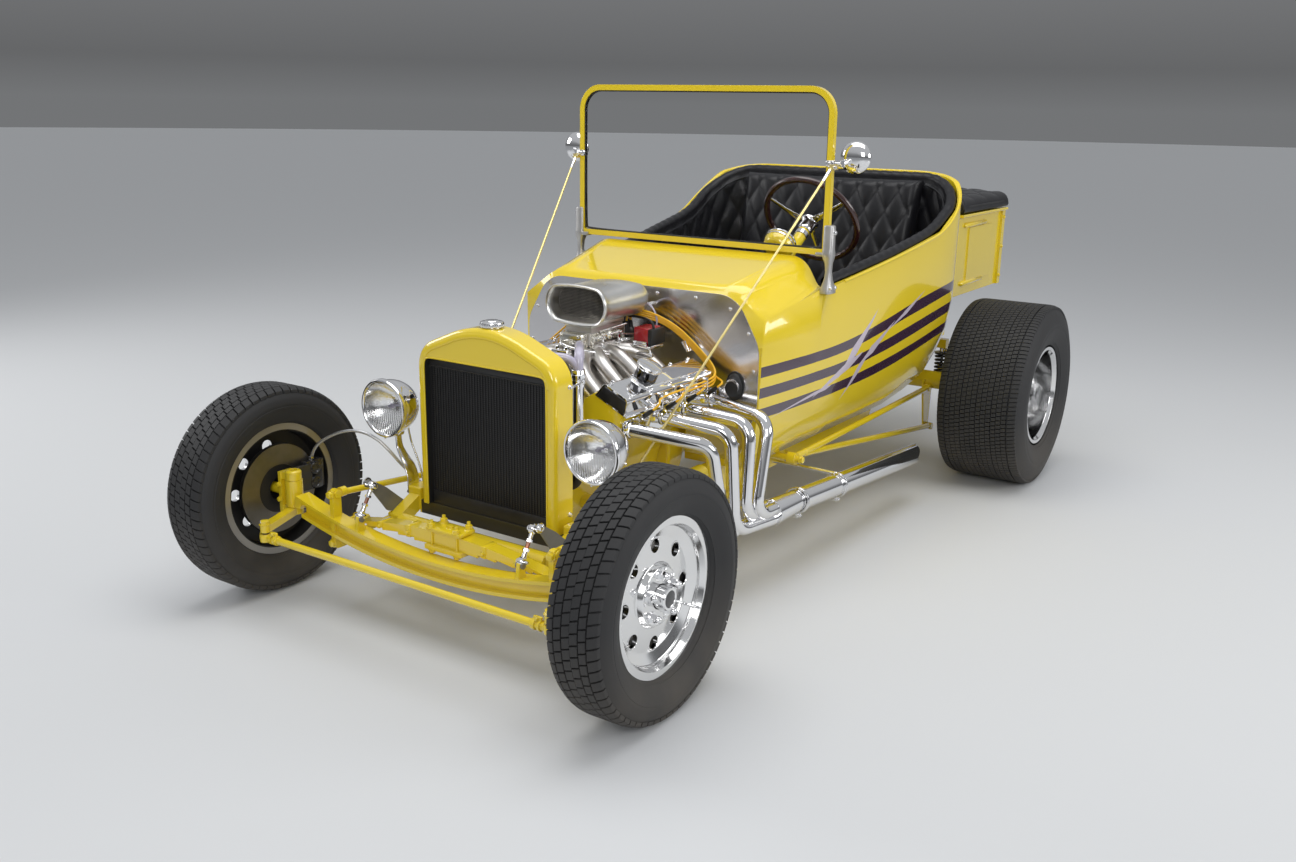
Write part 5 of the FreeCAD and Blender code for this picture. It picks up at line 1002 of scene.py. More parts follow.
add_tube(mesh, [(-0.02, -0.786, 0.78), (-0.024, -0.815, 0.782), (0.02, -0.822, 0.77), (0.066, -0.8, 0.76),
    (0.084, -0.76, 0.752), (0.09, -0.7, 0.736)], 0.0045, detail=8)
add_block(mesh, (-0.03, -0.842, 0.742), (0.03, -0.812, 0.762), 0.003)
for x in (-0.018, 0.018):
    add_bolt(mesh, (x, -0.827, 0.762), UP, 0.011, 0.009)
add_rod(mesh, (0, -0.827, 0.7), (0, -0.827, 0.745), 0.006, sides=16)
make_piece("throttle_linkage", mesh, nut_chrome)


# ---- Ignition: distributor, coil and plug leads
# Black moulded cap on an alloy body behind the carburettor, a red coil on a plated bracket, and
# yellow silicone leads that run down the back of each head and forward under its cover.
red_coil = finish("red_coil", (0.36, 0.012, 0.018), 0.25, mottle=0.12, grain=0.0001, edge=0.002,
    scales=(30, 300), Coat_Weight=0.4)
cap_moulding = finish("black_moulding", (0.012, 0.012, 0.012), 0.38, mottle=0.3, grain=0.0002,
    scales=(40, 500), slot="black_plastic")
lead_rubber = finish("yellow_leads", (0.84, 0.46, 0.008), 0.34, mottle=0.15, grain=0.0001, scales=(30, 400))
distributor = Vector((0, -0.5075, 0))
add_turned(mesh, [(0.63, 0), (0.63, 0.026), (0.69, 0.026), (0.694, 0.034), (0.7, 0.034), (0.704, 0.026),
    (0.735, 0.029), (0.748, 0.042), (0.757, 0.043), (0.757, 0)], distributor, UP, steps=40)
make_piece("distributor_body", mesh, cast_alloy, replaces=["ignition"])
add_turned(mesh, [(0.757, 0), (0.757, 0.0455), (0.766, 0.046), (0.782, 0.0435), (0.79, 0.0385), (0.792, 0)],
    distributor, UP, steps=48)
TOWERS = [distributor + Vector((*circle(angle, 0.031), 0.79)) for angle in range(22, 382, 45)]
for spot in TOWERS + [distributor + Vector((0, 0, 0.79))]:
    add_turned(mesh, [(0, 0), (0, 0.0088), (0.012, 0.0076), (0.013, 0.0064), (0.02, 0.0062),
        (0.022, 0.0045), (0.022, 0)], spot, UP, steps=18)
add_block(mesh, (0.15, -0.574, 0.754), (0.166, -0.495, 0.804), 0.003)
add_tube(mesh, [(0.158, -0.552, 0.802), (0.158, -0.552, 0.822), (0.13, -0.548, 0.834),
    (0.06, -0.525, 0.832), (0.01, -0.5075, 0.826), (0, -0.5075, 0.806)], 0.0042, detail=8)
make_piece("distributor_cap", mesh, cap_moulding)
add_block(mesh, (0.094, -0.573, 0.756), (0.151, -0.496, 0.805), 0.005)
for number in range(5):
    y = -0.566 + number * 0.0158
    add_block(mesh, (0.092, y, 0.758), (0.149, y + 0.004, 0.8065), 0.001)
make_piece("coil_can", mesh, red_coil)
add_block(mesh, (0.052, -0.594, 0.742), (0.17, -0.51, 0.7535), 0.003)
add_block(mesh, (0.09, -0.59, 0.716), (0.176, -0.574, 0.732), 0.004)
add_rod(mesh, (0.092, -0.582, 0.724), (0.092, -0.582, 0.745), 0.004)
add_rod(mesh, (0.165, -0.582, 0.724), (0.165, -0.582, 0.745), 0.004)
for y in (-0.575, -0.494):
    add_block(mesh, (0.096, y - 0.004, 0.752), (0.148, y, 0.764), 0.001)
    add_bolt(mesh, (0.1, y - 0.004, 0.758), FORE, 0.007, 0.003)
make_piece("coil_bracket", mesh, chrome)

PLUGS = (-0.872, -0.748, -0.63, -0.508)
mesh_leads, mesh_boots, mesh_looms = bmesh.new(), bmesh.new(), bmesh.new()
for side in (-1, 1):
    order = sorted(range(8), key=lambda number: -side * TOWERS[number].x)[:4]
    order.sort(key=lambda number: TOWERS[number].y)
    for lane, (number, plug_y) in enumerate(zip(order, PLUGS)):
        tower = TOWERS[number] + Vector((0, 0, 0.018))
        end = Vector((side * 0.345, plug_y, 0.613))
        away = Vector((side * 0.8, 0, 0.6)).normalized()
        high = 0.852 - 0.01 * lane
        spread = 0.0115 * (lane - 1.5)
        route = [tower, tower + Vector((0, 0, 0.028)), (side * 0.06, -0.492 + spread * 0.6, high),
            (side * 0.12, -0.468 + spread, high - 0.012), (side * 0.2, -0.456 + spread * 0.6,
            0.785 - spread), (side * 0.29, -0.458 + spread * 0.4, 0.716 - spread),
            (side * 0.345, -0.47, 0.672 - spread * 0.8)]
        if plug_y < -0.52:
            run_z = 0.662 - 0.0095 * lane
            route += [(side * 0.362, -0.505, run_z), (side * (0.362 + 0.003 * (lane % 2)),
                (plug_y - 0.52) / 2, run_z), (side * 0.366, plug_y + 0.045, run_z - 0.001)]
        route += [end + away * 0.058 + Vector((0, 0.012, 0.006)), end + away * 0.042, end + away * 0.03]
        add_tube(mesh_leads, route, 0.0034, sides=3, detail=8)
        add_turned(mesh_boots, [(-0.006, 0), (-0.006, 0.0072), (0.02, 0.0072), (0.026, 0.0062),
            (0.036, 0.0056), (0.038, 0.0045), (0.038, 0)], end, away, steps=20)
        add_turned(mesh_looms, [(-0.014, 0), (-0.014, 0.0105), (-0.008, 0.0105), (-0.007, 0.0085),
            (-0.003, 0.0085), (-0.003, 0)], end, away, steps=6)
    for y in (-0.56, -0.69, -0.815):
        add_block(mesh_looms, (side * 0.352, y - 0.0022, 0.628), (side * 0.372, y + 0.0022, 0.676), 0.0015)
        add_rod(mesh_looms, (side * 0.334, y, 0.632), (side * 0.356, y, 0.634), 0.003, sides=12)
    add_block(mesh_looms, (side * 0.205, -0.472, 0.738), (side * 0.245, -0.44, 0.744), 0.002,
        Matrix.Rotation(side * 0.9, 4, "Y"))
make_piece("plug_leads", mesh_leads, lead_rubber)
make_piece("plug_boots", mesh_boots, cap_moulding)
make_piece("lead_looms", mesh_looms, nut_chrome)


# ---- Engine castings' small parts
# Bolt heads on the heads, pan and timing cover, plated pulleys with a rubber belt, and core plugs.
for side in (-1, 1):
    for number in range(7):
        y = FRONT + 0.022 + number * 0.071
        add_bolt(mesh, (side * 0.322, y, 0.585 + 0.03 * (number % 2)), (side, 0, 0.1), 0.012, 0.008)
        add_bolt(mesh, (side * 0.124, y, 0.302), (side, 0, 0), 0.01, 0.007)
    for z in (0.3, 0.36, 0.43, 0.5):
        add_bolt(mesh, (side * (0.086 if z < 0.45 else 0.06), -0.999, z), FORE, 0.011, 0.008)
    for number in range(3):
        add_turned(mesh, [(0, 0), (0, 0.021), (0.003, 0.021), (0.001, 0.016), (0.001, 0)],
            (side * 0.142, -0.86 + number * 0.15, 0.43), (side, 0, 0.05), steps=28)
make_piece("engine_bolts", mesh, yellow_paint)
for height, radius, front in ((0.38, 0.086, -1.058), (0.52, 0.076, -1.074)):
    add_turned(mesh, [(0, 0.018), (0.004, radius * 0.84), (0, radius), (0.003, radius + 0.002),
        (0.01, radius - 0.004), (0.012, radius - 0.004), (0.02, radius + 0.002), (0.024, radius),
        (0.024, 0.018)], (0, front, height), AFT, steps=56, closed=True)
    add_bolt(mesh, (0, front + 0.002, height), FORE, 0.022, 0.012)
    for angle in range(45, 360, 90):
        x, z = circle(angle, 0.03)
        add_bolt(mesh, (x, front + 0.003, height + z), FORE, 0.01, 0.006)
make_piece("pulleys", mesh, chrome)
ring = [(x, height + z) for height, radius, start in ((0.38, 0.0865, 180), (0.52, 0.0765, 0))
    for x, z in [circle(angle, radius) for angle in range(start, start + 181, 15)]]
loops = [[(x * scale, y, 0.45 + (z - 0.45) * scale) for x, z in ring]
    for y, scale in ((-1.064, 0.975), (-1.066, 1.03), (-1.054, 1.03), (-1.056, 0.975))]
add_loops(mesh, loops + [loops[0]])
bmesh.ops.remove_doubles(mesh, verts=mesh.verts, dist=1e-6)
make_piece("fan_belt", mesh, cap_moulding)


# ---- Radiator: black finned core in a pressed steel shell
# The shell is one pressing: a raised rim arches over a set-back face, with a rolled bead round its
# window. The soldered core behind is sprayed black, and the plated cap screws down on its neck.
core_black = finish("core_black", (0.017, 0.017, 0.018), 0.4, mottle=0.5, grain=0.0001, dust=0.25,
    scales=(40, 600), spread=0.1, slot="core_black")
dress(core_black, "radiator_core")
shell_face, core_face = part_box("radiator_shell")[0].y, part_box("radiator_core")[0].y
for number in range(43):
    x = -0.2205 + 0.0105 * number
    add_block(mesh, (x - 0.0011, core_face - 0.003, 0.35), (x + 0.0011, core_face, 0.742))
for number in range(62):
    z = 0.356 + 0.0062 * number
    add_block(mesh, (-0.2255, core_face - 0.0018, z), (0.2255, core_face, z + 0.0008))
for low, high in ((0.3095, 0.352), (0.742, 0.7655)):
    add_block(mesh, (-0.2285, core_face - 0.0045, low), (0.2285, core_face, high), 0.0018)
add_tube(mesh, [(0.0114 * step, core_face - 0.004,
    0.741 + 0.0016 * sin(step * 2.3)) for step in range(-20, 21)], 0.003, sides=2, detail=2)
make_piece("core_fins", mesh, core_black)


def arch_point(inset):
    """Points of the shell's outline moved in, from the left shoulder to the middle: x, z, way out."""
    rows = [((0.172, 0.736), 0.09 - inset, step) for step in range(0, 68, 6)]
    rows += [((0, 0.543), 0.334 - inset, step) for step in range(68, 91, 3)]
    points = []
    for (cx, cz), radius, step in rows:
        c, s = circle(step)
        points.append((cx + radius * c, cz + radius * s, c, s))
    return points + [(-x, z, -out_x, out_z) for x, z, out_x, out_z in reversed(points[:-1])]


# out from the raised rim's inner line, and how far it stands off the face
RIM_RISE = [(0, -0.0006), (0.001, 0.0016), (0.003, 0.0027), (0.007, 0.0028), (0.012, 0.0019),
    (0.017, 0.0001), (0.0215, -0.0022)]
arch = arch_point(0.03)
add_sheet(mesh, len(arch) - 1, len(RIM_RISE) - 1, lambda c,
    r: Vector((arch[c][0] + arch[c][2] * RIM_RISE[r][0], shell_face - RIM_RISE[r][1],
    arch[c][1] + arch[c][3] * RIM_RISE[r][0])))
window = [(0.2325, 0.312), (0.2325, 0.5), (0.2325, 0.715), (0.2325, 0.748), (0.226, 0.764), (0.21, 0.769),
    (0.17, 0.769)]
add_tube(mesh, [(x, shell_face - 0.0004, z) for x, z in window]
    + [(-x, shell_face - 0.0004, z) for x, z in reversed(window)], 0.003, sides=3)
make_piece("shell_rim", mesh, yellow_paint, sharp=70)

for side in (-1, 1):
    for z in (0.36, 0.545, 0.735):
        add_bolt(mesh, (side * 0.2615, shell_face + 0.066, z), (side, 0, 0), 0.01, 0.007)
    add_rod(mesh, (side * 0.268, shell_face + 0.073, 0.735), (side * 0.2495, shell_face + 0.14, 0.735),
        0.0035)
# cap: knurled edge, low dome, on a rolled neck
add_turned(mesh, [(0.8765, 0), (0.8765, 0.0265), (0.8795, 0.027), (0.88, 0.0345), (0.888, 0.0352),
    (0.8925, 0.0338), (0.8948, 0.029), (0.8955, 0.021), (0.8975, 0.019), (0.898, 0.006), (0.898, 0)],
    (0, shell_face + 0.044, 0), UP, steps=64)
for number in range(40):
    turn = 2 * pi * number / 40
    spot = Vector((0.0349 * cos(turn), shell_face + 0.044 + 0.0349 * sin(turn), 0.8815))
    add_rod(mesh, spot, spot + Vector((0, 0, 0.0065)), 0.0011, sides=6)
# coolant riser: plated tube with a sleeve and worm clamps at its ends, and a bracket ring
RISER = (0.232, -1.0445, 0)
add_turned(mesh, [(0.47, 0.015), (0.47, 0.0168), (0.728, 0.0168), (0.73, 0.0195), (0.766, 0.0195),
    (0.768, 0.018), (0.768, 0.015)], RISER, UP, steps=40, closed=True)
for low in (0.474, 0.56, 0.728, 0.744):
    add_turned(mesh, band(low, low + 0.01, 0.0166, 0.0212), RISER, UP, steps=40, closed=True)
make_piece("radiator_brightwork", mesh, chrome, replaces=["radiator_fittings"])

# hoses: clear lilac silicone above, black rubber below, each pushed on and clamped
hose_clear = finish("silicone_hose", (0.6, 0.57, 0.7), 0.22, mottle=0.08, grain=0.00008, scales=(20, 200),
    Transmission_Weight=0.25, Coat_Weight=0.4)
rubber = finish("black_rubber", (0.016, 0.016, 0.017), 0.5, mottle=0.3, grain=0.0001, scales=(25, 400),
    slot="black_plastic")
add_tube(mesh, [(0.232, -1.0445, 0.758), (0.232, -1.044, 0.79), (0.222, -1.028, 0.812),
    (0.19, -0.985, 0.812), (0.135, -0.915, 0.806), (0.104, -0.872, 0.795), (0.096, -0.8575, 0.752),
    (0.096, -0.8575, 0.69)], 0.014, sides=5, detail=8)
add_tube(mesh, [(0.23, -1.046, 0.772), (0.218, -1.058, 0.8), (0.18, -1.082, 0.806), (0.14, -1.1, 0.8),
    (0.135, -1.112, 0.792)], 0.0115, sides=5, detail=8)
make_piece("upper_hoses", mesh, hose_clear)
add_tube(mesh, [(0.232, -1.0445, 0.486), (0.232, -1.0445, 0.445), (0.224, -1.052, 0.424),
    (0.2, -1.068, 0.42), (0.172, -1.085, 0.42), (0.172, -1.1005, 0.42)], 0.0155, sides=5, detail=8)
make_piece("lower_hose", mesh, rubber)


# ---- Headlamps: plated buckets with a fluted lens over a bright bowl
# Spun steel buckets with a clamped rim ring; glass lens pressed with flutes, aluminised bowl and a
# bulb inside. Each one stands on a polished flat stand that twists down to the frame rail.
def add_strap(mesh, rows, thick):
    """Flat bar bent along a line of (x, y, z, half width), its width lying along the car."""
    points = [Vector(row[:3]) for row in rows]
    loops = []
    for index, point in enumerate(points):
        way = (points[min(index + 1, len(points) - 1)] - points[max(index - 1, 0)]).normalized()
        across = way.cross(Vector(AFT)).normalized()
        loop = []
        for step in range(16):
            c, s = circle(22.5 * step)
            wide = rows[index][3] * copysign(abs(c) ** 0.5, c)
            loop.append(point + Vector((0, wide, 0)) + across * thick * copysign(abs(s) ** 0.8, s))
        loops.append(loop)
    add_loops(mesh, loops, True, True)


def smooth_rows(rows, steps=6):
    """Rows of numbers with more rows between them, along a smooth curve through all of them."""
    made = []
    for index in range(len(rows) - 1):
        a, b = rows[max(index - 1, 0)], rows[index]
        c, d = rows[index + 1], rows[min(index + 2, len(rows) - 1)]
        for step in range(steps):
            t = step / steps
            made.append(tuple(0.5 * (2 * q + (r - p) * t + (2 * p - 5 * q + 4 * r - s) * t * t + (3 * q - p
                - 3 * r + s) * t ** 3) for p, q, r, s in zip(a, b, c, d)))
    return made + [rows[-1]]


BOWL = [(0.004, 0.0805), (0.014, 0.076), (0.028, 0.066), (0.042, 0.052), (0.054, 0.036), (0.061, 0.02),
    (0.063, 0.008), (0.063, 0)]
BUCKET = [(0.004, 0.0805), (-0.0005, 0.082), (-0.0035, 0.085), (-0.003, 0.0895), (0.0005, 0.0918),
    (0.012, 0.092), (0.015, 0.0905), (0.0158, 0.0872), (0.032, 0.0862), (0.048, 0.0838), (0.066, 0.0785),
    (0.084, 0.069), (0.099, 0.056), (0.111, 0.04), (0.119, 0.022), (0.1215, 0.009), (0.122, 0)]
LENS = [(-0.0058, 0), (-0.0052, 0.022), (-0.0036, 0.044), (-0.001, 0.064), (0.0015, 0.077), (0.003, 0.0812),
    (0.0048, 0.0806), (0.0036, 0.076), (0.0012, 0.064), (-0.0014, 0.044), (-0.003, 0.022), (-0.0036, 0)]
stand_alloy = finish("polished_alloy", (0.74, 0.74, 0.75), 0.16, 1.0, mottle=0.1, grain=0.00005,
    scales=(20, 300), spread=0.07, edge=0.002, slot="polished_aluminium")
bright_bowl = finish("aluminised_bowl", (0.93, 0.93, 0.93), 0.12, 1.0, mottle=0.03, slot="chrome")
lens_glass = finish("fluted_glass", (1.0, 1.0, 1.0), 0.03, mottle=0.0, Transmission_Weight=1.0, IOR=1.45,
    slot="lens")
tree = lens_glass.node_tree
x, y, z = axes(tree)
upright = x.work("SINE", x * 760) * (z < 0.59)
level = z.work("SINE", z * 900) * 0.35
flutes = add_node(tree, "Bump", Strength=0.7, Distance=0.0008)
tree.links.new((upright + level).socket, flutes.inputs["Height"])
link(tree, flutes, "Normal", tree.nodes["Principled BSDF"], "Normal")
lamps, stands, bowls, lenses, bulbs = [bmesh.new() for _ in range(5)]
for side in (-1, 1):
    face = Vector((side * 0.397, -1.2065, 0.587))
    back = Vector(AFT)
    add_turned(lamps, BUCKET, face, back, steps=72)
    add_turned(bowls, BOWL, face, back, steps=64)
    add_turned(lenses, LENS, face, back, steps=64)
    add_turned(bulbs, [(0.026, 0), (0.028, 0.005), (0.034, 0.0078), (0.042, 0.007), (0.05, 0.0046),
        (0.063, 0.0044)], face, back, steps=20)
    # clamp screw of the rim ring, the seam's rivets, and the ball stud under the bucket
    add_rod(lamps, face + Vector((0, 0.004, -0.093)), face + Vector((0, 0.015, -0.093)), 0.0035)
    add_bolt(lamps, face + Vector((side * 0.078, 0.052, -0.028)), (side, 0.1, -0.4), 0.006, 0.004, False)
    add_turned(stands, [(0.49, 0), (0.49, 0.011), (0.4935, 0.0165), (0.5, 0.0178), (0.506, 0.0165),
        (0.512, 0.0125), (0.522, 0.011), (0.522, 0)], (face.x, face.y + 0.062, 0), UP, steps=32)
    add_strap(stands, smooth_rows([(side * x, y, z, wide) for x, y, z,
        wide in ((0.397, -1.1445, 0.5, 0.012), (0.3985, -1.1445, 0.478, 0.012),
        (0.3935, -1.1445, 0.45, 0.014), (0.376, -1.1455, 0.424, 0.018), (0.352, -1.1475, 0.398, 0.022),
        (0.337, -1.15, 0.364, 0.024), (0.3345, -1.1515, 0.33, 0.023), (0.3345, -1.1515, 0.304, 0.017))]),
        0.0042)
    for y in (-1.1625, -1.1405):
        add_bolt(stands, (side * 0.338, y, 0.321), (side, 0, 0), 0.012, 0.008)
    add_tube(stands, flank(side, (0.397, -1.105, 0.52), (0.396, -1.1, 0.47), (0.365, -1.102, 0.415),
        (0.34, -1.108, 0.37), (0.331, -1.11, 0.33)), 0.0032, sides=2)
make_piece("lamp_buckets", lamps, chrome, replaces=["headlamps"])
make_piece("lamp_stands", stands, stand_alloy)
make_piece("lamp_bowls", bowls, bright_bowl)
make_piece("lamp_bulbs", bulbs, hose_clear)
make_piece("lamp_glass", lenses, lens_glass, replaces=["headlamp_lenses"])


# ---- Front axle, spring and steering: forged and machined steel, painted over
# Everything bolts up: clamped leaf spring with rebound clips, shackles, threaded clevises, eyes
# with rubber boots, and friction dampers of grey plate on plated ball-ended links.
SPRING_Y, SPRING_BOW, TIE_ROD_Y = -1.3415, 1.7856, -1.5595
fasteners, bright = bmesh.new(), bmesh.new()
for x in (-0.048, 0.048):
    for y in (-0.0255, 0.0255):
        add_bolt(fasteners, (x, SPRING_Y + y, 0.3245), UP, 0.019, 0.013)
        add_rod(fasteners, (x, SPRING_Y + y, 0.325), (x, SPRING_Y + y, 0.3475), 0.0052)
        add_bolt(fasteners, (x, SPRING_Y + y, 0.2595), (0, 0, -1), 0.017, 0.01)
add_block(fasteners, (-0.066, -1.3745, 0.317), (0.066, -1.3085, 0.3262), 0.0025)
add_rod(fasteners, (0, SPRING_Y, 0.325), (0, SPRING_Y, 0.333), 0.009)
for side in (-1, 1):
    # rebound clips round the leaves
    for x, drop, tall in ((0.145, 0.0062, 0.036), (0.262, 0.0195, 0.02)):
        spin = Matrix.Rotation(side * asin(x / SPRING_BOW), 4, "Y")
        add_block(fasteners, (side * x - 0.009, -1.3668, 0.3155 - drop - tall),
            (side * x + 0.009, -1.3162, 0.3155 - drop), 0.002, spin)
        add_bolt(fasteners, (side * x, -1.3668, 0.3115 - drop - tall / 2), FORE, 0.01, 0.006)
    for x, z, reach in ((0.385, 0.265, 0.0345), (0.42, 0.262, 0.0345)):
        for way in (-1, 1):
            add_bolt(fasteners, (side * x, SPRING_Y + way * reach, z), (0, way, 0), 0.018, 0.01)
            add_turned(fasteners, band(0, 0.0035, 0.0075, 0.0145), (side * x, SPRING_Y + way * 0.031, z),
                (0, way, 0), steps=28, closed=True)
    # clevis bolts of the hairpins, and grease nipple on the kingpin
    for z in (0.358, 0.205):
        add_bolt(fasteners, (side * 0.4205, -1.407, z), FORE, 0.02, 0.011)
        add_turned(fasteners, [(0, 0.0095), (0, 0.015), (0.02, 0.015), (0.023, 0.012), (0.023, 0.0095)],
            (side * 0.4195, -1.374, z), AFT, steps=28, closed=True)
    for x, y, z in ((0.362, -0.4915, 0.3), (0.4915, -0.1295, 0.326)):
        add_bolt(fasteners, (side * x, y, z), (side, 0, 0), 0.022, 0.012)
    for y, z in ((-1.2515, 0.2725), (-0.8785, 0.33), (-0.8785, 0.27), (0.08, 0.272), (0.08, 0.32),
            (-0.43, 0.325), (0.45, 0.325)):
        add_bolt(fasteners, (side * 0.33, y, z), (side, 0, 0), 0.015, 0.008)
    add_rod(fasteners, (side * 0.605, -1.3915, 0.3925), (side * 0.605, -1.3915, 0.398), 0.005)
    # friction dampers: pivot stack, tip, link with ball ends
    tip, foot, out = [Vector(spot)
        for spot in flank(side, (0.309, -1.3455, 0.392), (0.309, -1.3935, 0.312), LEFT)]
    for place, reach in (
            (Vector((side * 0.3385, -1.2155, 0.292)), 0.01), (Vector((side * 0.33, -1.3425, 0.398)), 0.007)):
        add_turned(bright, band(-0.001, 0.003, 0, 0.015), place, (side, 0, 0), steps=28)
        add_bolt(bright, place + Vector((side * 0.003, 0, 0)), (side, 0, 0), 0.015, reach)
    way = (foot - tip).normalized()
    for end, inward in ((tip, way), (foot, -way)):
        add_turned(bright, [(-0.0085, 0.0055), (-0.0085, 0.0115), (-0.005, 0.0145), (0.005, 0.0145),
            (0.0085, 0.0115), (0.0085, 0.0055)], end, LEFT, steps=28, closed=True)
        add_rod(bright, end + inward * 0.012, end + inward * 0.036, 0.0072, 0.006)
        add_rod(bright, end + inward * 0.03, end + inward * 0.037, 0.0095, sides=6)
        add_rod(bright, end - out * 0.014, end + out * 0.022, 0.0045)
        add_bolt(bright, end - out * 0.009, -out, 0.013, 0.007)
make_piece("axle_fasteners", fasteners, yellow_paint)
smoothed("axle_forging", "front_axle", yellow_paint, 12)
make_piece("damper_links", bright, nut_chrome)
damper_grey = finish("damper_plate", (0.2, 0.195, 0.18), 0.45, 0.3, mottle=0.2, grain=0.00012, dust=0.2,
    scales=(30, 350), spread=0.1, edge=0.0012)
copper = finish("copper_link", (0.36, 0.15, 0.09), 0.35, 1.0, mottle=0.3, grain=0.0001, scales=(60, 500))
dress(damper_grey, "friction_dampers")
dress(yellow_paint, "steering_box", "drop_arm")
for side in (-1, 1):
    add_rod(mesh, (side * 0.309, -1.362, 0.364), (side * 0.309, -1.378, 0.338), 0.0058, sides=6)
make_piece("link_middles", mesh, copper)
for side, word in ((1, "left"), (-1, "right")):
    knuckle = f"knuckle_{word}"
    add_turned(mesh, [(0.3895, 0.0247), (0.3935, 0.0245), (0.397, 0.0218), (0.3985, 0.0175),
        (0.3985, 0.0122), (0.3895, 0.0122)], (side * 0.605, -1.3915, 0), UP, steps=40, closed=True)
    for z in (0.303, 0.35):
        add_bolt(mesh, (side * 0.643, -1.415, z), FORE, 0.014, 0.009)
    make_piece(f"knuckle_cap_{word}", mesh, yellow_paint, knuckle)
    # castle nuts on the ball studs, each with its split pin
    for x, y, z, owner in (
            (0.539, TIE_ROD_Y, 0.2822, "tie_rod" if side > 0 else knuckle),
            (0.523, -1.2715, 0.3902, "drag_link")):
        if side < 0 and owner == "drag_link":
            continue
        add_bolt(mesh, (side * x, y, z), UP, 0.0245, 0.013)
        add_rod(mesh, (side * x - 0.015, y, z + 0.0105), (side * x + 0.015, y, z + 0.0105), 0.0014, sides=8)
        make_piece(f"castle_nut_{owner}_{word}", mesh, yellow_paint, owner)
    add_turned(mesh, [(-0.0065, 0.0085), (-0.0065, 0.013), (-0.0045, 0.0145), (-0.001, 0.012),
        (0.0035, 0.0105), (0.0045, 0.0085)], (side * 0.539, TIE_ROD_Y, 0.2552), UP, steps=28, closed=True)
    make_piece(f"ball_boot_{word}", mesh, rubber, "tie_rod")
    for way in (-1, 1):
        x = side * (0.5 + 0.0085 * way)
        add_turned(mesh, band(-0.004, 0.004, 0.0108, 0.015), (x, TIE_ROD_Y, 0.243), LEFT, steps=28,
            closed=True)
    add_block(mesh, (side * 0.5 - 0.013, -1.564, 0.2555), (side * 0.5 + 0.013, -1.555, 0.2665), 0.002)
    add_bolt(mesh, (side * 0.5, -1.564, 0.261), FORE, 0.01, 0.006)
    add_turned(mesh, band(0, 0.012, 0.0108, 0.0135), (side * 0.478, TIE_ROD_Y, 0.243), (side, 0, 0),
        steps=6, closed=True)
    add_turned(mesh, [(-0.014, 0), (-0.014, 0.012), (-0.012, 0.0165), (-0.01, 0.0175), (0.009, 0.0175),
        (0.011, 0.016)], (side * 0.539, TIE_ROD_Y, 0.243), UP, steps=36)
    make_piece(f"tie_rod_end_{word}", mesh, yellow_paint, "tie_rod")


# ---- Brakes and wheel backs: cast iron discs, black calipers, braided hoses, painted shade in the rims
# The rims are left rough behind their polished faces, and inside each barrel, inboard of the face, they
# are painted near-black as painted shade. Steel-braided hoses arch from the frame rails to the calipers,
# held by a fitting at each end.


for end, axle, disc_x in (("front", FRONT_AXLE, 0.7225), ("rear", REAR_AXLE, 0.7235)):
    rim, x, y, z = variant(rim_metal, f"{end}_rim_aluminium")
    dy, dz = y - axle.y, z - axle.z
    reach = x.work("SQRT", dy * dy + dz * dz)
    second_look(rim, abs(x) < disc_x - 0.02, Base_Color=(0.42, 0.41, 0.4), Roughness=0.42, Metallic=0.9)
    # the inside of the barrel inboard of the face is painted near-black: painted shade inside the wheel
    second_look(rim, (abs(x) < disc_x) * (reach < 0.1875), Base_Color=(0.03, 0.029, 0.028), Roughness=0.45,
        Metallic=0.5)
    dress(rim, f"{end}_wheel_left", f"{end}_wheel_right")
knuckle_paint, x, y, z = variant(yellow_paint, "knuckle_paint")
second_look(knuckle_paint, (abs(x) > 0.6365) * (y > -1.366), Base_Color=(0.018, 0.018, 0.02), Roughness=0.4,
    Metallic=0.0)
dress(knuckle_paint, "knuckle_left", "knuckle_right")
# the inside of the radiator's window and the beam under its core are painted near-black: painted shade in the
# recess behind the shell and under the core
for name, node, limits in (
        ("shell_paint_with_painted_shade", "radiator_shell", (0.2335, -1.1885, 1, 0.7695)),
        ("frame_paint_with_painted_shade", "frame", (0.279, -1.176, -1.1095, 0.3095))):
    paint, x, y, z = variant(yellow_paint, name)
    held = (abs(x) < limits[0]) * (y > limits[1]) * (y < limits[2]) * (z < limits[3])
    # near-black painted shade where the mask is 1
    second_look(paint, held, Base_Color=(0.017, 0.017, 0.018), Roughness=0.4, Metallic=0.0)
    dress(paint, node)
braid = finish("braided_steel", (0.72, 0.72, 0.73), 0.3, 1.0, mottle=0.35, grain=0.0006, scales=(700, 900),
    spread=0.12, slot="braid")
HOSE = [(0.333, -1.0915, 0.318), (0.354, -1.0925, 0.322), (0.373, -1.112, 0.352), (0.385, -1.152, 0.398),
    (0.403, -1.179, 0.444), (0.441, -1.197, 0.484), (0.497, -1.215, 0.503), (0.556, -1.236, 0.495),
    (0.615, -1.258, 0.464), (0.652, -1.271, 0.43), (0.662, -1.2735, 0.392)]
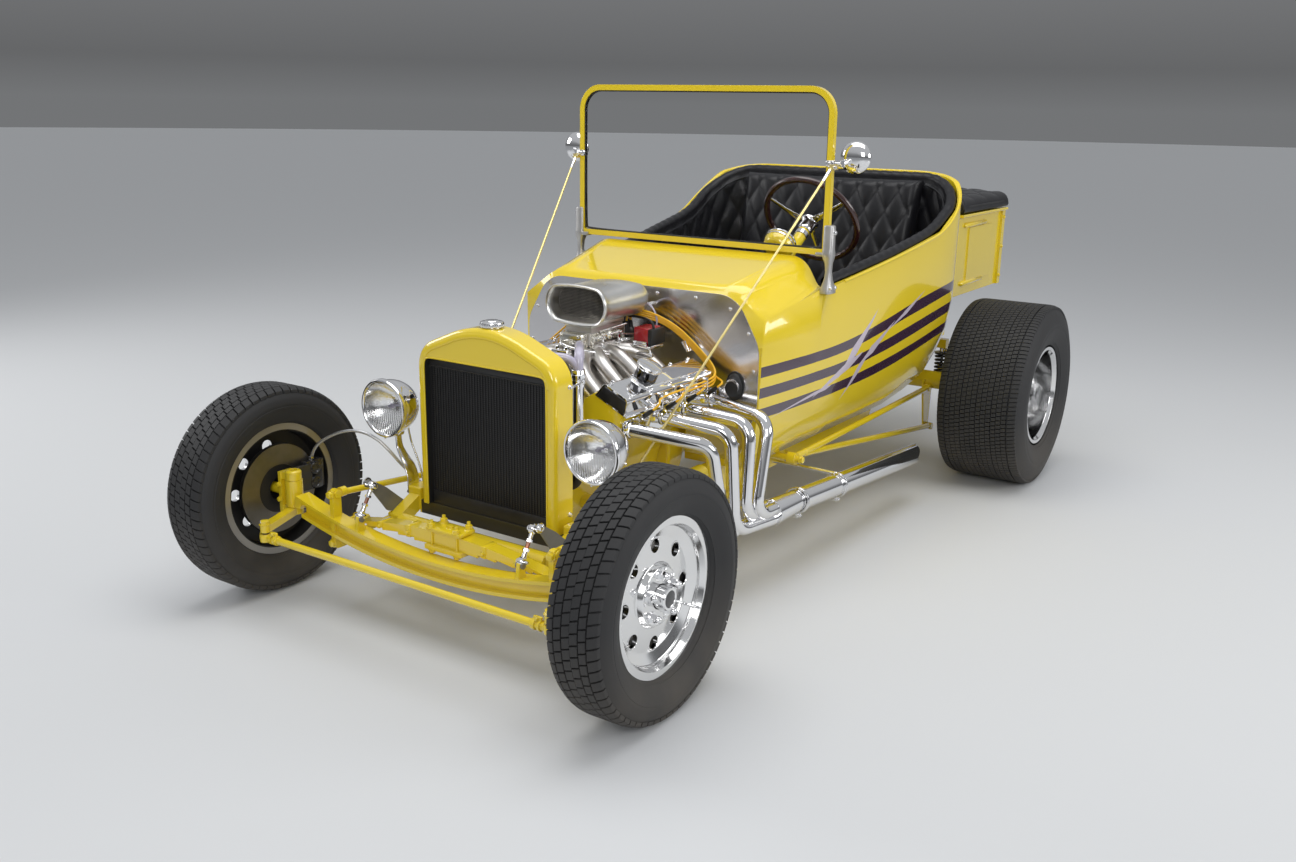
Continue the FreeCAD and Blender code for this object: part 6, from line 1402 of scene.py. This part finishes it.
for side, word in ((1, "left"), (-1, "right")):
    knuckle = f"knuckle_{word}"
    add_tube(mesh, flank(side, *HOSE), 0.005, sides=3, detail=10)
    hose = make_piece(f"brake_hose_{word}", mesh, braid, None, replaces=["brake_hoses"])
    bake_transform(hose, "root", knuckle, start=(side * 0.403, -1.179, 0.444), end=(side * 0.652, -1.273, 0.44))
    add_rod(mesh, (side * 0.329, -1.0915, 0.318), (side * 0.348, -1.0915, 0.319), 0.0085, sides=6)
    make_piece(f"hose_fitting_{word}", mesh, nut_chrome)
    add_rod(mesh, (side * 0.662, -1.2735, 0.388), (side * 0.662, -1.2735, 0.404), 0.008, sides=6)
    for y, z in ((-1.2905, 0.322), (-1.2905, 0.372)):
        add_bolt(mesh, (side * 0.6505, y, z), (-side, 0, 0), 0.013, 0.007)
    add_rod(mesh, (side * 0.68, -1.25, 0.39), (side * 0.68, -1.25, 0.401), 0.0035)
    make_piece(f"caliper_fittings_{word}", mesh, nut_chrome, knuckle)
    # cast body with two round cylinder bosses and a bridge over the disc's rim
    add_block(mesh, (side * 0.644, -1.312, 0.298), (side * 0.66, -1.242, 0.396), 0.007)
    for y, z in ((-1.279, 0.324), (-1.279, 0.37)):
        add_turned(mesh, [(-0.004, 0.0225), (0.006, 0.0225), (0.012, 0.019), (0.0135, 0.013),
            (0.0105, 0.011), (0.0105, 0)], (side * 0.646, y, z), (-side, 0, 0), steps=36)
    make_piece(f"caliper_body_{word}", mesh, cap_black, knuckle)
    centre = Vector((side * 0.681, FRONT_AXLE.y, FRONT_AXLE.z))
    add_turned(mesh, band(-0.0076, 0.0076, 0.076, 0.1404), centre, LEFT, steps=96, closed=True)
    make_piece(f"brake_disc_{word}", mesh, iron, f"front_wheel_{word}", 30)


# ---- Exhaust: plated headers and side pipes
# Mandrel-bent tubes are welded to a flange and gathered into a collector; the pipe slips on under
# a bolted band clamp and its mouth is cut on a slant.
plating, welds = bmesh.new(), bmesh.new()
pipe_start = Vector((0.578, -0.3135, 0.246))
pipe_way = (Vector((0.622, 0.6185, 0.196)) - pipe_start).normalized()
for side in (-1, 1):
    flip = Vector((side, 1, 1))
    for port in (-0.9155, -0.7395, -0.6095, -0.4515):
        add_turned(welds, [(-0.0005, 0.0208), (0.0005, 0.0245), (0.003, 0.0235), (0.0045, 0.0208)],
            (side * 0.3262, port, 0.578), (side, 0, 0), steps=32, closed=True)
        for along, up in ((-0.031, 0.015), (0.031, -0.015)):
            if port + along < -0.43:
                add_bolt(plating, (side * 0.3255, port + along, 0.578 + up), (side, 0, 0), 0.012, 0.008)
    for at, radius, wide in ((0, 0.043, 0.016), (0.27, 0.043, 0.016)):
        centre = (pipe_start + pipe_way * at) * flip
        way = pipe_way * flip
        for along in (-0.0055, 0.0055):
            add_turned(plating, [(along - 0.0025, radius - 0.001), (along - 0.0015, radius + 0.0018),
                (along + 0.0015, radius + 0.0018), (along + 0.0025, radius - 0.001)], centre, way, steps=48,
                closed=True)
        low = centre - Vector((0, 0, radius + 0.007))
        add_placed_block(plating, Matrix.Translation(low), (0.018, 0.016, 0.016), 0.002)
        add_rod(plating, low - Vector((0.018, 0, 0)), low + Vector((0.018, 0, 0)), 0.0038)
        for face in (1, -1):
            add_bolt(plating, low + Vector((0.009 * face, 0, 0)), (face, 0, 0), 0.011, 0.007)
    seam = Vector((0.562, -0.4635, 0.242))
    gather = (pipe_start - seam).normalized()
    for at, radius in ((0.001, 0.0437), (0.146, 0.0366)):
        add_turned(welds, [(-0.002, radius), (0, radius + 0.0016), (0.002, radius)],
            (seam + gather * at) * flip, gather * flip, steps=48, closed=True)
make_piece("exhaust_clamps", plating, chrome)
make_piece("exhaust_welds", welds, rim_metal)


# ---- Rear coil springs
# Black coil wire round a plated damper, bolted between the axle and the cross beam.
coils, bodies = bmesh.new(), bmesh.new()
for side in (-1, 1):
    foot = Vector((side * 0.47, 1.2405, 0))
    turns = 7
    add_tube(coils, [foot + Vector((*circle(30 * step, 0.0265), 0.357 + 0.11 * step / (12 * turns)))
        for step in range(12 * turns + 1)], 0.0052, sides=2, detail=2)
    for low, high in ((0.344, 0.351), (0.4725, 0.48)):
        add_turned(coils, band(low, high, 0, 0.0325), foot, UP, steps=32)
    add_turned(bodies, [(0.334, 0), (0.334, 0.012), (0.346, 0.017), (0.42, 0.017), (0.424, 0.006),
        (0.478, 0.006), (0.482, 0.0125), (0.499, 0.0125), (0.499, 0)], foot, UP, steps=32)
    for z in (0.34, 0.49):
        add_bolt(bodies, foot + Vector((side * 0.0125, 0, z)), (side, 0, 0), 0.014, 0.009)
springs = make_piece("coil_springs", coils, satin_black, replaces=["rear_coil_overs"])
make_piece("coil_dampers", bodies, chrome)


# ---- Firewall: buffed aluminium sheet with its fittings
# Flat sheet polished by hand in long swirls, screwed to the tub; a rubber boot seals the column and
# a clear hose runs from a bulkhead fitting to the ignition.
firewall_metal = finish("swirled_aluminium", (0.66, 0.65, 0.66), 0.2, 1.0, mottle=0.1, grain=0.0012,
    scales=(6, 7), spread=0.1, edge=0.0015)
dress(firewall_metal, "firewall")
wall_face = -0.4165
for x, z in ((0.405, 0.43), (0.44, 0.56), (0.4525, 0.68), (0.43, 0.8), (0.36, 0.872), (0.23, 0.896),
        (0.08, 0.896)):
    for side in (-1, 1):
        add_turned(mesh, [(-0.001, 0), (-0.001, 0.0062), (0.0012, 0.006), (0.003, 0.004), (0.0036, 0)],
            (side * x, wall_face, z), FORE, steps=20)
add_rod(mesh, (0.06, wall_face, 0.858), (0.06, wall_face - 0.014, 0.858), 0.008, sides=6)
add_rod(mesh, (0.06, wall_face, 0.858), (0.06, wall_face - 0.024, 0.858), 0.0045)
make_piece("firewall_screws", mesh, stand_alloy)
add_tube(mesh, [(x, wall_face - off, z) for x, off, z in ((0.06, 0.02, 0.858), (0.062, 0.045, 0.866),
    (0.085, 0.062, 0.872), (0.115, 0.068, 0.852), (0.128, 0.068, 0.815), (0.118, 0.068, 0.782),
    (0.104, 0.072, 0.77))], 0.0032, sides=2, detail=10)
make_piece("bulkhead_hose", mesh, hose_clear)
foot = Vector((0.388, wall_face, 0.626))
loops = []
for along, wide, high in ((-0.0008, 0.034, 0.048), (0.004, 0.0335, 0.0475), (0.0045, 0.029, 0.042),
        (0.009, 0.0305, 0.04), (0.0125, 0.0255, 0.033), (0.017, 0.0275, 0.032), (0.0205, 0.022, 0.0255),
        (0.025, 0.0235, 0.025), (0.0265, 0.013, 0.015)):
    loops.append([foot + Vector((x, -along, z - 0.3 * along))
        for x, z in [circle(angle, wide, high) for angle in range(0, 360, 10)]])
add_loops(mesh, loops, end=True)
make_piece("column_boot", mesh, rubber)


# ---- Windshield: painted tube hoop, glass, cast feet, braces and mirrors
# Flat glass in a thin black gasket inside a bent tube hoop. Cast aluminium stanchions clamp the
# hoop and flare onto the tub; long thin rods brace it to the frame and carry round plated mirrors.
clear_glass = finish("clear_glass", (1.0, 1.0, 1.0), 0.0, mottle=0.0, spread=0.0, Transmission_Weight=1.0,
    IOR=1.1)
dress(clear_glass, "windshield_glass")
rod_paint = finish("brace_brass", (0.8, 0.66, 0.27), 0.24, 0.6, mottle=0.1, grain=0.00002, scales=(20, 300))
dress(rod_paint, "windshield_braces")
screen_y = -0.0475


def hoop_points(half, low, high, bend, y):
    """Closed loop of points round the glass, with rounded top corners."""
    points = [(-half, y, low + 0.01), (-half + 0.01, y, low), (0, y, low), (half - 0.01, y, low),
        (half, y, low + 0.01)]
    for index in range(24):
        turn = radians(90 * (index % 12) / 11 + (0 if index < 12 else 90))
        cx = (half - bend) * (1 if index < 12 else -1)
        points.append((cx + bend * cos(turn), y, high - bend + bend * sin(turn)))
    return points


for y in (screen_y - 0.0048, screen_y + 0.0048):
    add_tube(mesh, hoop_points(0.4945, 1.0425, 1.5425, 0.069, y), 0.0026, sides=2, detail=4, closed=True)
make_piece("glass_gasket", mesh, rubber)

feet, plated, glass = bmesh.new(), bmesh.new(), bmesh.new()
# height, centre across, centre along, half width, half depth of the stanchion
STANCHION = [(1.121, 0.5165, -0.0475, 0.012, 0.011), (1.1195, 0.5165, -0.0475, 0.016, 0.015),
    (1.114, 0.5165, -0.0475, 0.018, 0.0165), (1.045, 0.5165, -0.0475, 0.018, 0.0165),
    (1.033, 0.5165, -0.0475, 0.019, 0.02), (1.02, 0.5165, -0.0475, 0.019, 0.0205),
    (1.012, 0.517, -0.0475, 0.0175, 0.0185), (0.995, 0.5185, -0.047, 0.012, 0.013),
    (0.965, 0.5195, -0.0465, 0.01, 0.0112), (0.938, 0.5195, -0.0455, 0.013, 0.0175),
    (0.916, 0.5185, -0.044, 0.019, 0.0265), (0.902, 0.5175, -0.0435, 0.0225, 0.031),
    (0.895, 0.5175, -0.0435, 0.0215, 0.03)]
for side in (-1, 1):
    loops = []
    for z, x, y, wide, deep in STANCHION:
        loop = []
        for step in range(24):
            c, s = circle(15 * step)
            loop.append((side * x + wide * copysign(abs(c) ** 0.55, c),
                y + deep * copysign(abs(s) ** 0.55, s), z))
        loops.append(loop)
    add_loops(feet, loops, True, True)
    add_block(feet, (side * 0.474, -0.0655, 1.0165), (side * 0.53, -0.0295, 1.0305), 0.0045)
    add_block(feet, (side * 0.49, -0.064, 0.8965), (side * 0.52, -0.023, 0.9045), 0.003)
    for x, y, z in ((0.533, -0.06, 0.913), (0.533, -0.027, 0.913), (0.5335, -0.0475, 1.097)):
        add_bolt(plated, (side * x, y, z), (side, 0, 0), 0.012, 0.007)
    # brace ends: clevis and nut at the frame, eye and bolt at the hoop
    high, low, out = [Vector(spot)
        for spot in flank(side, (0.523, -0.0735, 1.309), (0.303, -0.9765, 0.349), LEFT)]
    way = (high - low).normalized()
    for end, inward in ((low, way), (high, -way)):
        add_rod(plated, end + inward * 0.012, end + inward * 0.034, 0.0058, sides=6)
        add_rod(plated, end + inward * 0.034, end + inward * 0.06, 0.0052, 0.0044)
        add_rod(plated, end - out * 0.01, end + out * 0.012, 0.005)
        add_bolt(plated, end + out * 0.01, out, 0.0105, 0.006)
    # mirror: domed back, rolled bezel, glass, and its clamp and arm on the hoop
    face = (side * 0.572, 0.0045, 1.339)
    add_turned(plated, [(0.0022, 0.0485), (0, 0.05), (0.0004, 0.0525), (0.004, 0.0537), (0.01, 0.0524),
        (0.018, 0.047), (0.026, 0.0358), (0.0305, 0.021), (0.032, 0)], face, FORE, steps=56)
    add_turned(glass, [(0.0018, 0), (0.0018, 0.049), (0.003, 0.049)], face, FORE, steps=56)
    add_block(plated, (side * 0.508 - 0.0135, -0.0625, 1.309), (side * 0.508 + 0.0135, -0.0325, 1.331),
        0.004)
    add_bolt(plated, (side * 0.508, -0.0625, 1.32), FORE, 0.009, 0.005)
    add_tube(plated, flank(side, (0.515, -0.0445, 1.32), (0.54, -0.04, 1.318), (0.56, -0.03, 1.324),
        (0.568, -0.02, 1.334)), 0.0062, sides=4)
    add_rod(plated, (side * 0.545, -0.04, 1.309), (side * 0.545, -0.04, 1.331), 0.0075)
satin_alloy = finish("satin_casting", (0.5, 0.495, 0.49), 0.42, 0.9, mottle=0.12, grain=0.00015,
    scales=(25, 400), spread=0.08, edge=0.002, slot="polished_aluminium")
make_piece("screen_stanchions", feet, satin_alloy, replaces=["windshield_posts"])
make_piece("screen_brightwork", plated, chrome, replaces=["mirrors"])
make_piece("mirror_glass", glass, bright_bowl)


# ---- Steering wheel, column and gauge
# Dark red-brown moulded rim with finger grips on three dished, plated spokes; a horn button in the
# hub. The rev gauge sits in a yellow cup with a plated bezel, clamped on the column.
rim_resin = finish("moulded_rim", (0.034, 0.009, 0.008), 0.2, mottle=0.3, grain=0.00003, dust=0.02,
    scales=(14, 300), Coat_Weight=0.7, Coat_Roughness=0.06, slot="wheel_rim")
wheel_middle = Vector((0.27, 0.3085, 1.098))
AXIS, DOWN = Vector((0, 0.8339, 0.5519)), Vector((0, 0.5519, -0.8339))


def wheel_place(angle, reach, lift=0.0):
    """Point in the steering wheel's own plane: an angle round it, a radius, a lift off it."""
    turn = radians(angle)
    return (wheel_middle + Vector((cos(turn), 0, 0)) * reach + DOWN * sin(turn) * reach + AXIS * lift)


def rim_spot(column, row):
    """Point of the moulded rim; its inner side is scalloped for the fingers."""
    round_rim, round_tube = 2 * pi * column / 160, 2 * pi * row / 14
    grip = 0.001 * cos(40 * round_rim) * max(-cos(round_tube), 0)
    reach = 0.0117 + grip
    return wheel_place(degrees(round_rim), 0.178 + reach * cos(round_tube), reach * sin(round_tube))


add_sheet(mesh, 160, 14, rim_spot)
make_piece("wheel_rim", mesh, rim_resin, "steering_wheel", 80, ["steering_wheel"])
for angle in (90, 210, 330):
    rows = smooth_rows([(0.022, -0.02, 0.0175), (0.05, -0.019, 0.015), (0.1, -0.012, 0.0105),
        (0.15, -0.003, 0.0085), (0.172, 0.0, 0.008)])
    across = (wheel_place(angle + 90, 1) - wheel_middle)
    loops = [[wheel_place(angle, reach, lift) + across * x + AXIS * z
        for x, z in [circle(30 * k, wide, 0.0028) for k in range(12)]] for reach, lift, wide in rows]
    add_loops(mesh, loops, True, True)
    for reach, lift in ((0.062, -0.015), (0.09, -0.0105), (0.118, -0.006)):
        spot = wheel_place(angle, reach, lift)
        add_rod(mesh, spot - AXIS * 0.001, spot + AXIS * 0.0024, 0.0042, sides=20)
add_turned(mesh, [(-0.068, 0), (-0.068, 0.0235), (-0.06, 0.0275), (-0.03, 0.0275), (-0.022, 0.033),
    (-0.014, 0.0345), (-0.0095, 0.032), (-0.0085, 0.0265), (-0.0085, 0)], wheel_middle, AXIS, steps=48)
make_piece("wheel_spokes", mesh, chrome, "steering_wheel")
add_turned(mesh, [(-0.009, 0.0262), (-0.005, 0.0255), (-0.0025, 0.018), (-0.002, 0)], wheel_middle, AXIS,
    steps=40)
make_piece("horn_button", mesh, cap_black, "steering_wheel")

column_end = wheel_middle - AXIS * 0.07
for back, radius, long in ((0.03, 0.025, 0.022), (0.33, 0.0245, 0.012)):
    start = column_end - AXIS * back
    add_turned(mesh, [(0, 0.0215), (0.002, radius), (long - 0.002, radius), (long, 0.0215)], start, AXIS,
        steps=36, closed=True)
lever = column_end - AXIS * 0.045
add_tube(mesh, [lever + Vector((-0.018, 0, 0)), lever + Vector((-0.06, 0.004, 0.004)),
    lever + Vector((-0.105, 0.02, 0.018))], 0.0036, sides=3)
# bezel of the gauge, and its clamp band
cup = Vector((0.262, 0.05, 1.006))
for shape in ([(0.05, 0.054), (0.05, 0.058), (0.053, 0.0592), (0.058, 0.0575), (0.06, 0.0535),
        (0.058, 0.051), (0.054, 0.051)], band(0.038, 0.044, 0.0548, 0.0572)):
    add_turned(mesh, shape, cup, AXIS, steps=64, closed=True)
add_rod(mesh, cup + AXIS * 0.03 + DOWN * 0.052, cup + AXIS * 0.03 + DOWN * 0.078, 0.007)
make_piece("column_brightwork", mesh, chrome)
add_turned(mesh, [(-0.004, 0), (-0.003, 0.022), (0.004, 0.04), (0.014, 0.05), (0.028, 0.0545),
    (0.0525, 0.0555), (0.0525, 0.05)], cup, AXIS, steps=64)
make_piece("gauge_cup", mesh, yellow_paint)
faces = bmesh.new()
add_turned(faces, [(0.0535, 0), (0.0535, 0.052)], cup, AXIS, steps=48)
needle_at = cup + AXIS * 0.0545
needles = bmesh.new()
add_block(needles, needle_at - Vector((0.001, 0.0008, 0.005)), needle_at + Vector((0.001, 0.0008, 0.028)))
add_rod(needles, needle_at, needle_at + AXIS * 0.002, 0.004)


# ---- Dash, pedals and shifter
# Painted panel with a row of round gauges; plated lever through a leather boot on the tunnel, and
# rubber-faced pedals hung under the cowl.
bezels = bmesh.new()
dash_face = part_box("dash_panel")[1].y
for x, radius in ((-0.215, 0.026), (-0.14, 0.026), (-0.065, 0.026), (0.035, 0.043), (0.135, 0.043)):
    spot = Vector((x, dash_face, 0.905))
    add_turned(bezels, [(-0.002, radius - 0.001), (-0.002, radius + 0.004), (0.003, radius + 0.004),
        (0.0055, radius + 0.001), (0.004, radius - 0.002)], spot, AFT, steps=48, closed=True)
    add_turned(faces, [(0.0015, 0), (0.0015, radius)], spot, AFT, steps=40)
    add_block(needles, spot + Vector((-0.0007, 0.0024, -radius * 0.2)),
        spot + Vector((0.0007, 0.0034, radius * 0.75)), spin=Matrix.Rotation(x * 9, 4, "Y"))
    for step in range(9):
        turn = radians(210 - 30 * step)
        tick = spot + Vector((radius * 0.84 * cos(turn), 0.0022, radius * 0.84 * sin(turn)))
        add_block(needles, tick - Vector((0.0008, 0.0004, 0.0026)), tick + Vector((0.0008, 0.0004, 0.0026)),
            spin=Matrix.Rotation(turn + pi / 2, 4, "Y"))
shift_foot = Vector((0.0, 0.15, 0.46))
add_tube(bezels, [shift_foot + Vector((0, y, z))
    for y, z in ((0, 0.02), (-0.01, 0.13), (-0.05, 0.23), (-0.055, 0.29))], 0.006, sides=4)
make_piece("dash_brightwork", bezels, chrome)
gauge_face = finish("gauge_face", (0.015, 0.015, 0.016), 0.35, mottle=0.1, grain=0.00002, scales=(60, 500),
    slot="black_plastic")
ivory = finish("ivory_markings", (0.75, 0.73, 0.64), 0.4, mottle=0.1, scales=(60, 500))
make_piece("gauge_faces", faces, gauge_face)
make_piece("gauge_needles", needles, ivory)
knob = shift_foot + Vector((0, -0.055, 0.288))
add_turned(mesh, [(0, 0), (0.001, 0.009), (0.008, 0.017), (0.02, 0.0235), (0.032, 0.021), (0.041, 0.011),
    (0.043, 0)], knob, UP, steps=32)
for x, wide, y in ((0.235, 0.034, -0.315), (0.33, 0.022, -0.325)):
    add_block(mesh, (x - wide, y - 0.006, 0.505), (x + wide, y + 0.006, 0.58), 0.004,
        Matrix.Rotation(radians(-28), 4, "X"))
make_piece("shift_knob", mesh, rubber)
loops = []
for up, reach in ((-0.004, 0.056), (0.004, 0.055), (0.01, 0.046), (0.018, 0.048), (0.026, 0.036),
        (0.036, 0.037), (0.046, 0.026), (0.056, 0.025), (0.064, 0.013), (0.072, 0.0075)):
    loops.append([shift_foot + Vector((*circle(15 * k, reach * (1 + 0.03 * (k % 2))), up))
        for k in range(24)])
add_loops(mesh, loops)
make_piece("shift_boot", mesh, leather)
for x in (0.235, 0.33):
    add_tube(mesh, [(x, -0.322, 0.54), (x, -0.345, 0.62), (x, -0.33, 0.74), (x, -0.3, 0.86),
        (x, -0.26, 0.93)], 0.0065, sides=4)
make_piece("pedal_arms", mesh, satin_black)


# ---- Bed: pressed ribs, rolled rail, tail panel and lamps
# Folded sheet with two raised bars pressed in each side, a rolled bead along the rail, a tail panel
# held by corner bolts, and round red lamps in plated bezels.
for side in (-1, 1):
    for z in (1.03, 0.786):
        add_turned(mesh, [(0, 0), (0.002, 0.0055), (0.009, 0.01), (0.255, 0.01), (0.262, 0.0055),
            (0.264, 0)], (side * 0.537, 1.195, z), AFT, steps=24)
    add_tube(mesh, flank(side, (0.549, 1.128, 1.072), (0.549, 1.4, 1.072), (0.549, 1.69, 1.072),
        (0.549, 1.7005, 1.072), (0.538, 1.701, 1.072), (0.2, 1.701, 1.072), (0, 1.701, 1.072)), 0.0068,
        sides=4)
    for z in (0.775, 0.905, 1.035):
        add_bolt(mesh, (side * 0.5445, 1.6785, z), (side, 0, 0), 0.012, 0.006)
add_block(mesh, (-0.34, 1.6855, 0.795), (0.34, 1.6905, 1.015), 0.004)
add_block(mesh, (-0.31, 1.6895, 0.825), (0.31, 1.693, 0.985), 0.003)
make_piece("bed_ribs", mesh, yellow_paint)
red_lens = finish("red_lens", (0.45, 0.006, 0.008), 0.1, mottle=0.1, grain=0.0008, scales=(20, 90),
    Transmission_Weight=0.3, Coat_Weight=1.0, slot="red_lens")
rings, lenses = bmesh.new(), bmesh.new()
for side in (-1, 1):
    centre = (side * 0.43, 1.685, 0.86)
    add_turned(rings, [(-0.002, 0.03), (-0.002, 0.0458), (0.01, 0.046), (0.02, 0.0445), (0.024, 0.0415),
        (0.024, 0.0385), (0.018, 0.038)], centre, AFT, steps=48, closed=True)
    add_turned(lenses, [(0.004, 0), (0.004, 0.0385), (0.021, 0.0385), (0.027, 0.03), (0.0305, 0.016),
        (0.0315, 0)], centre, AFT, steps=48)
make_piece("lamp_bezels", rings, chrome, replaces=["tail_lamps"])
make_piece("red_lenses", lenses, red_lens)
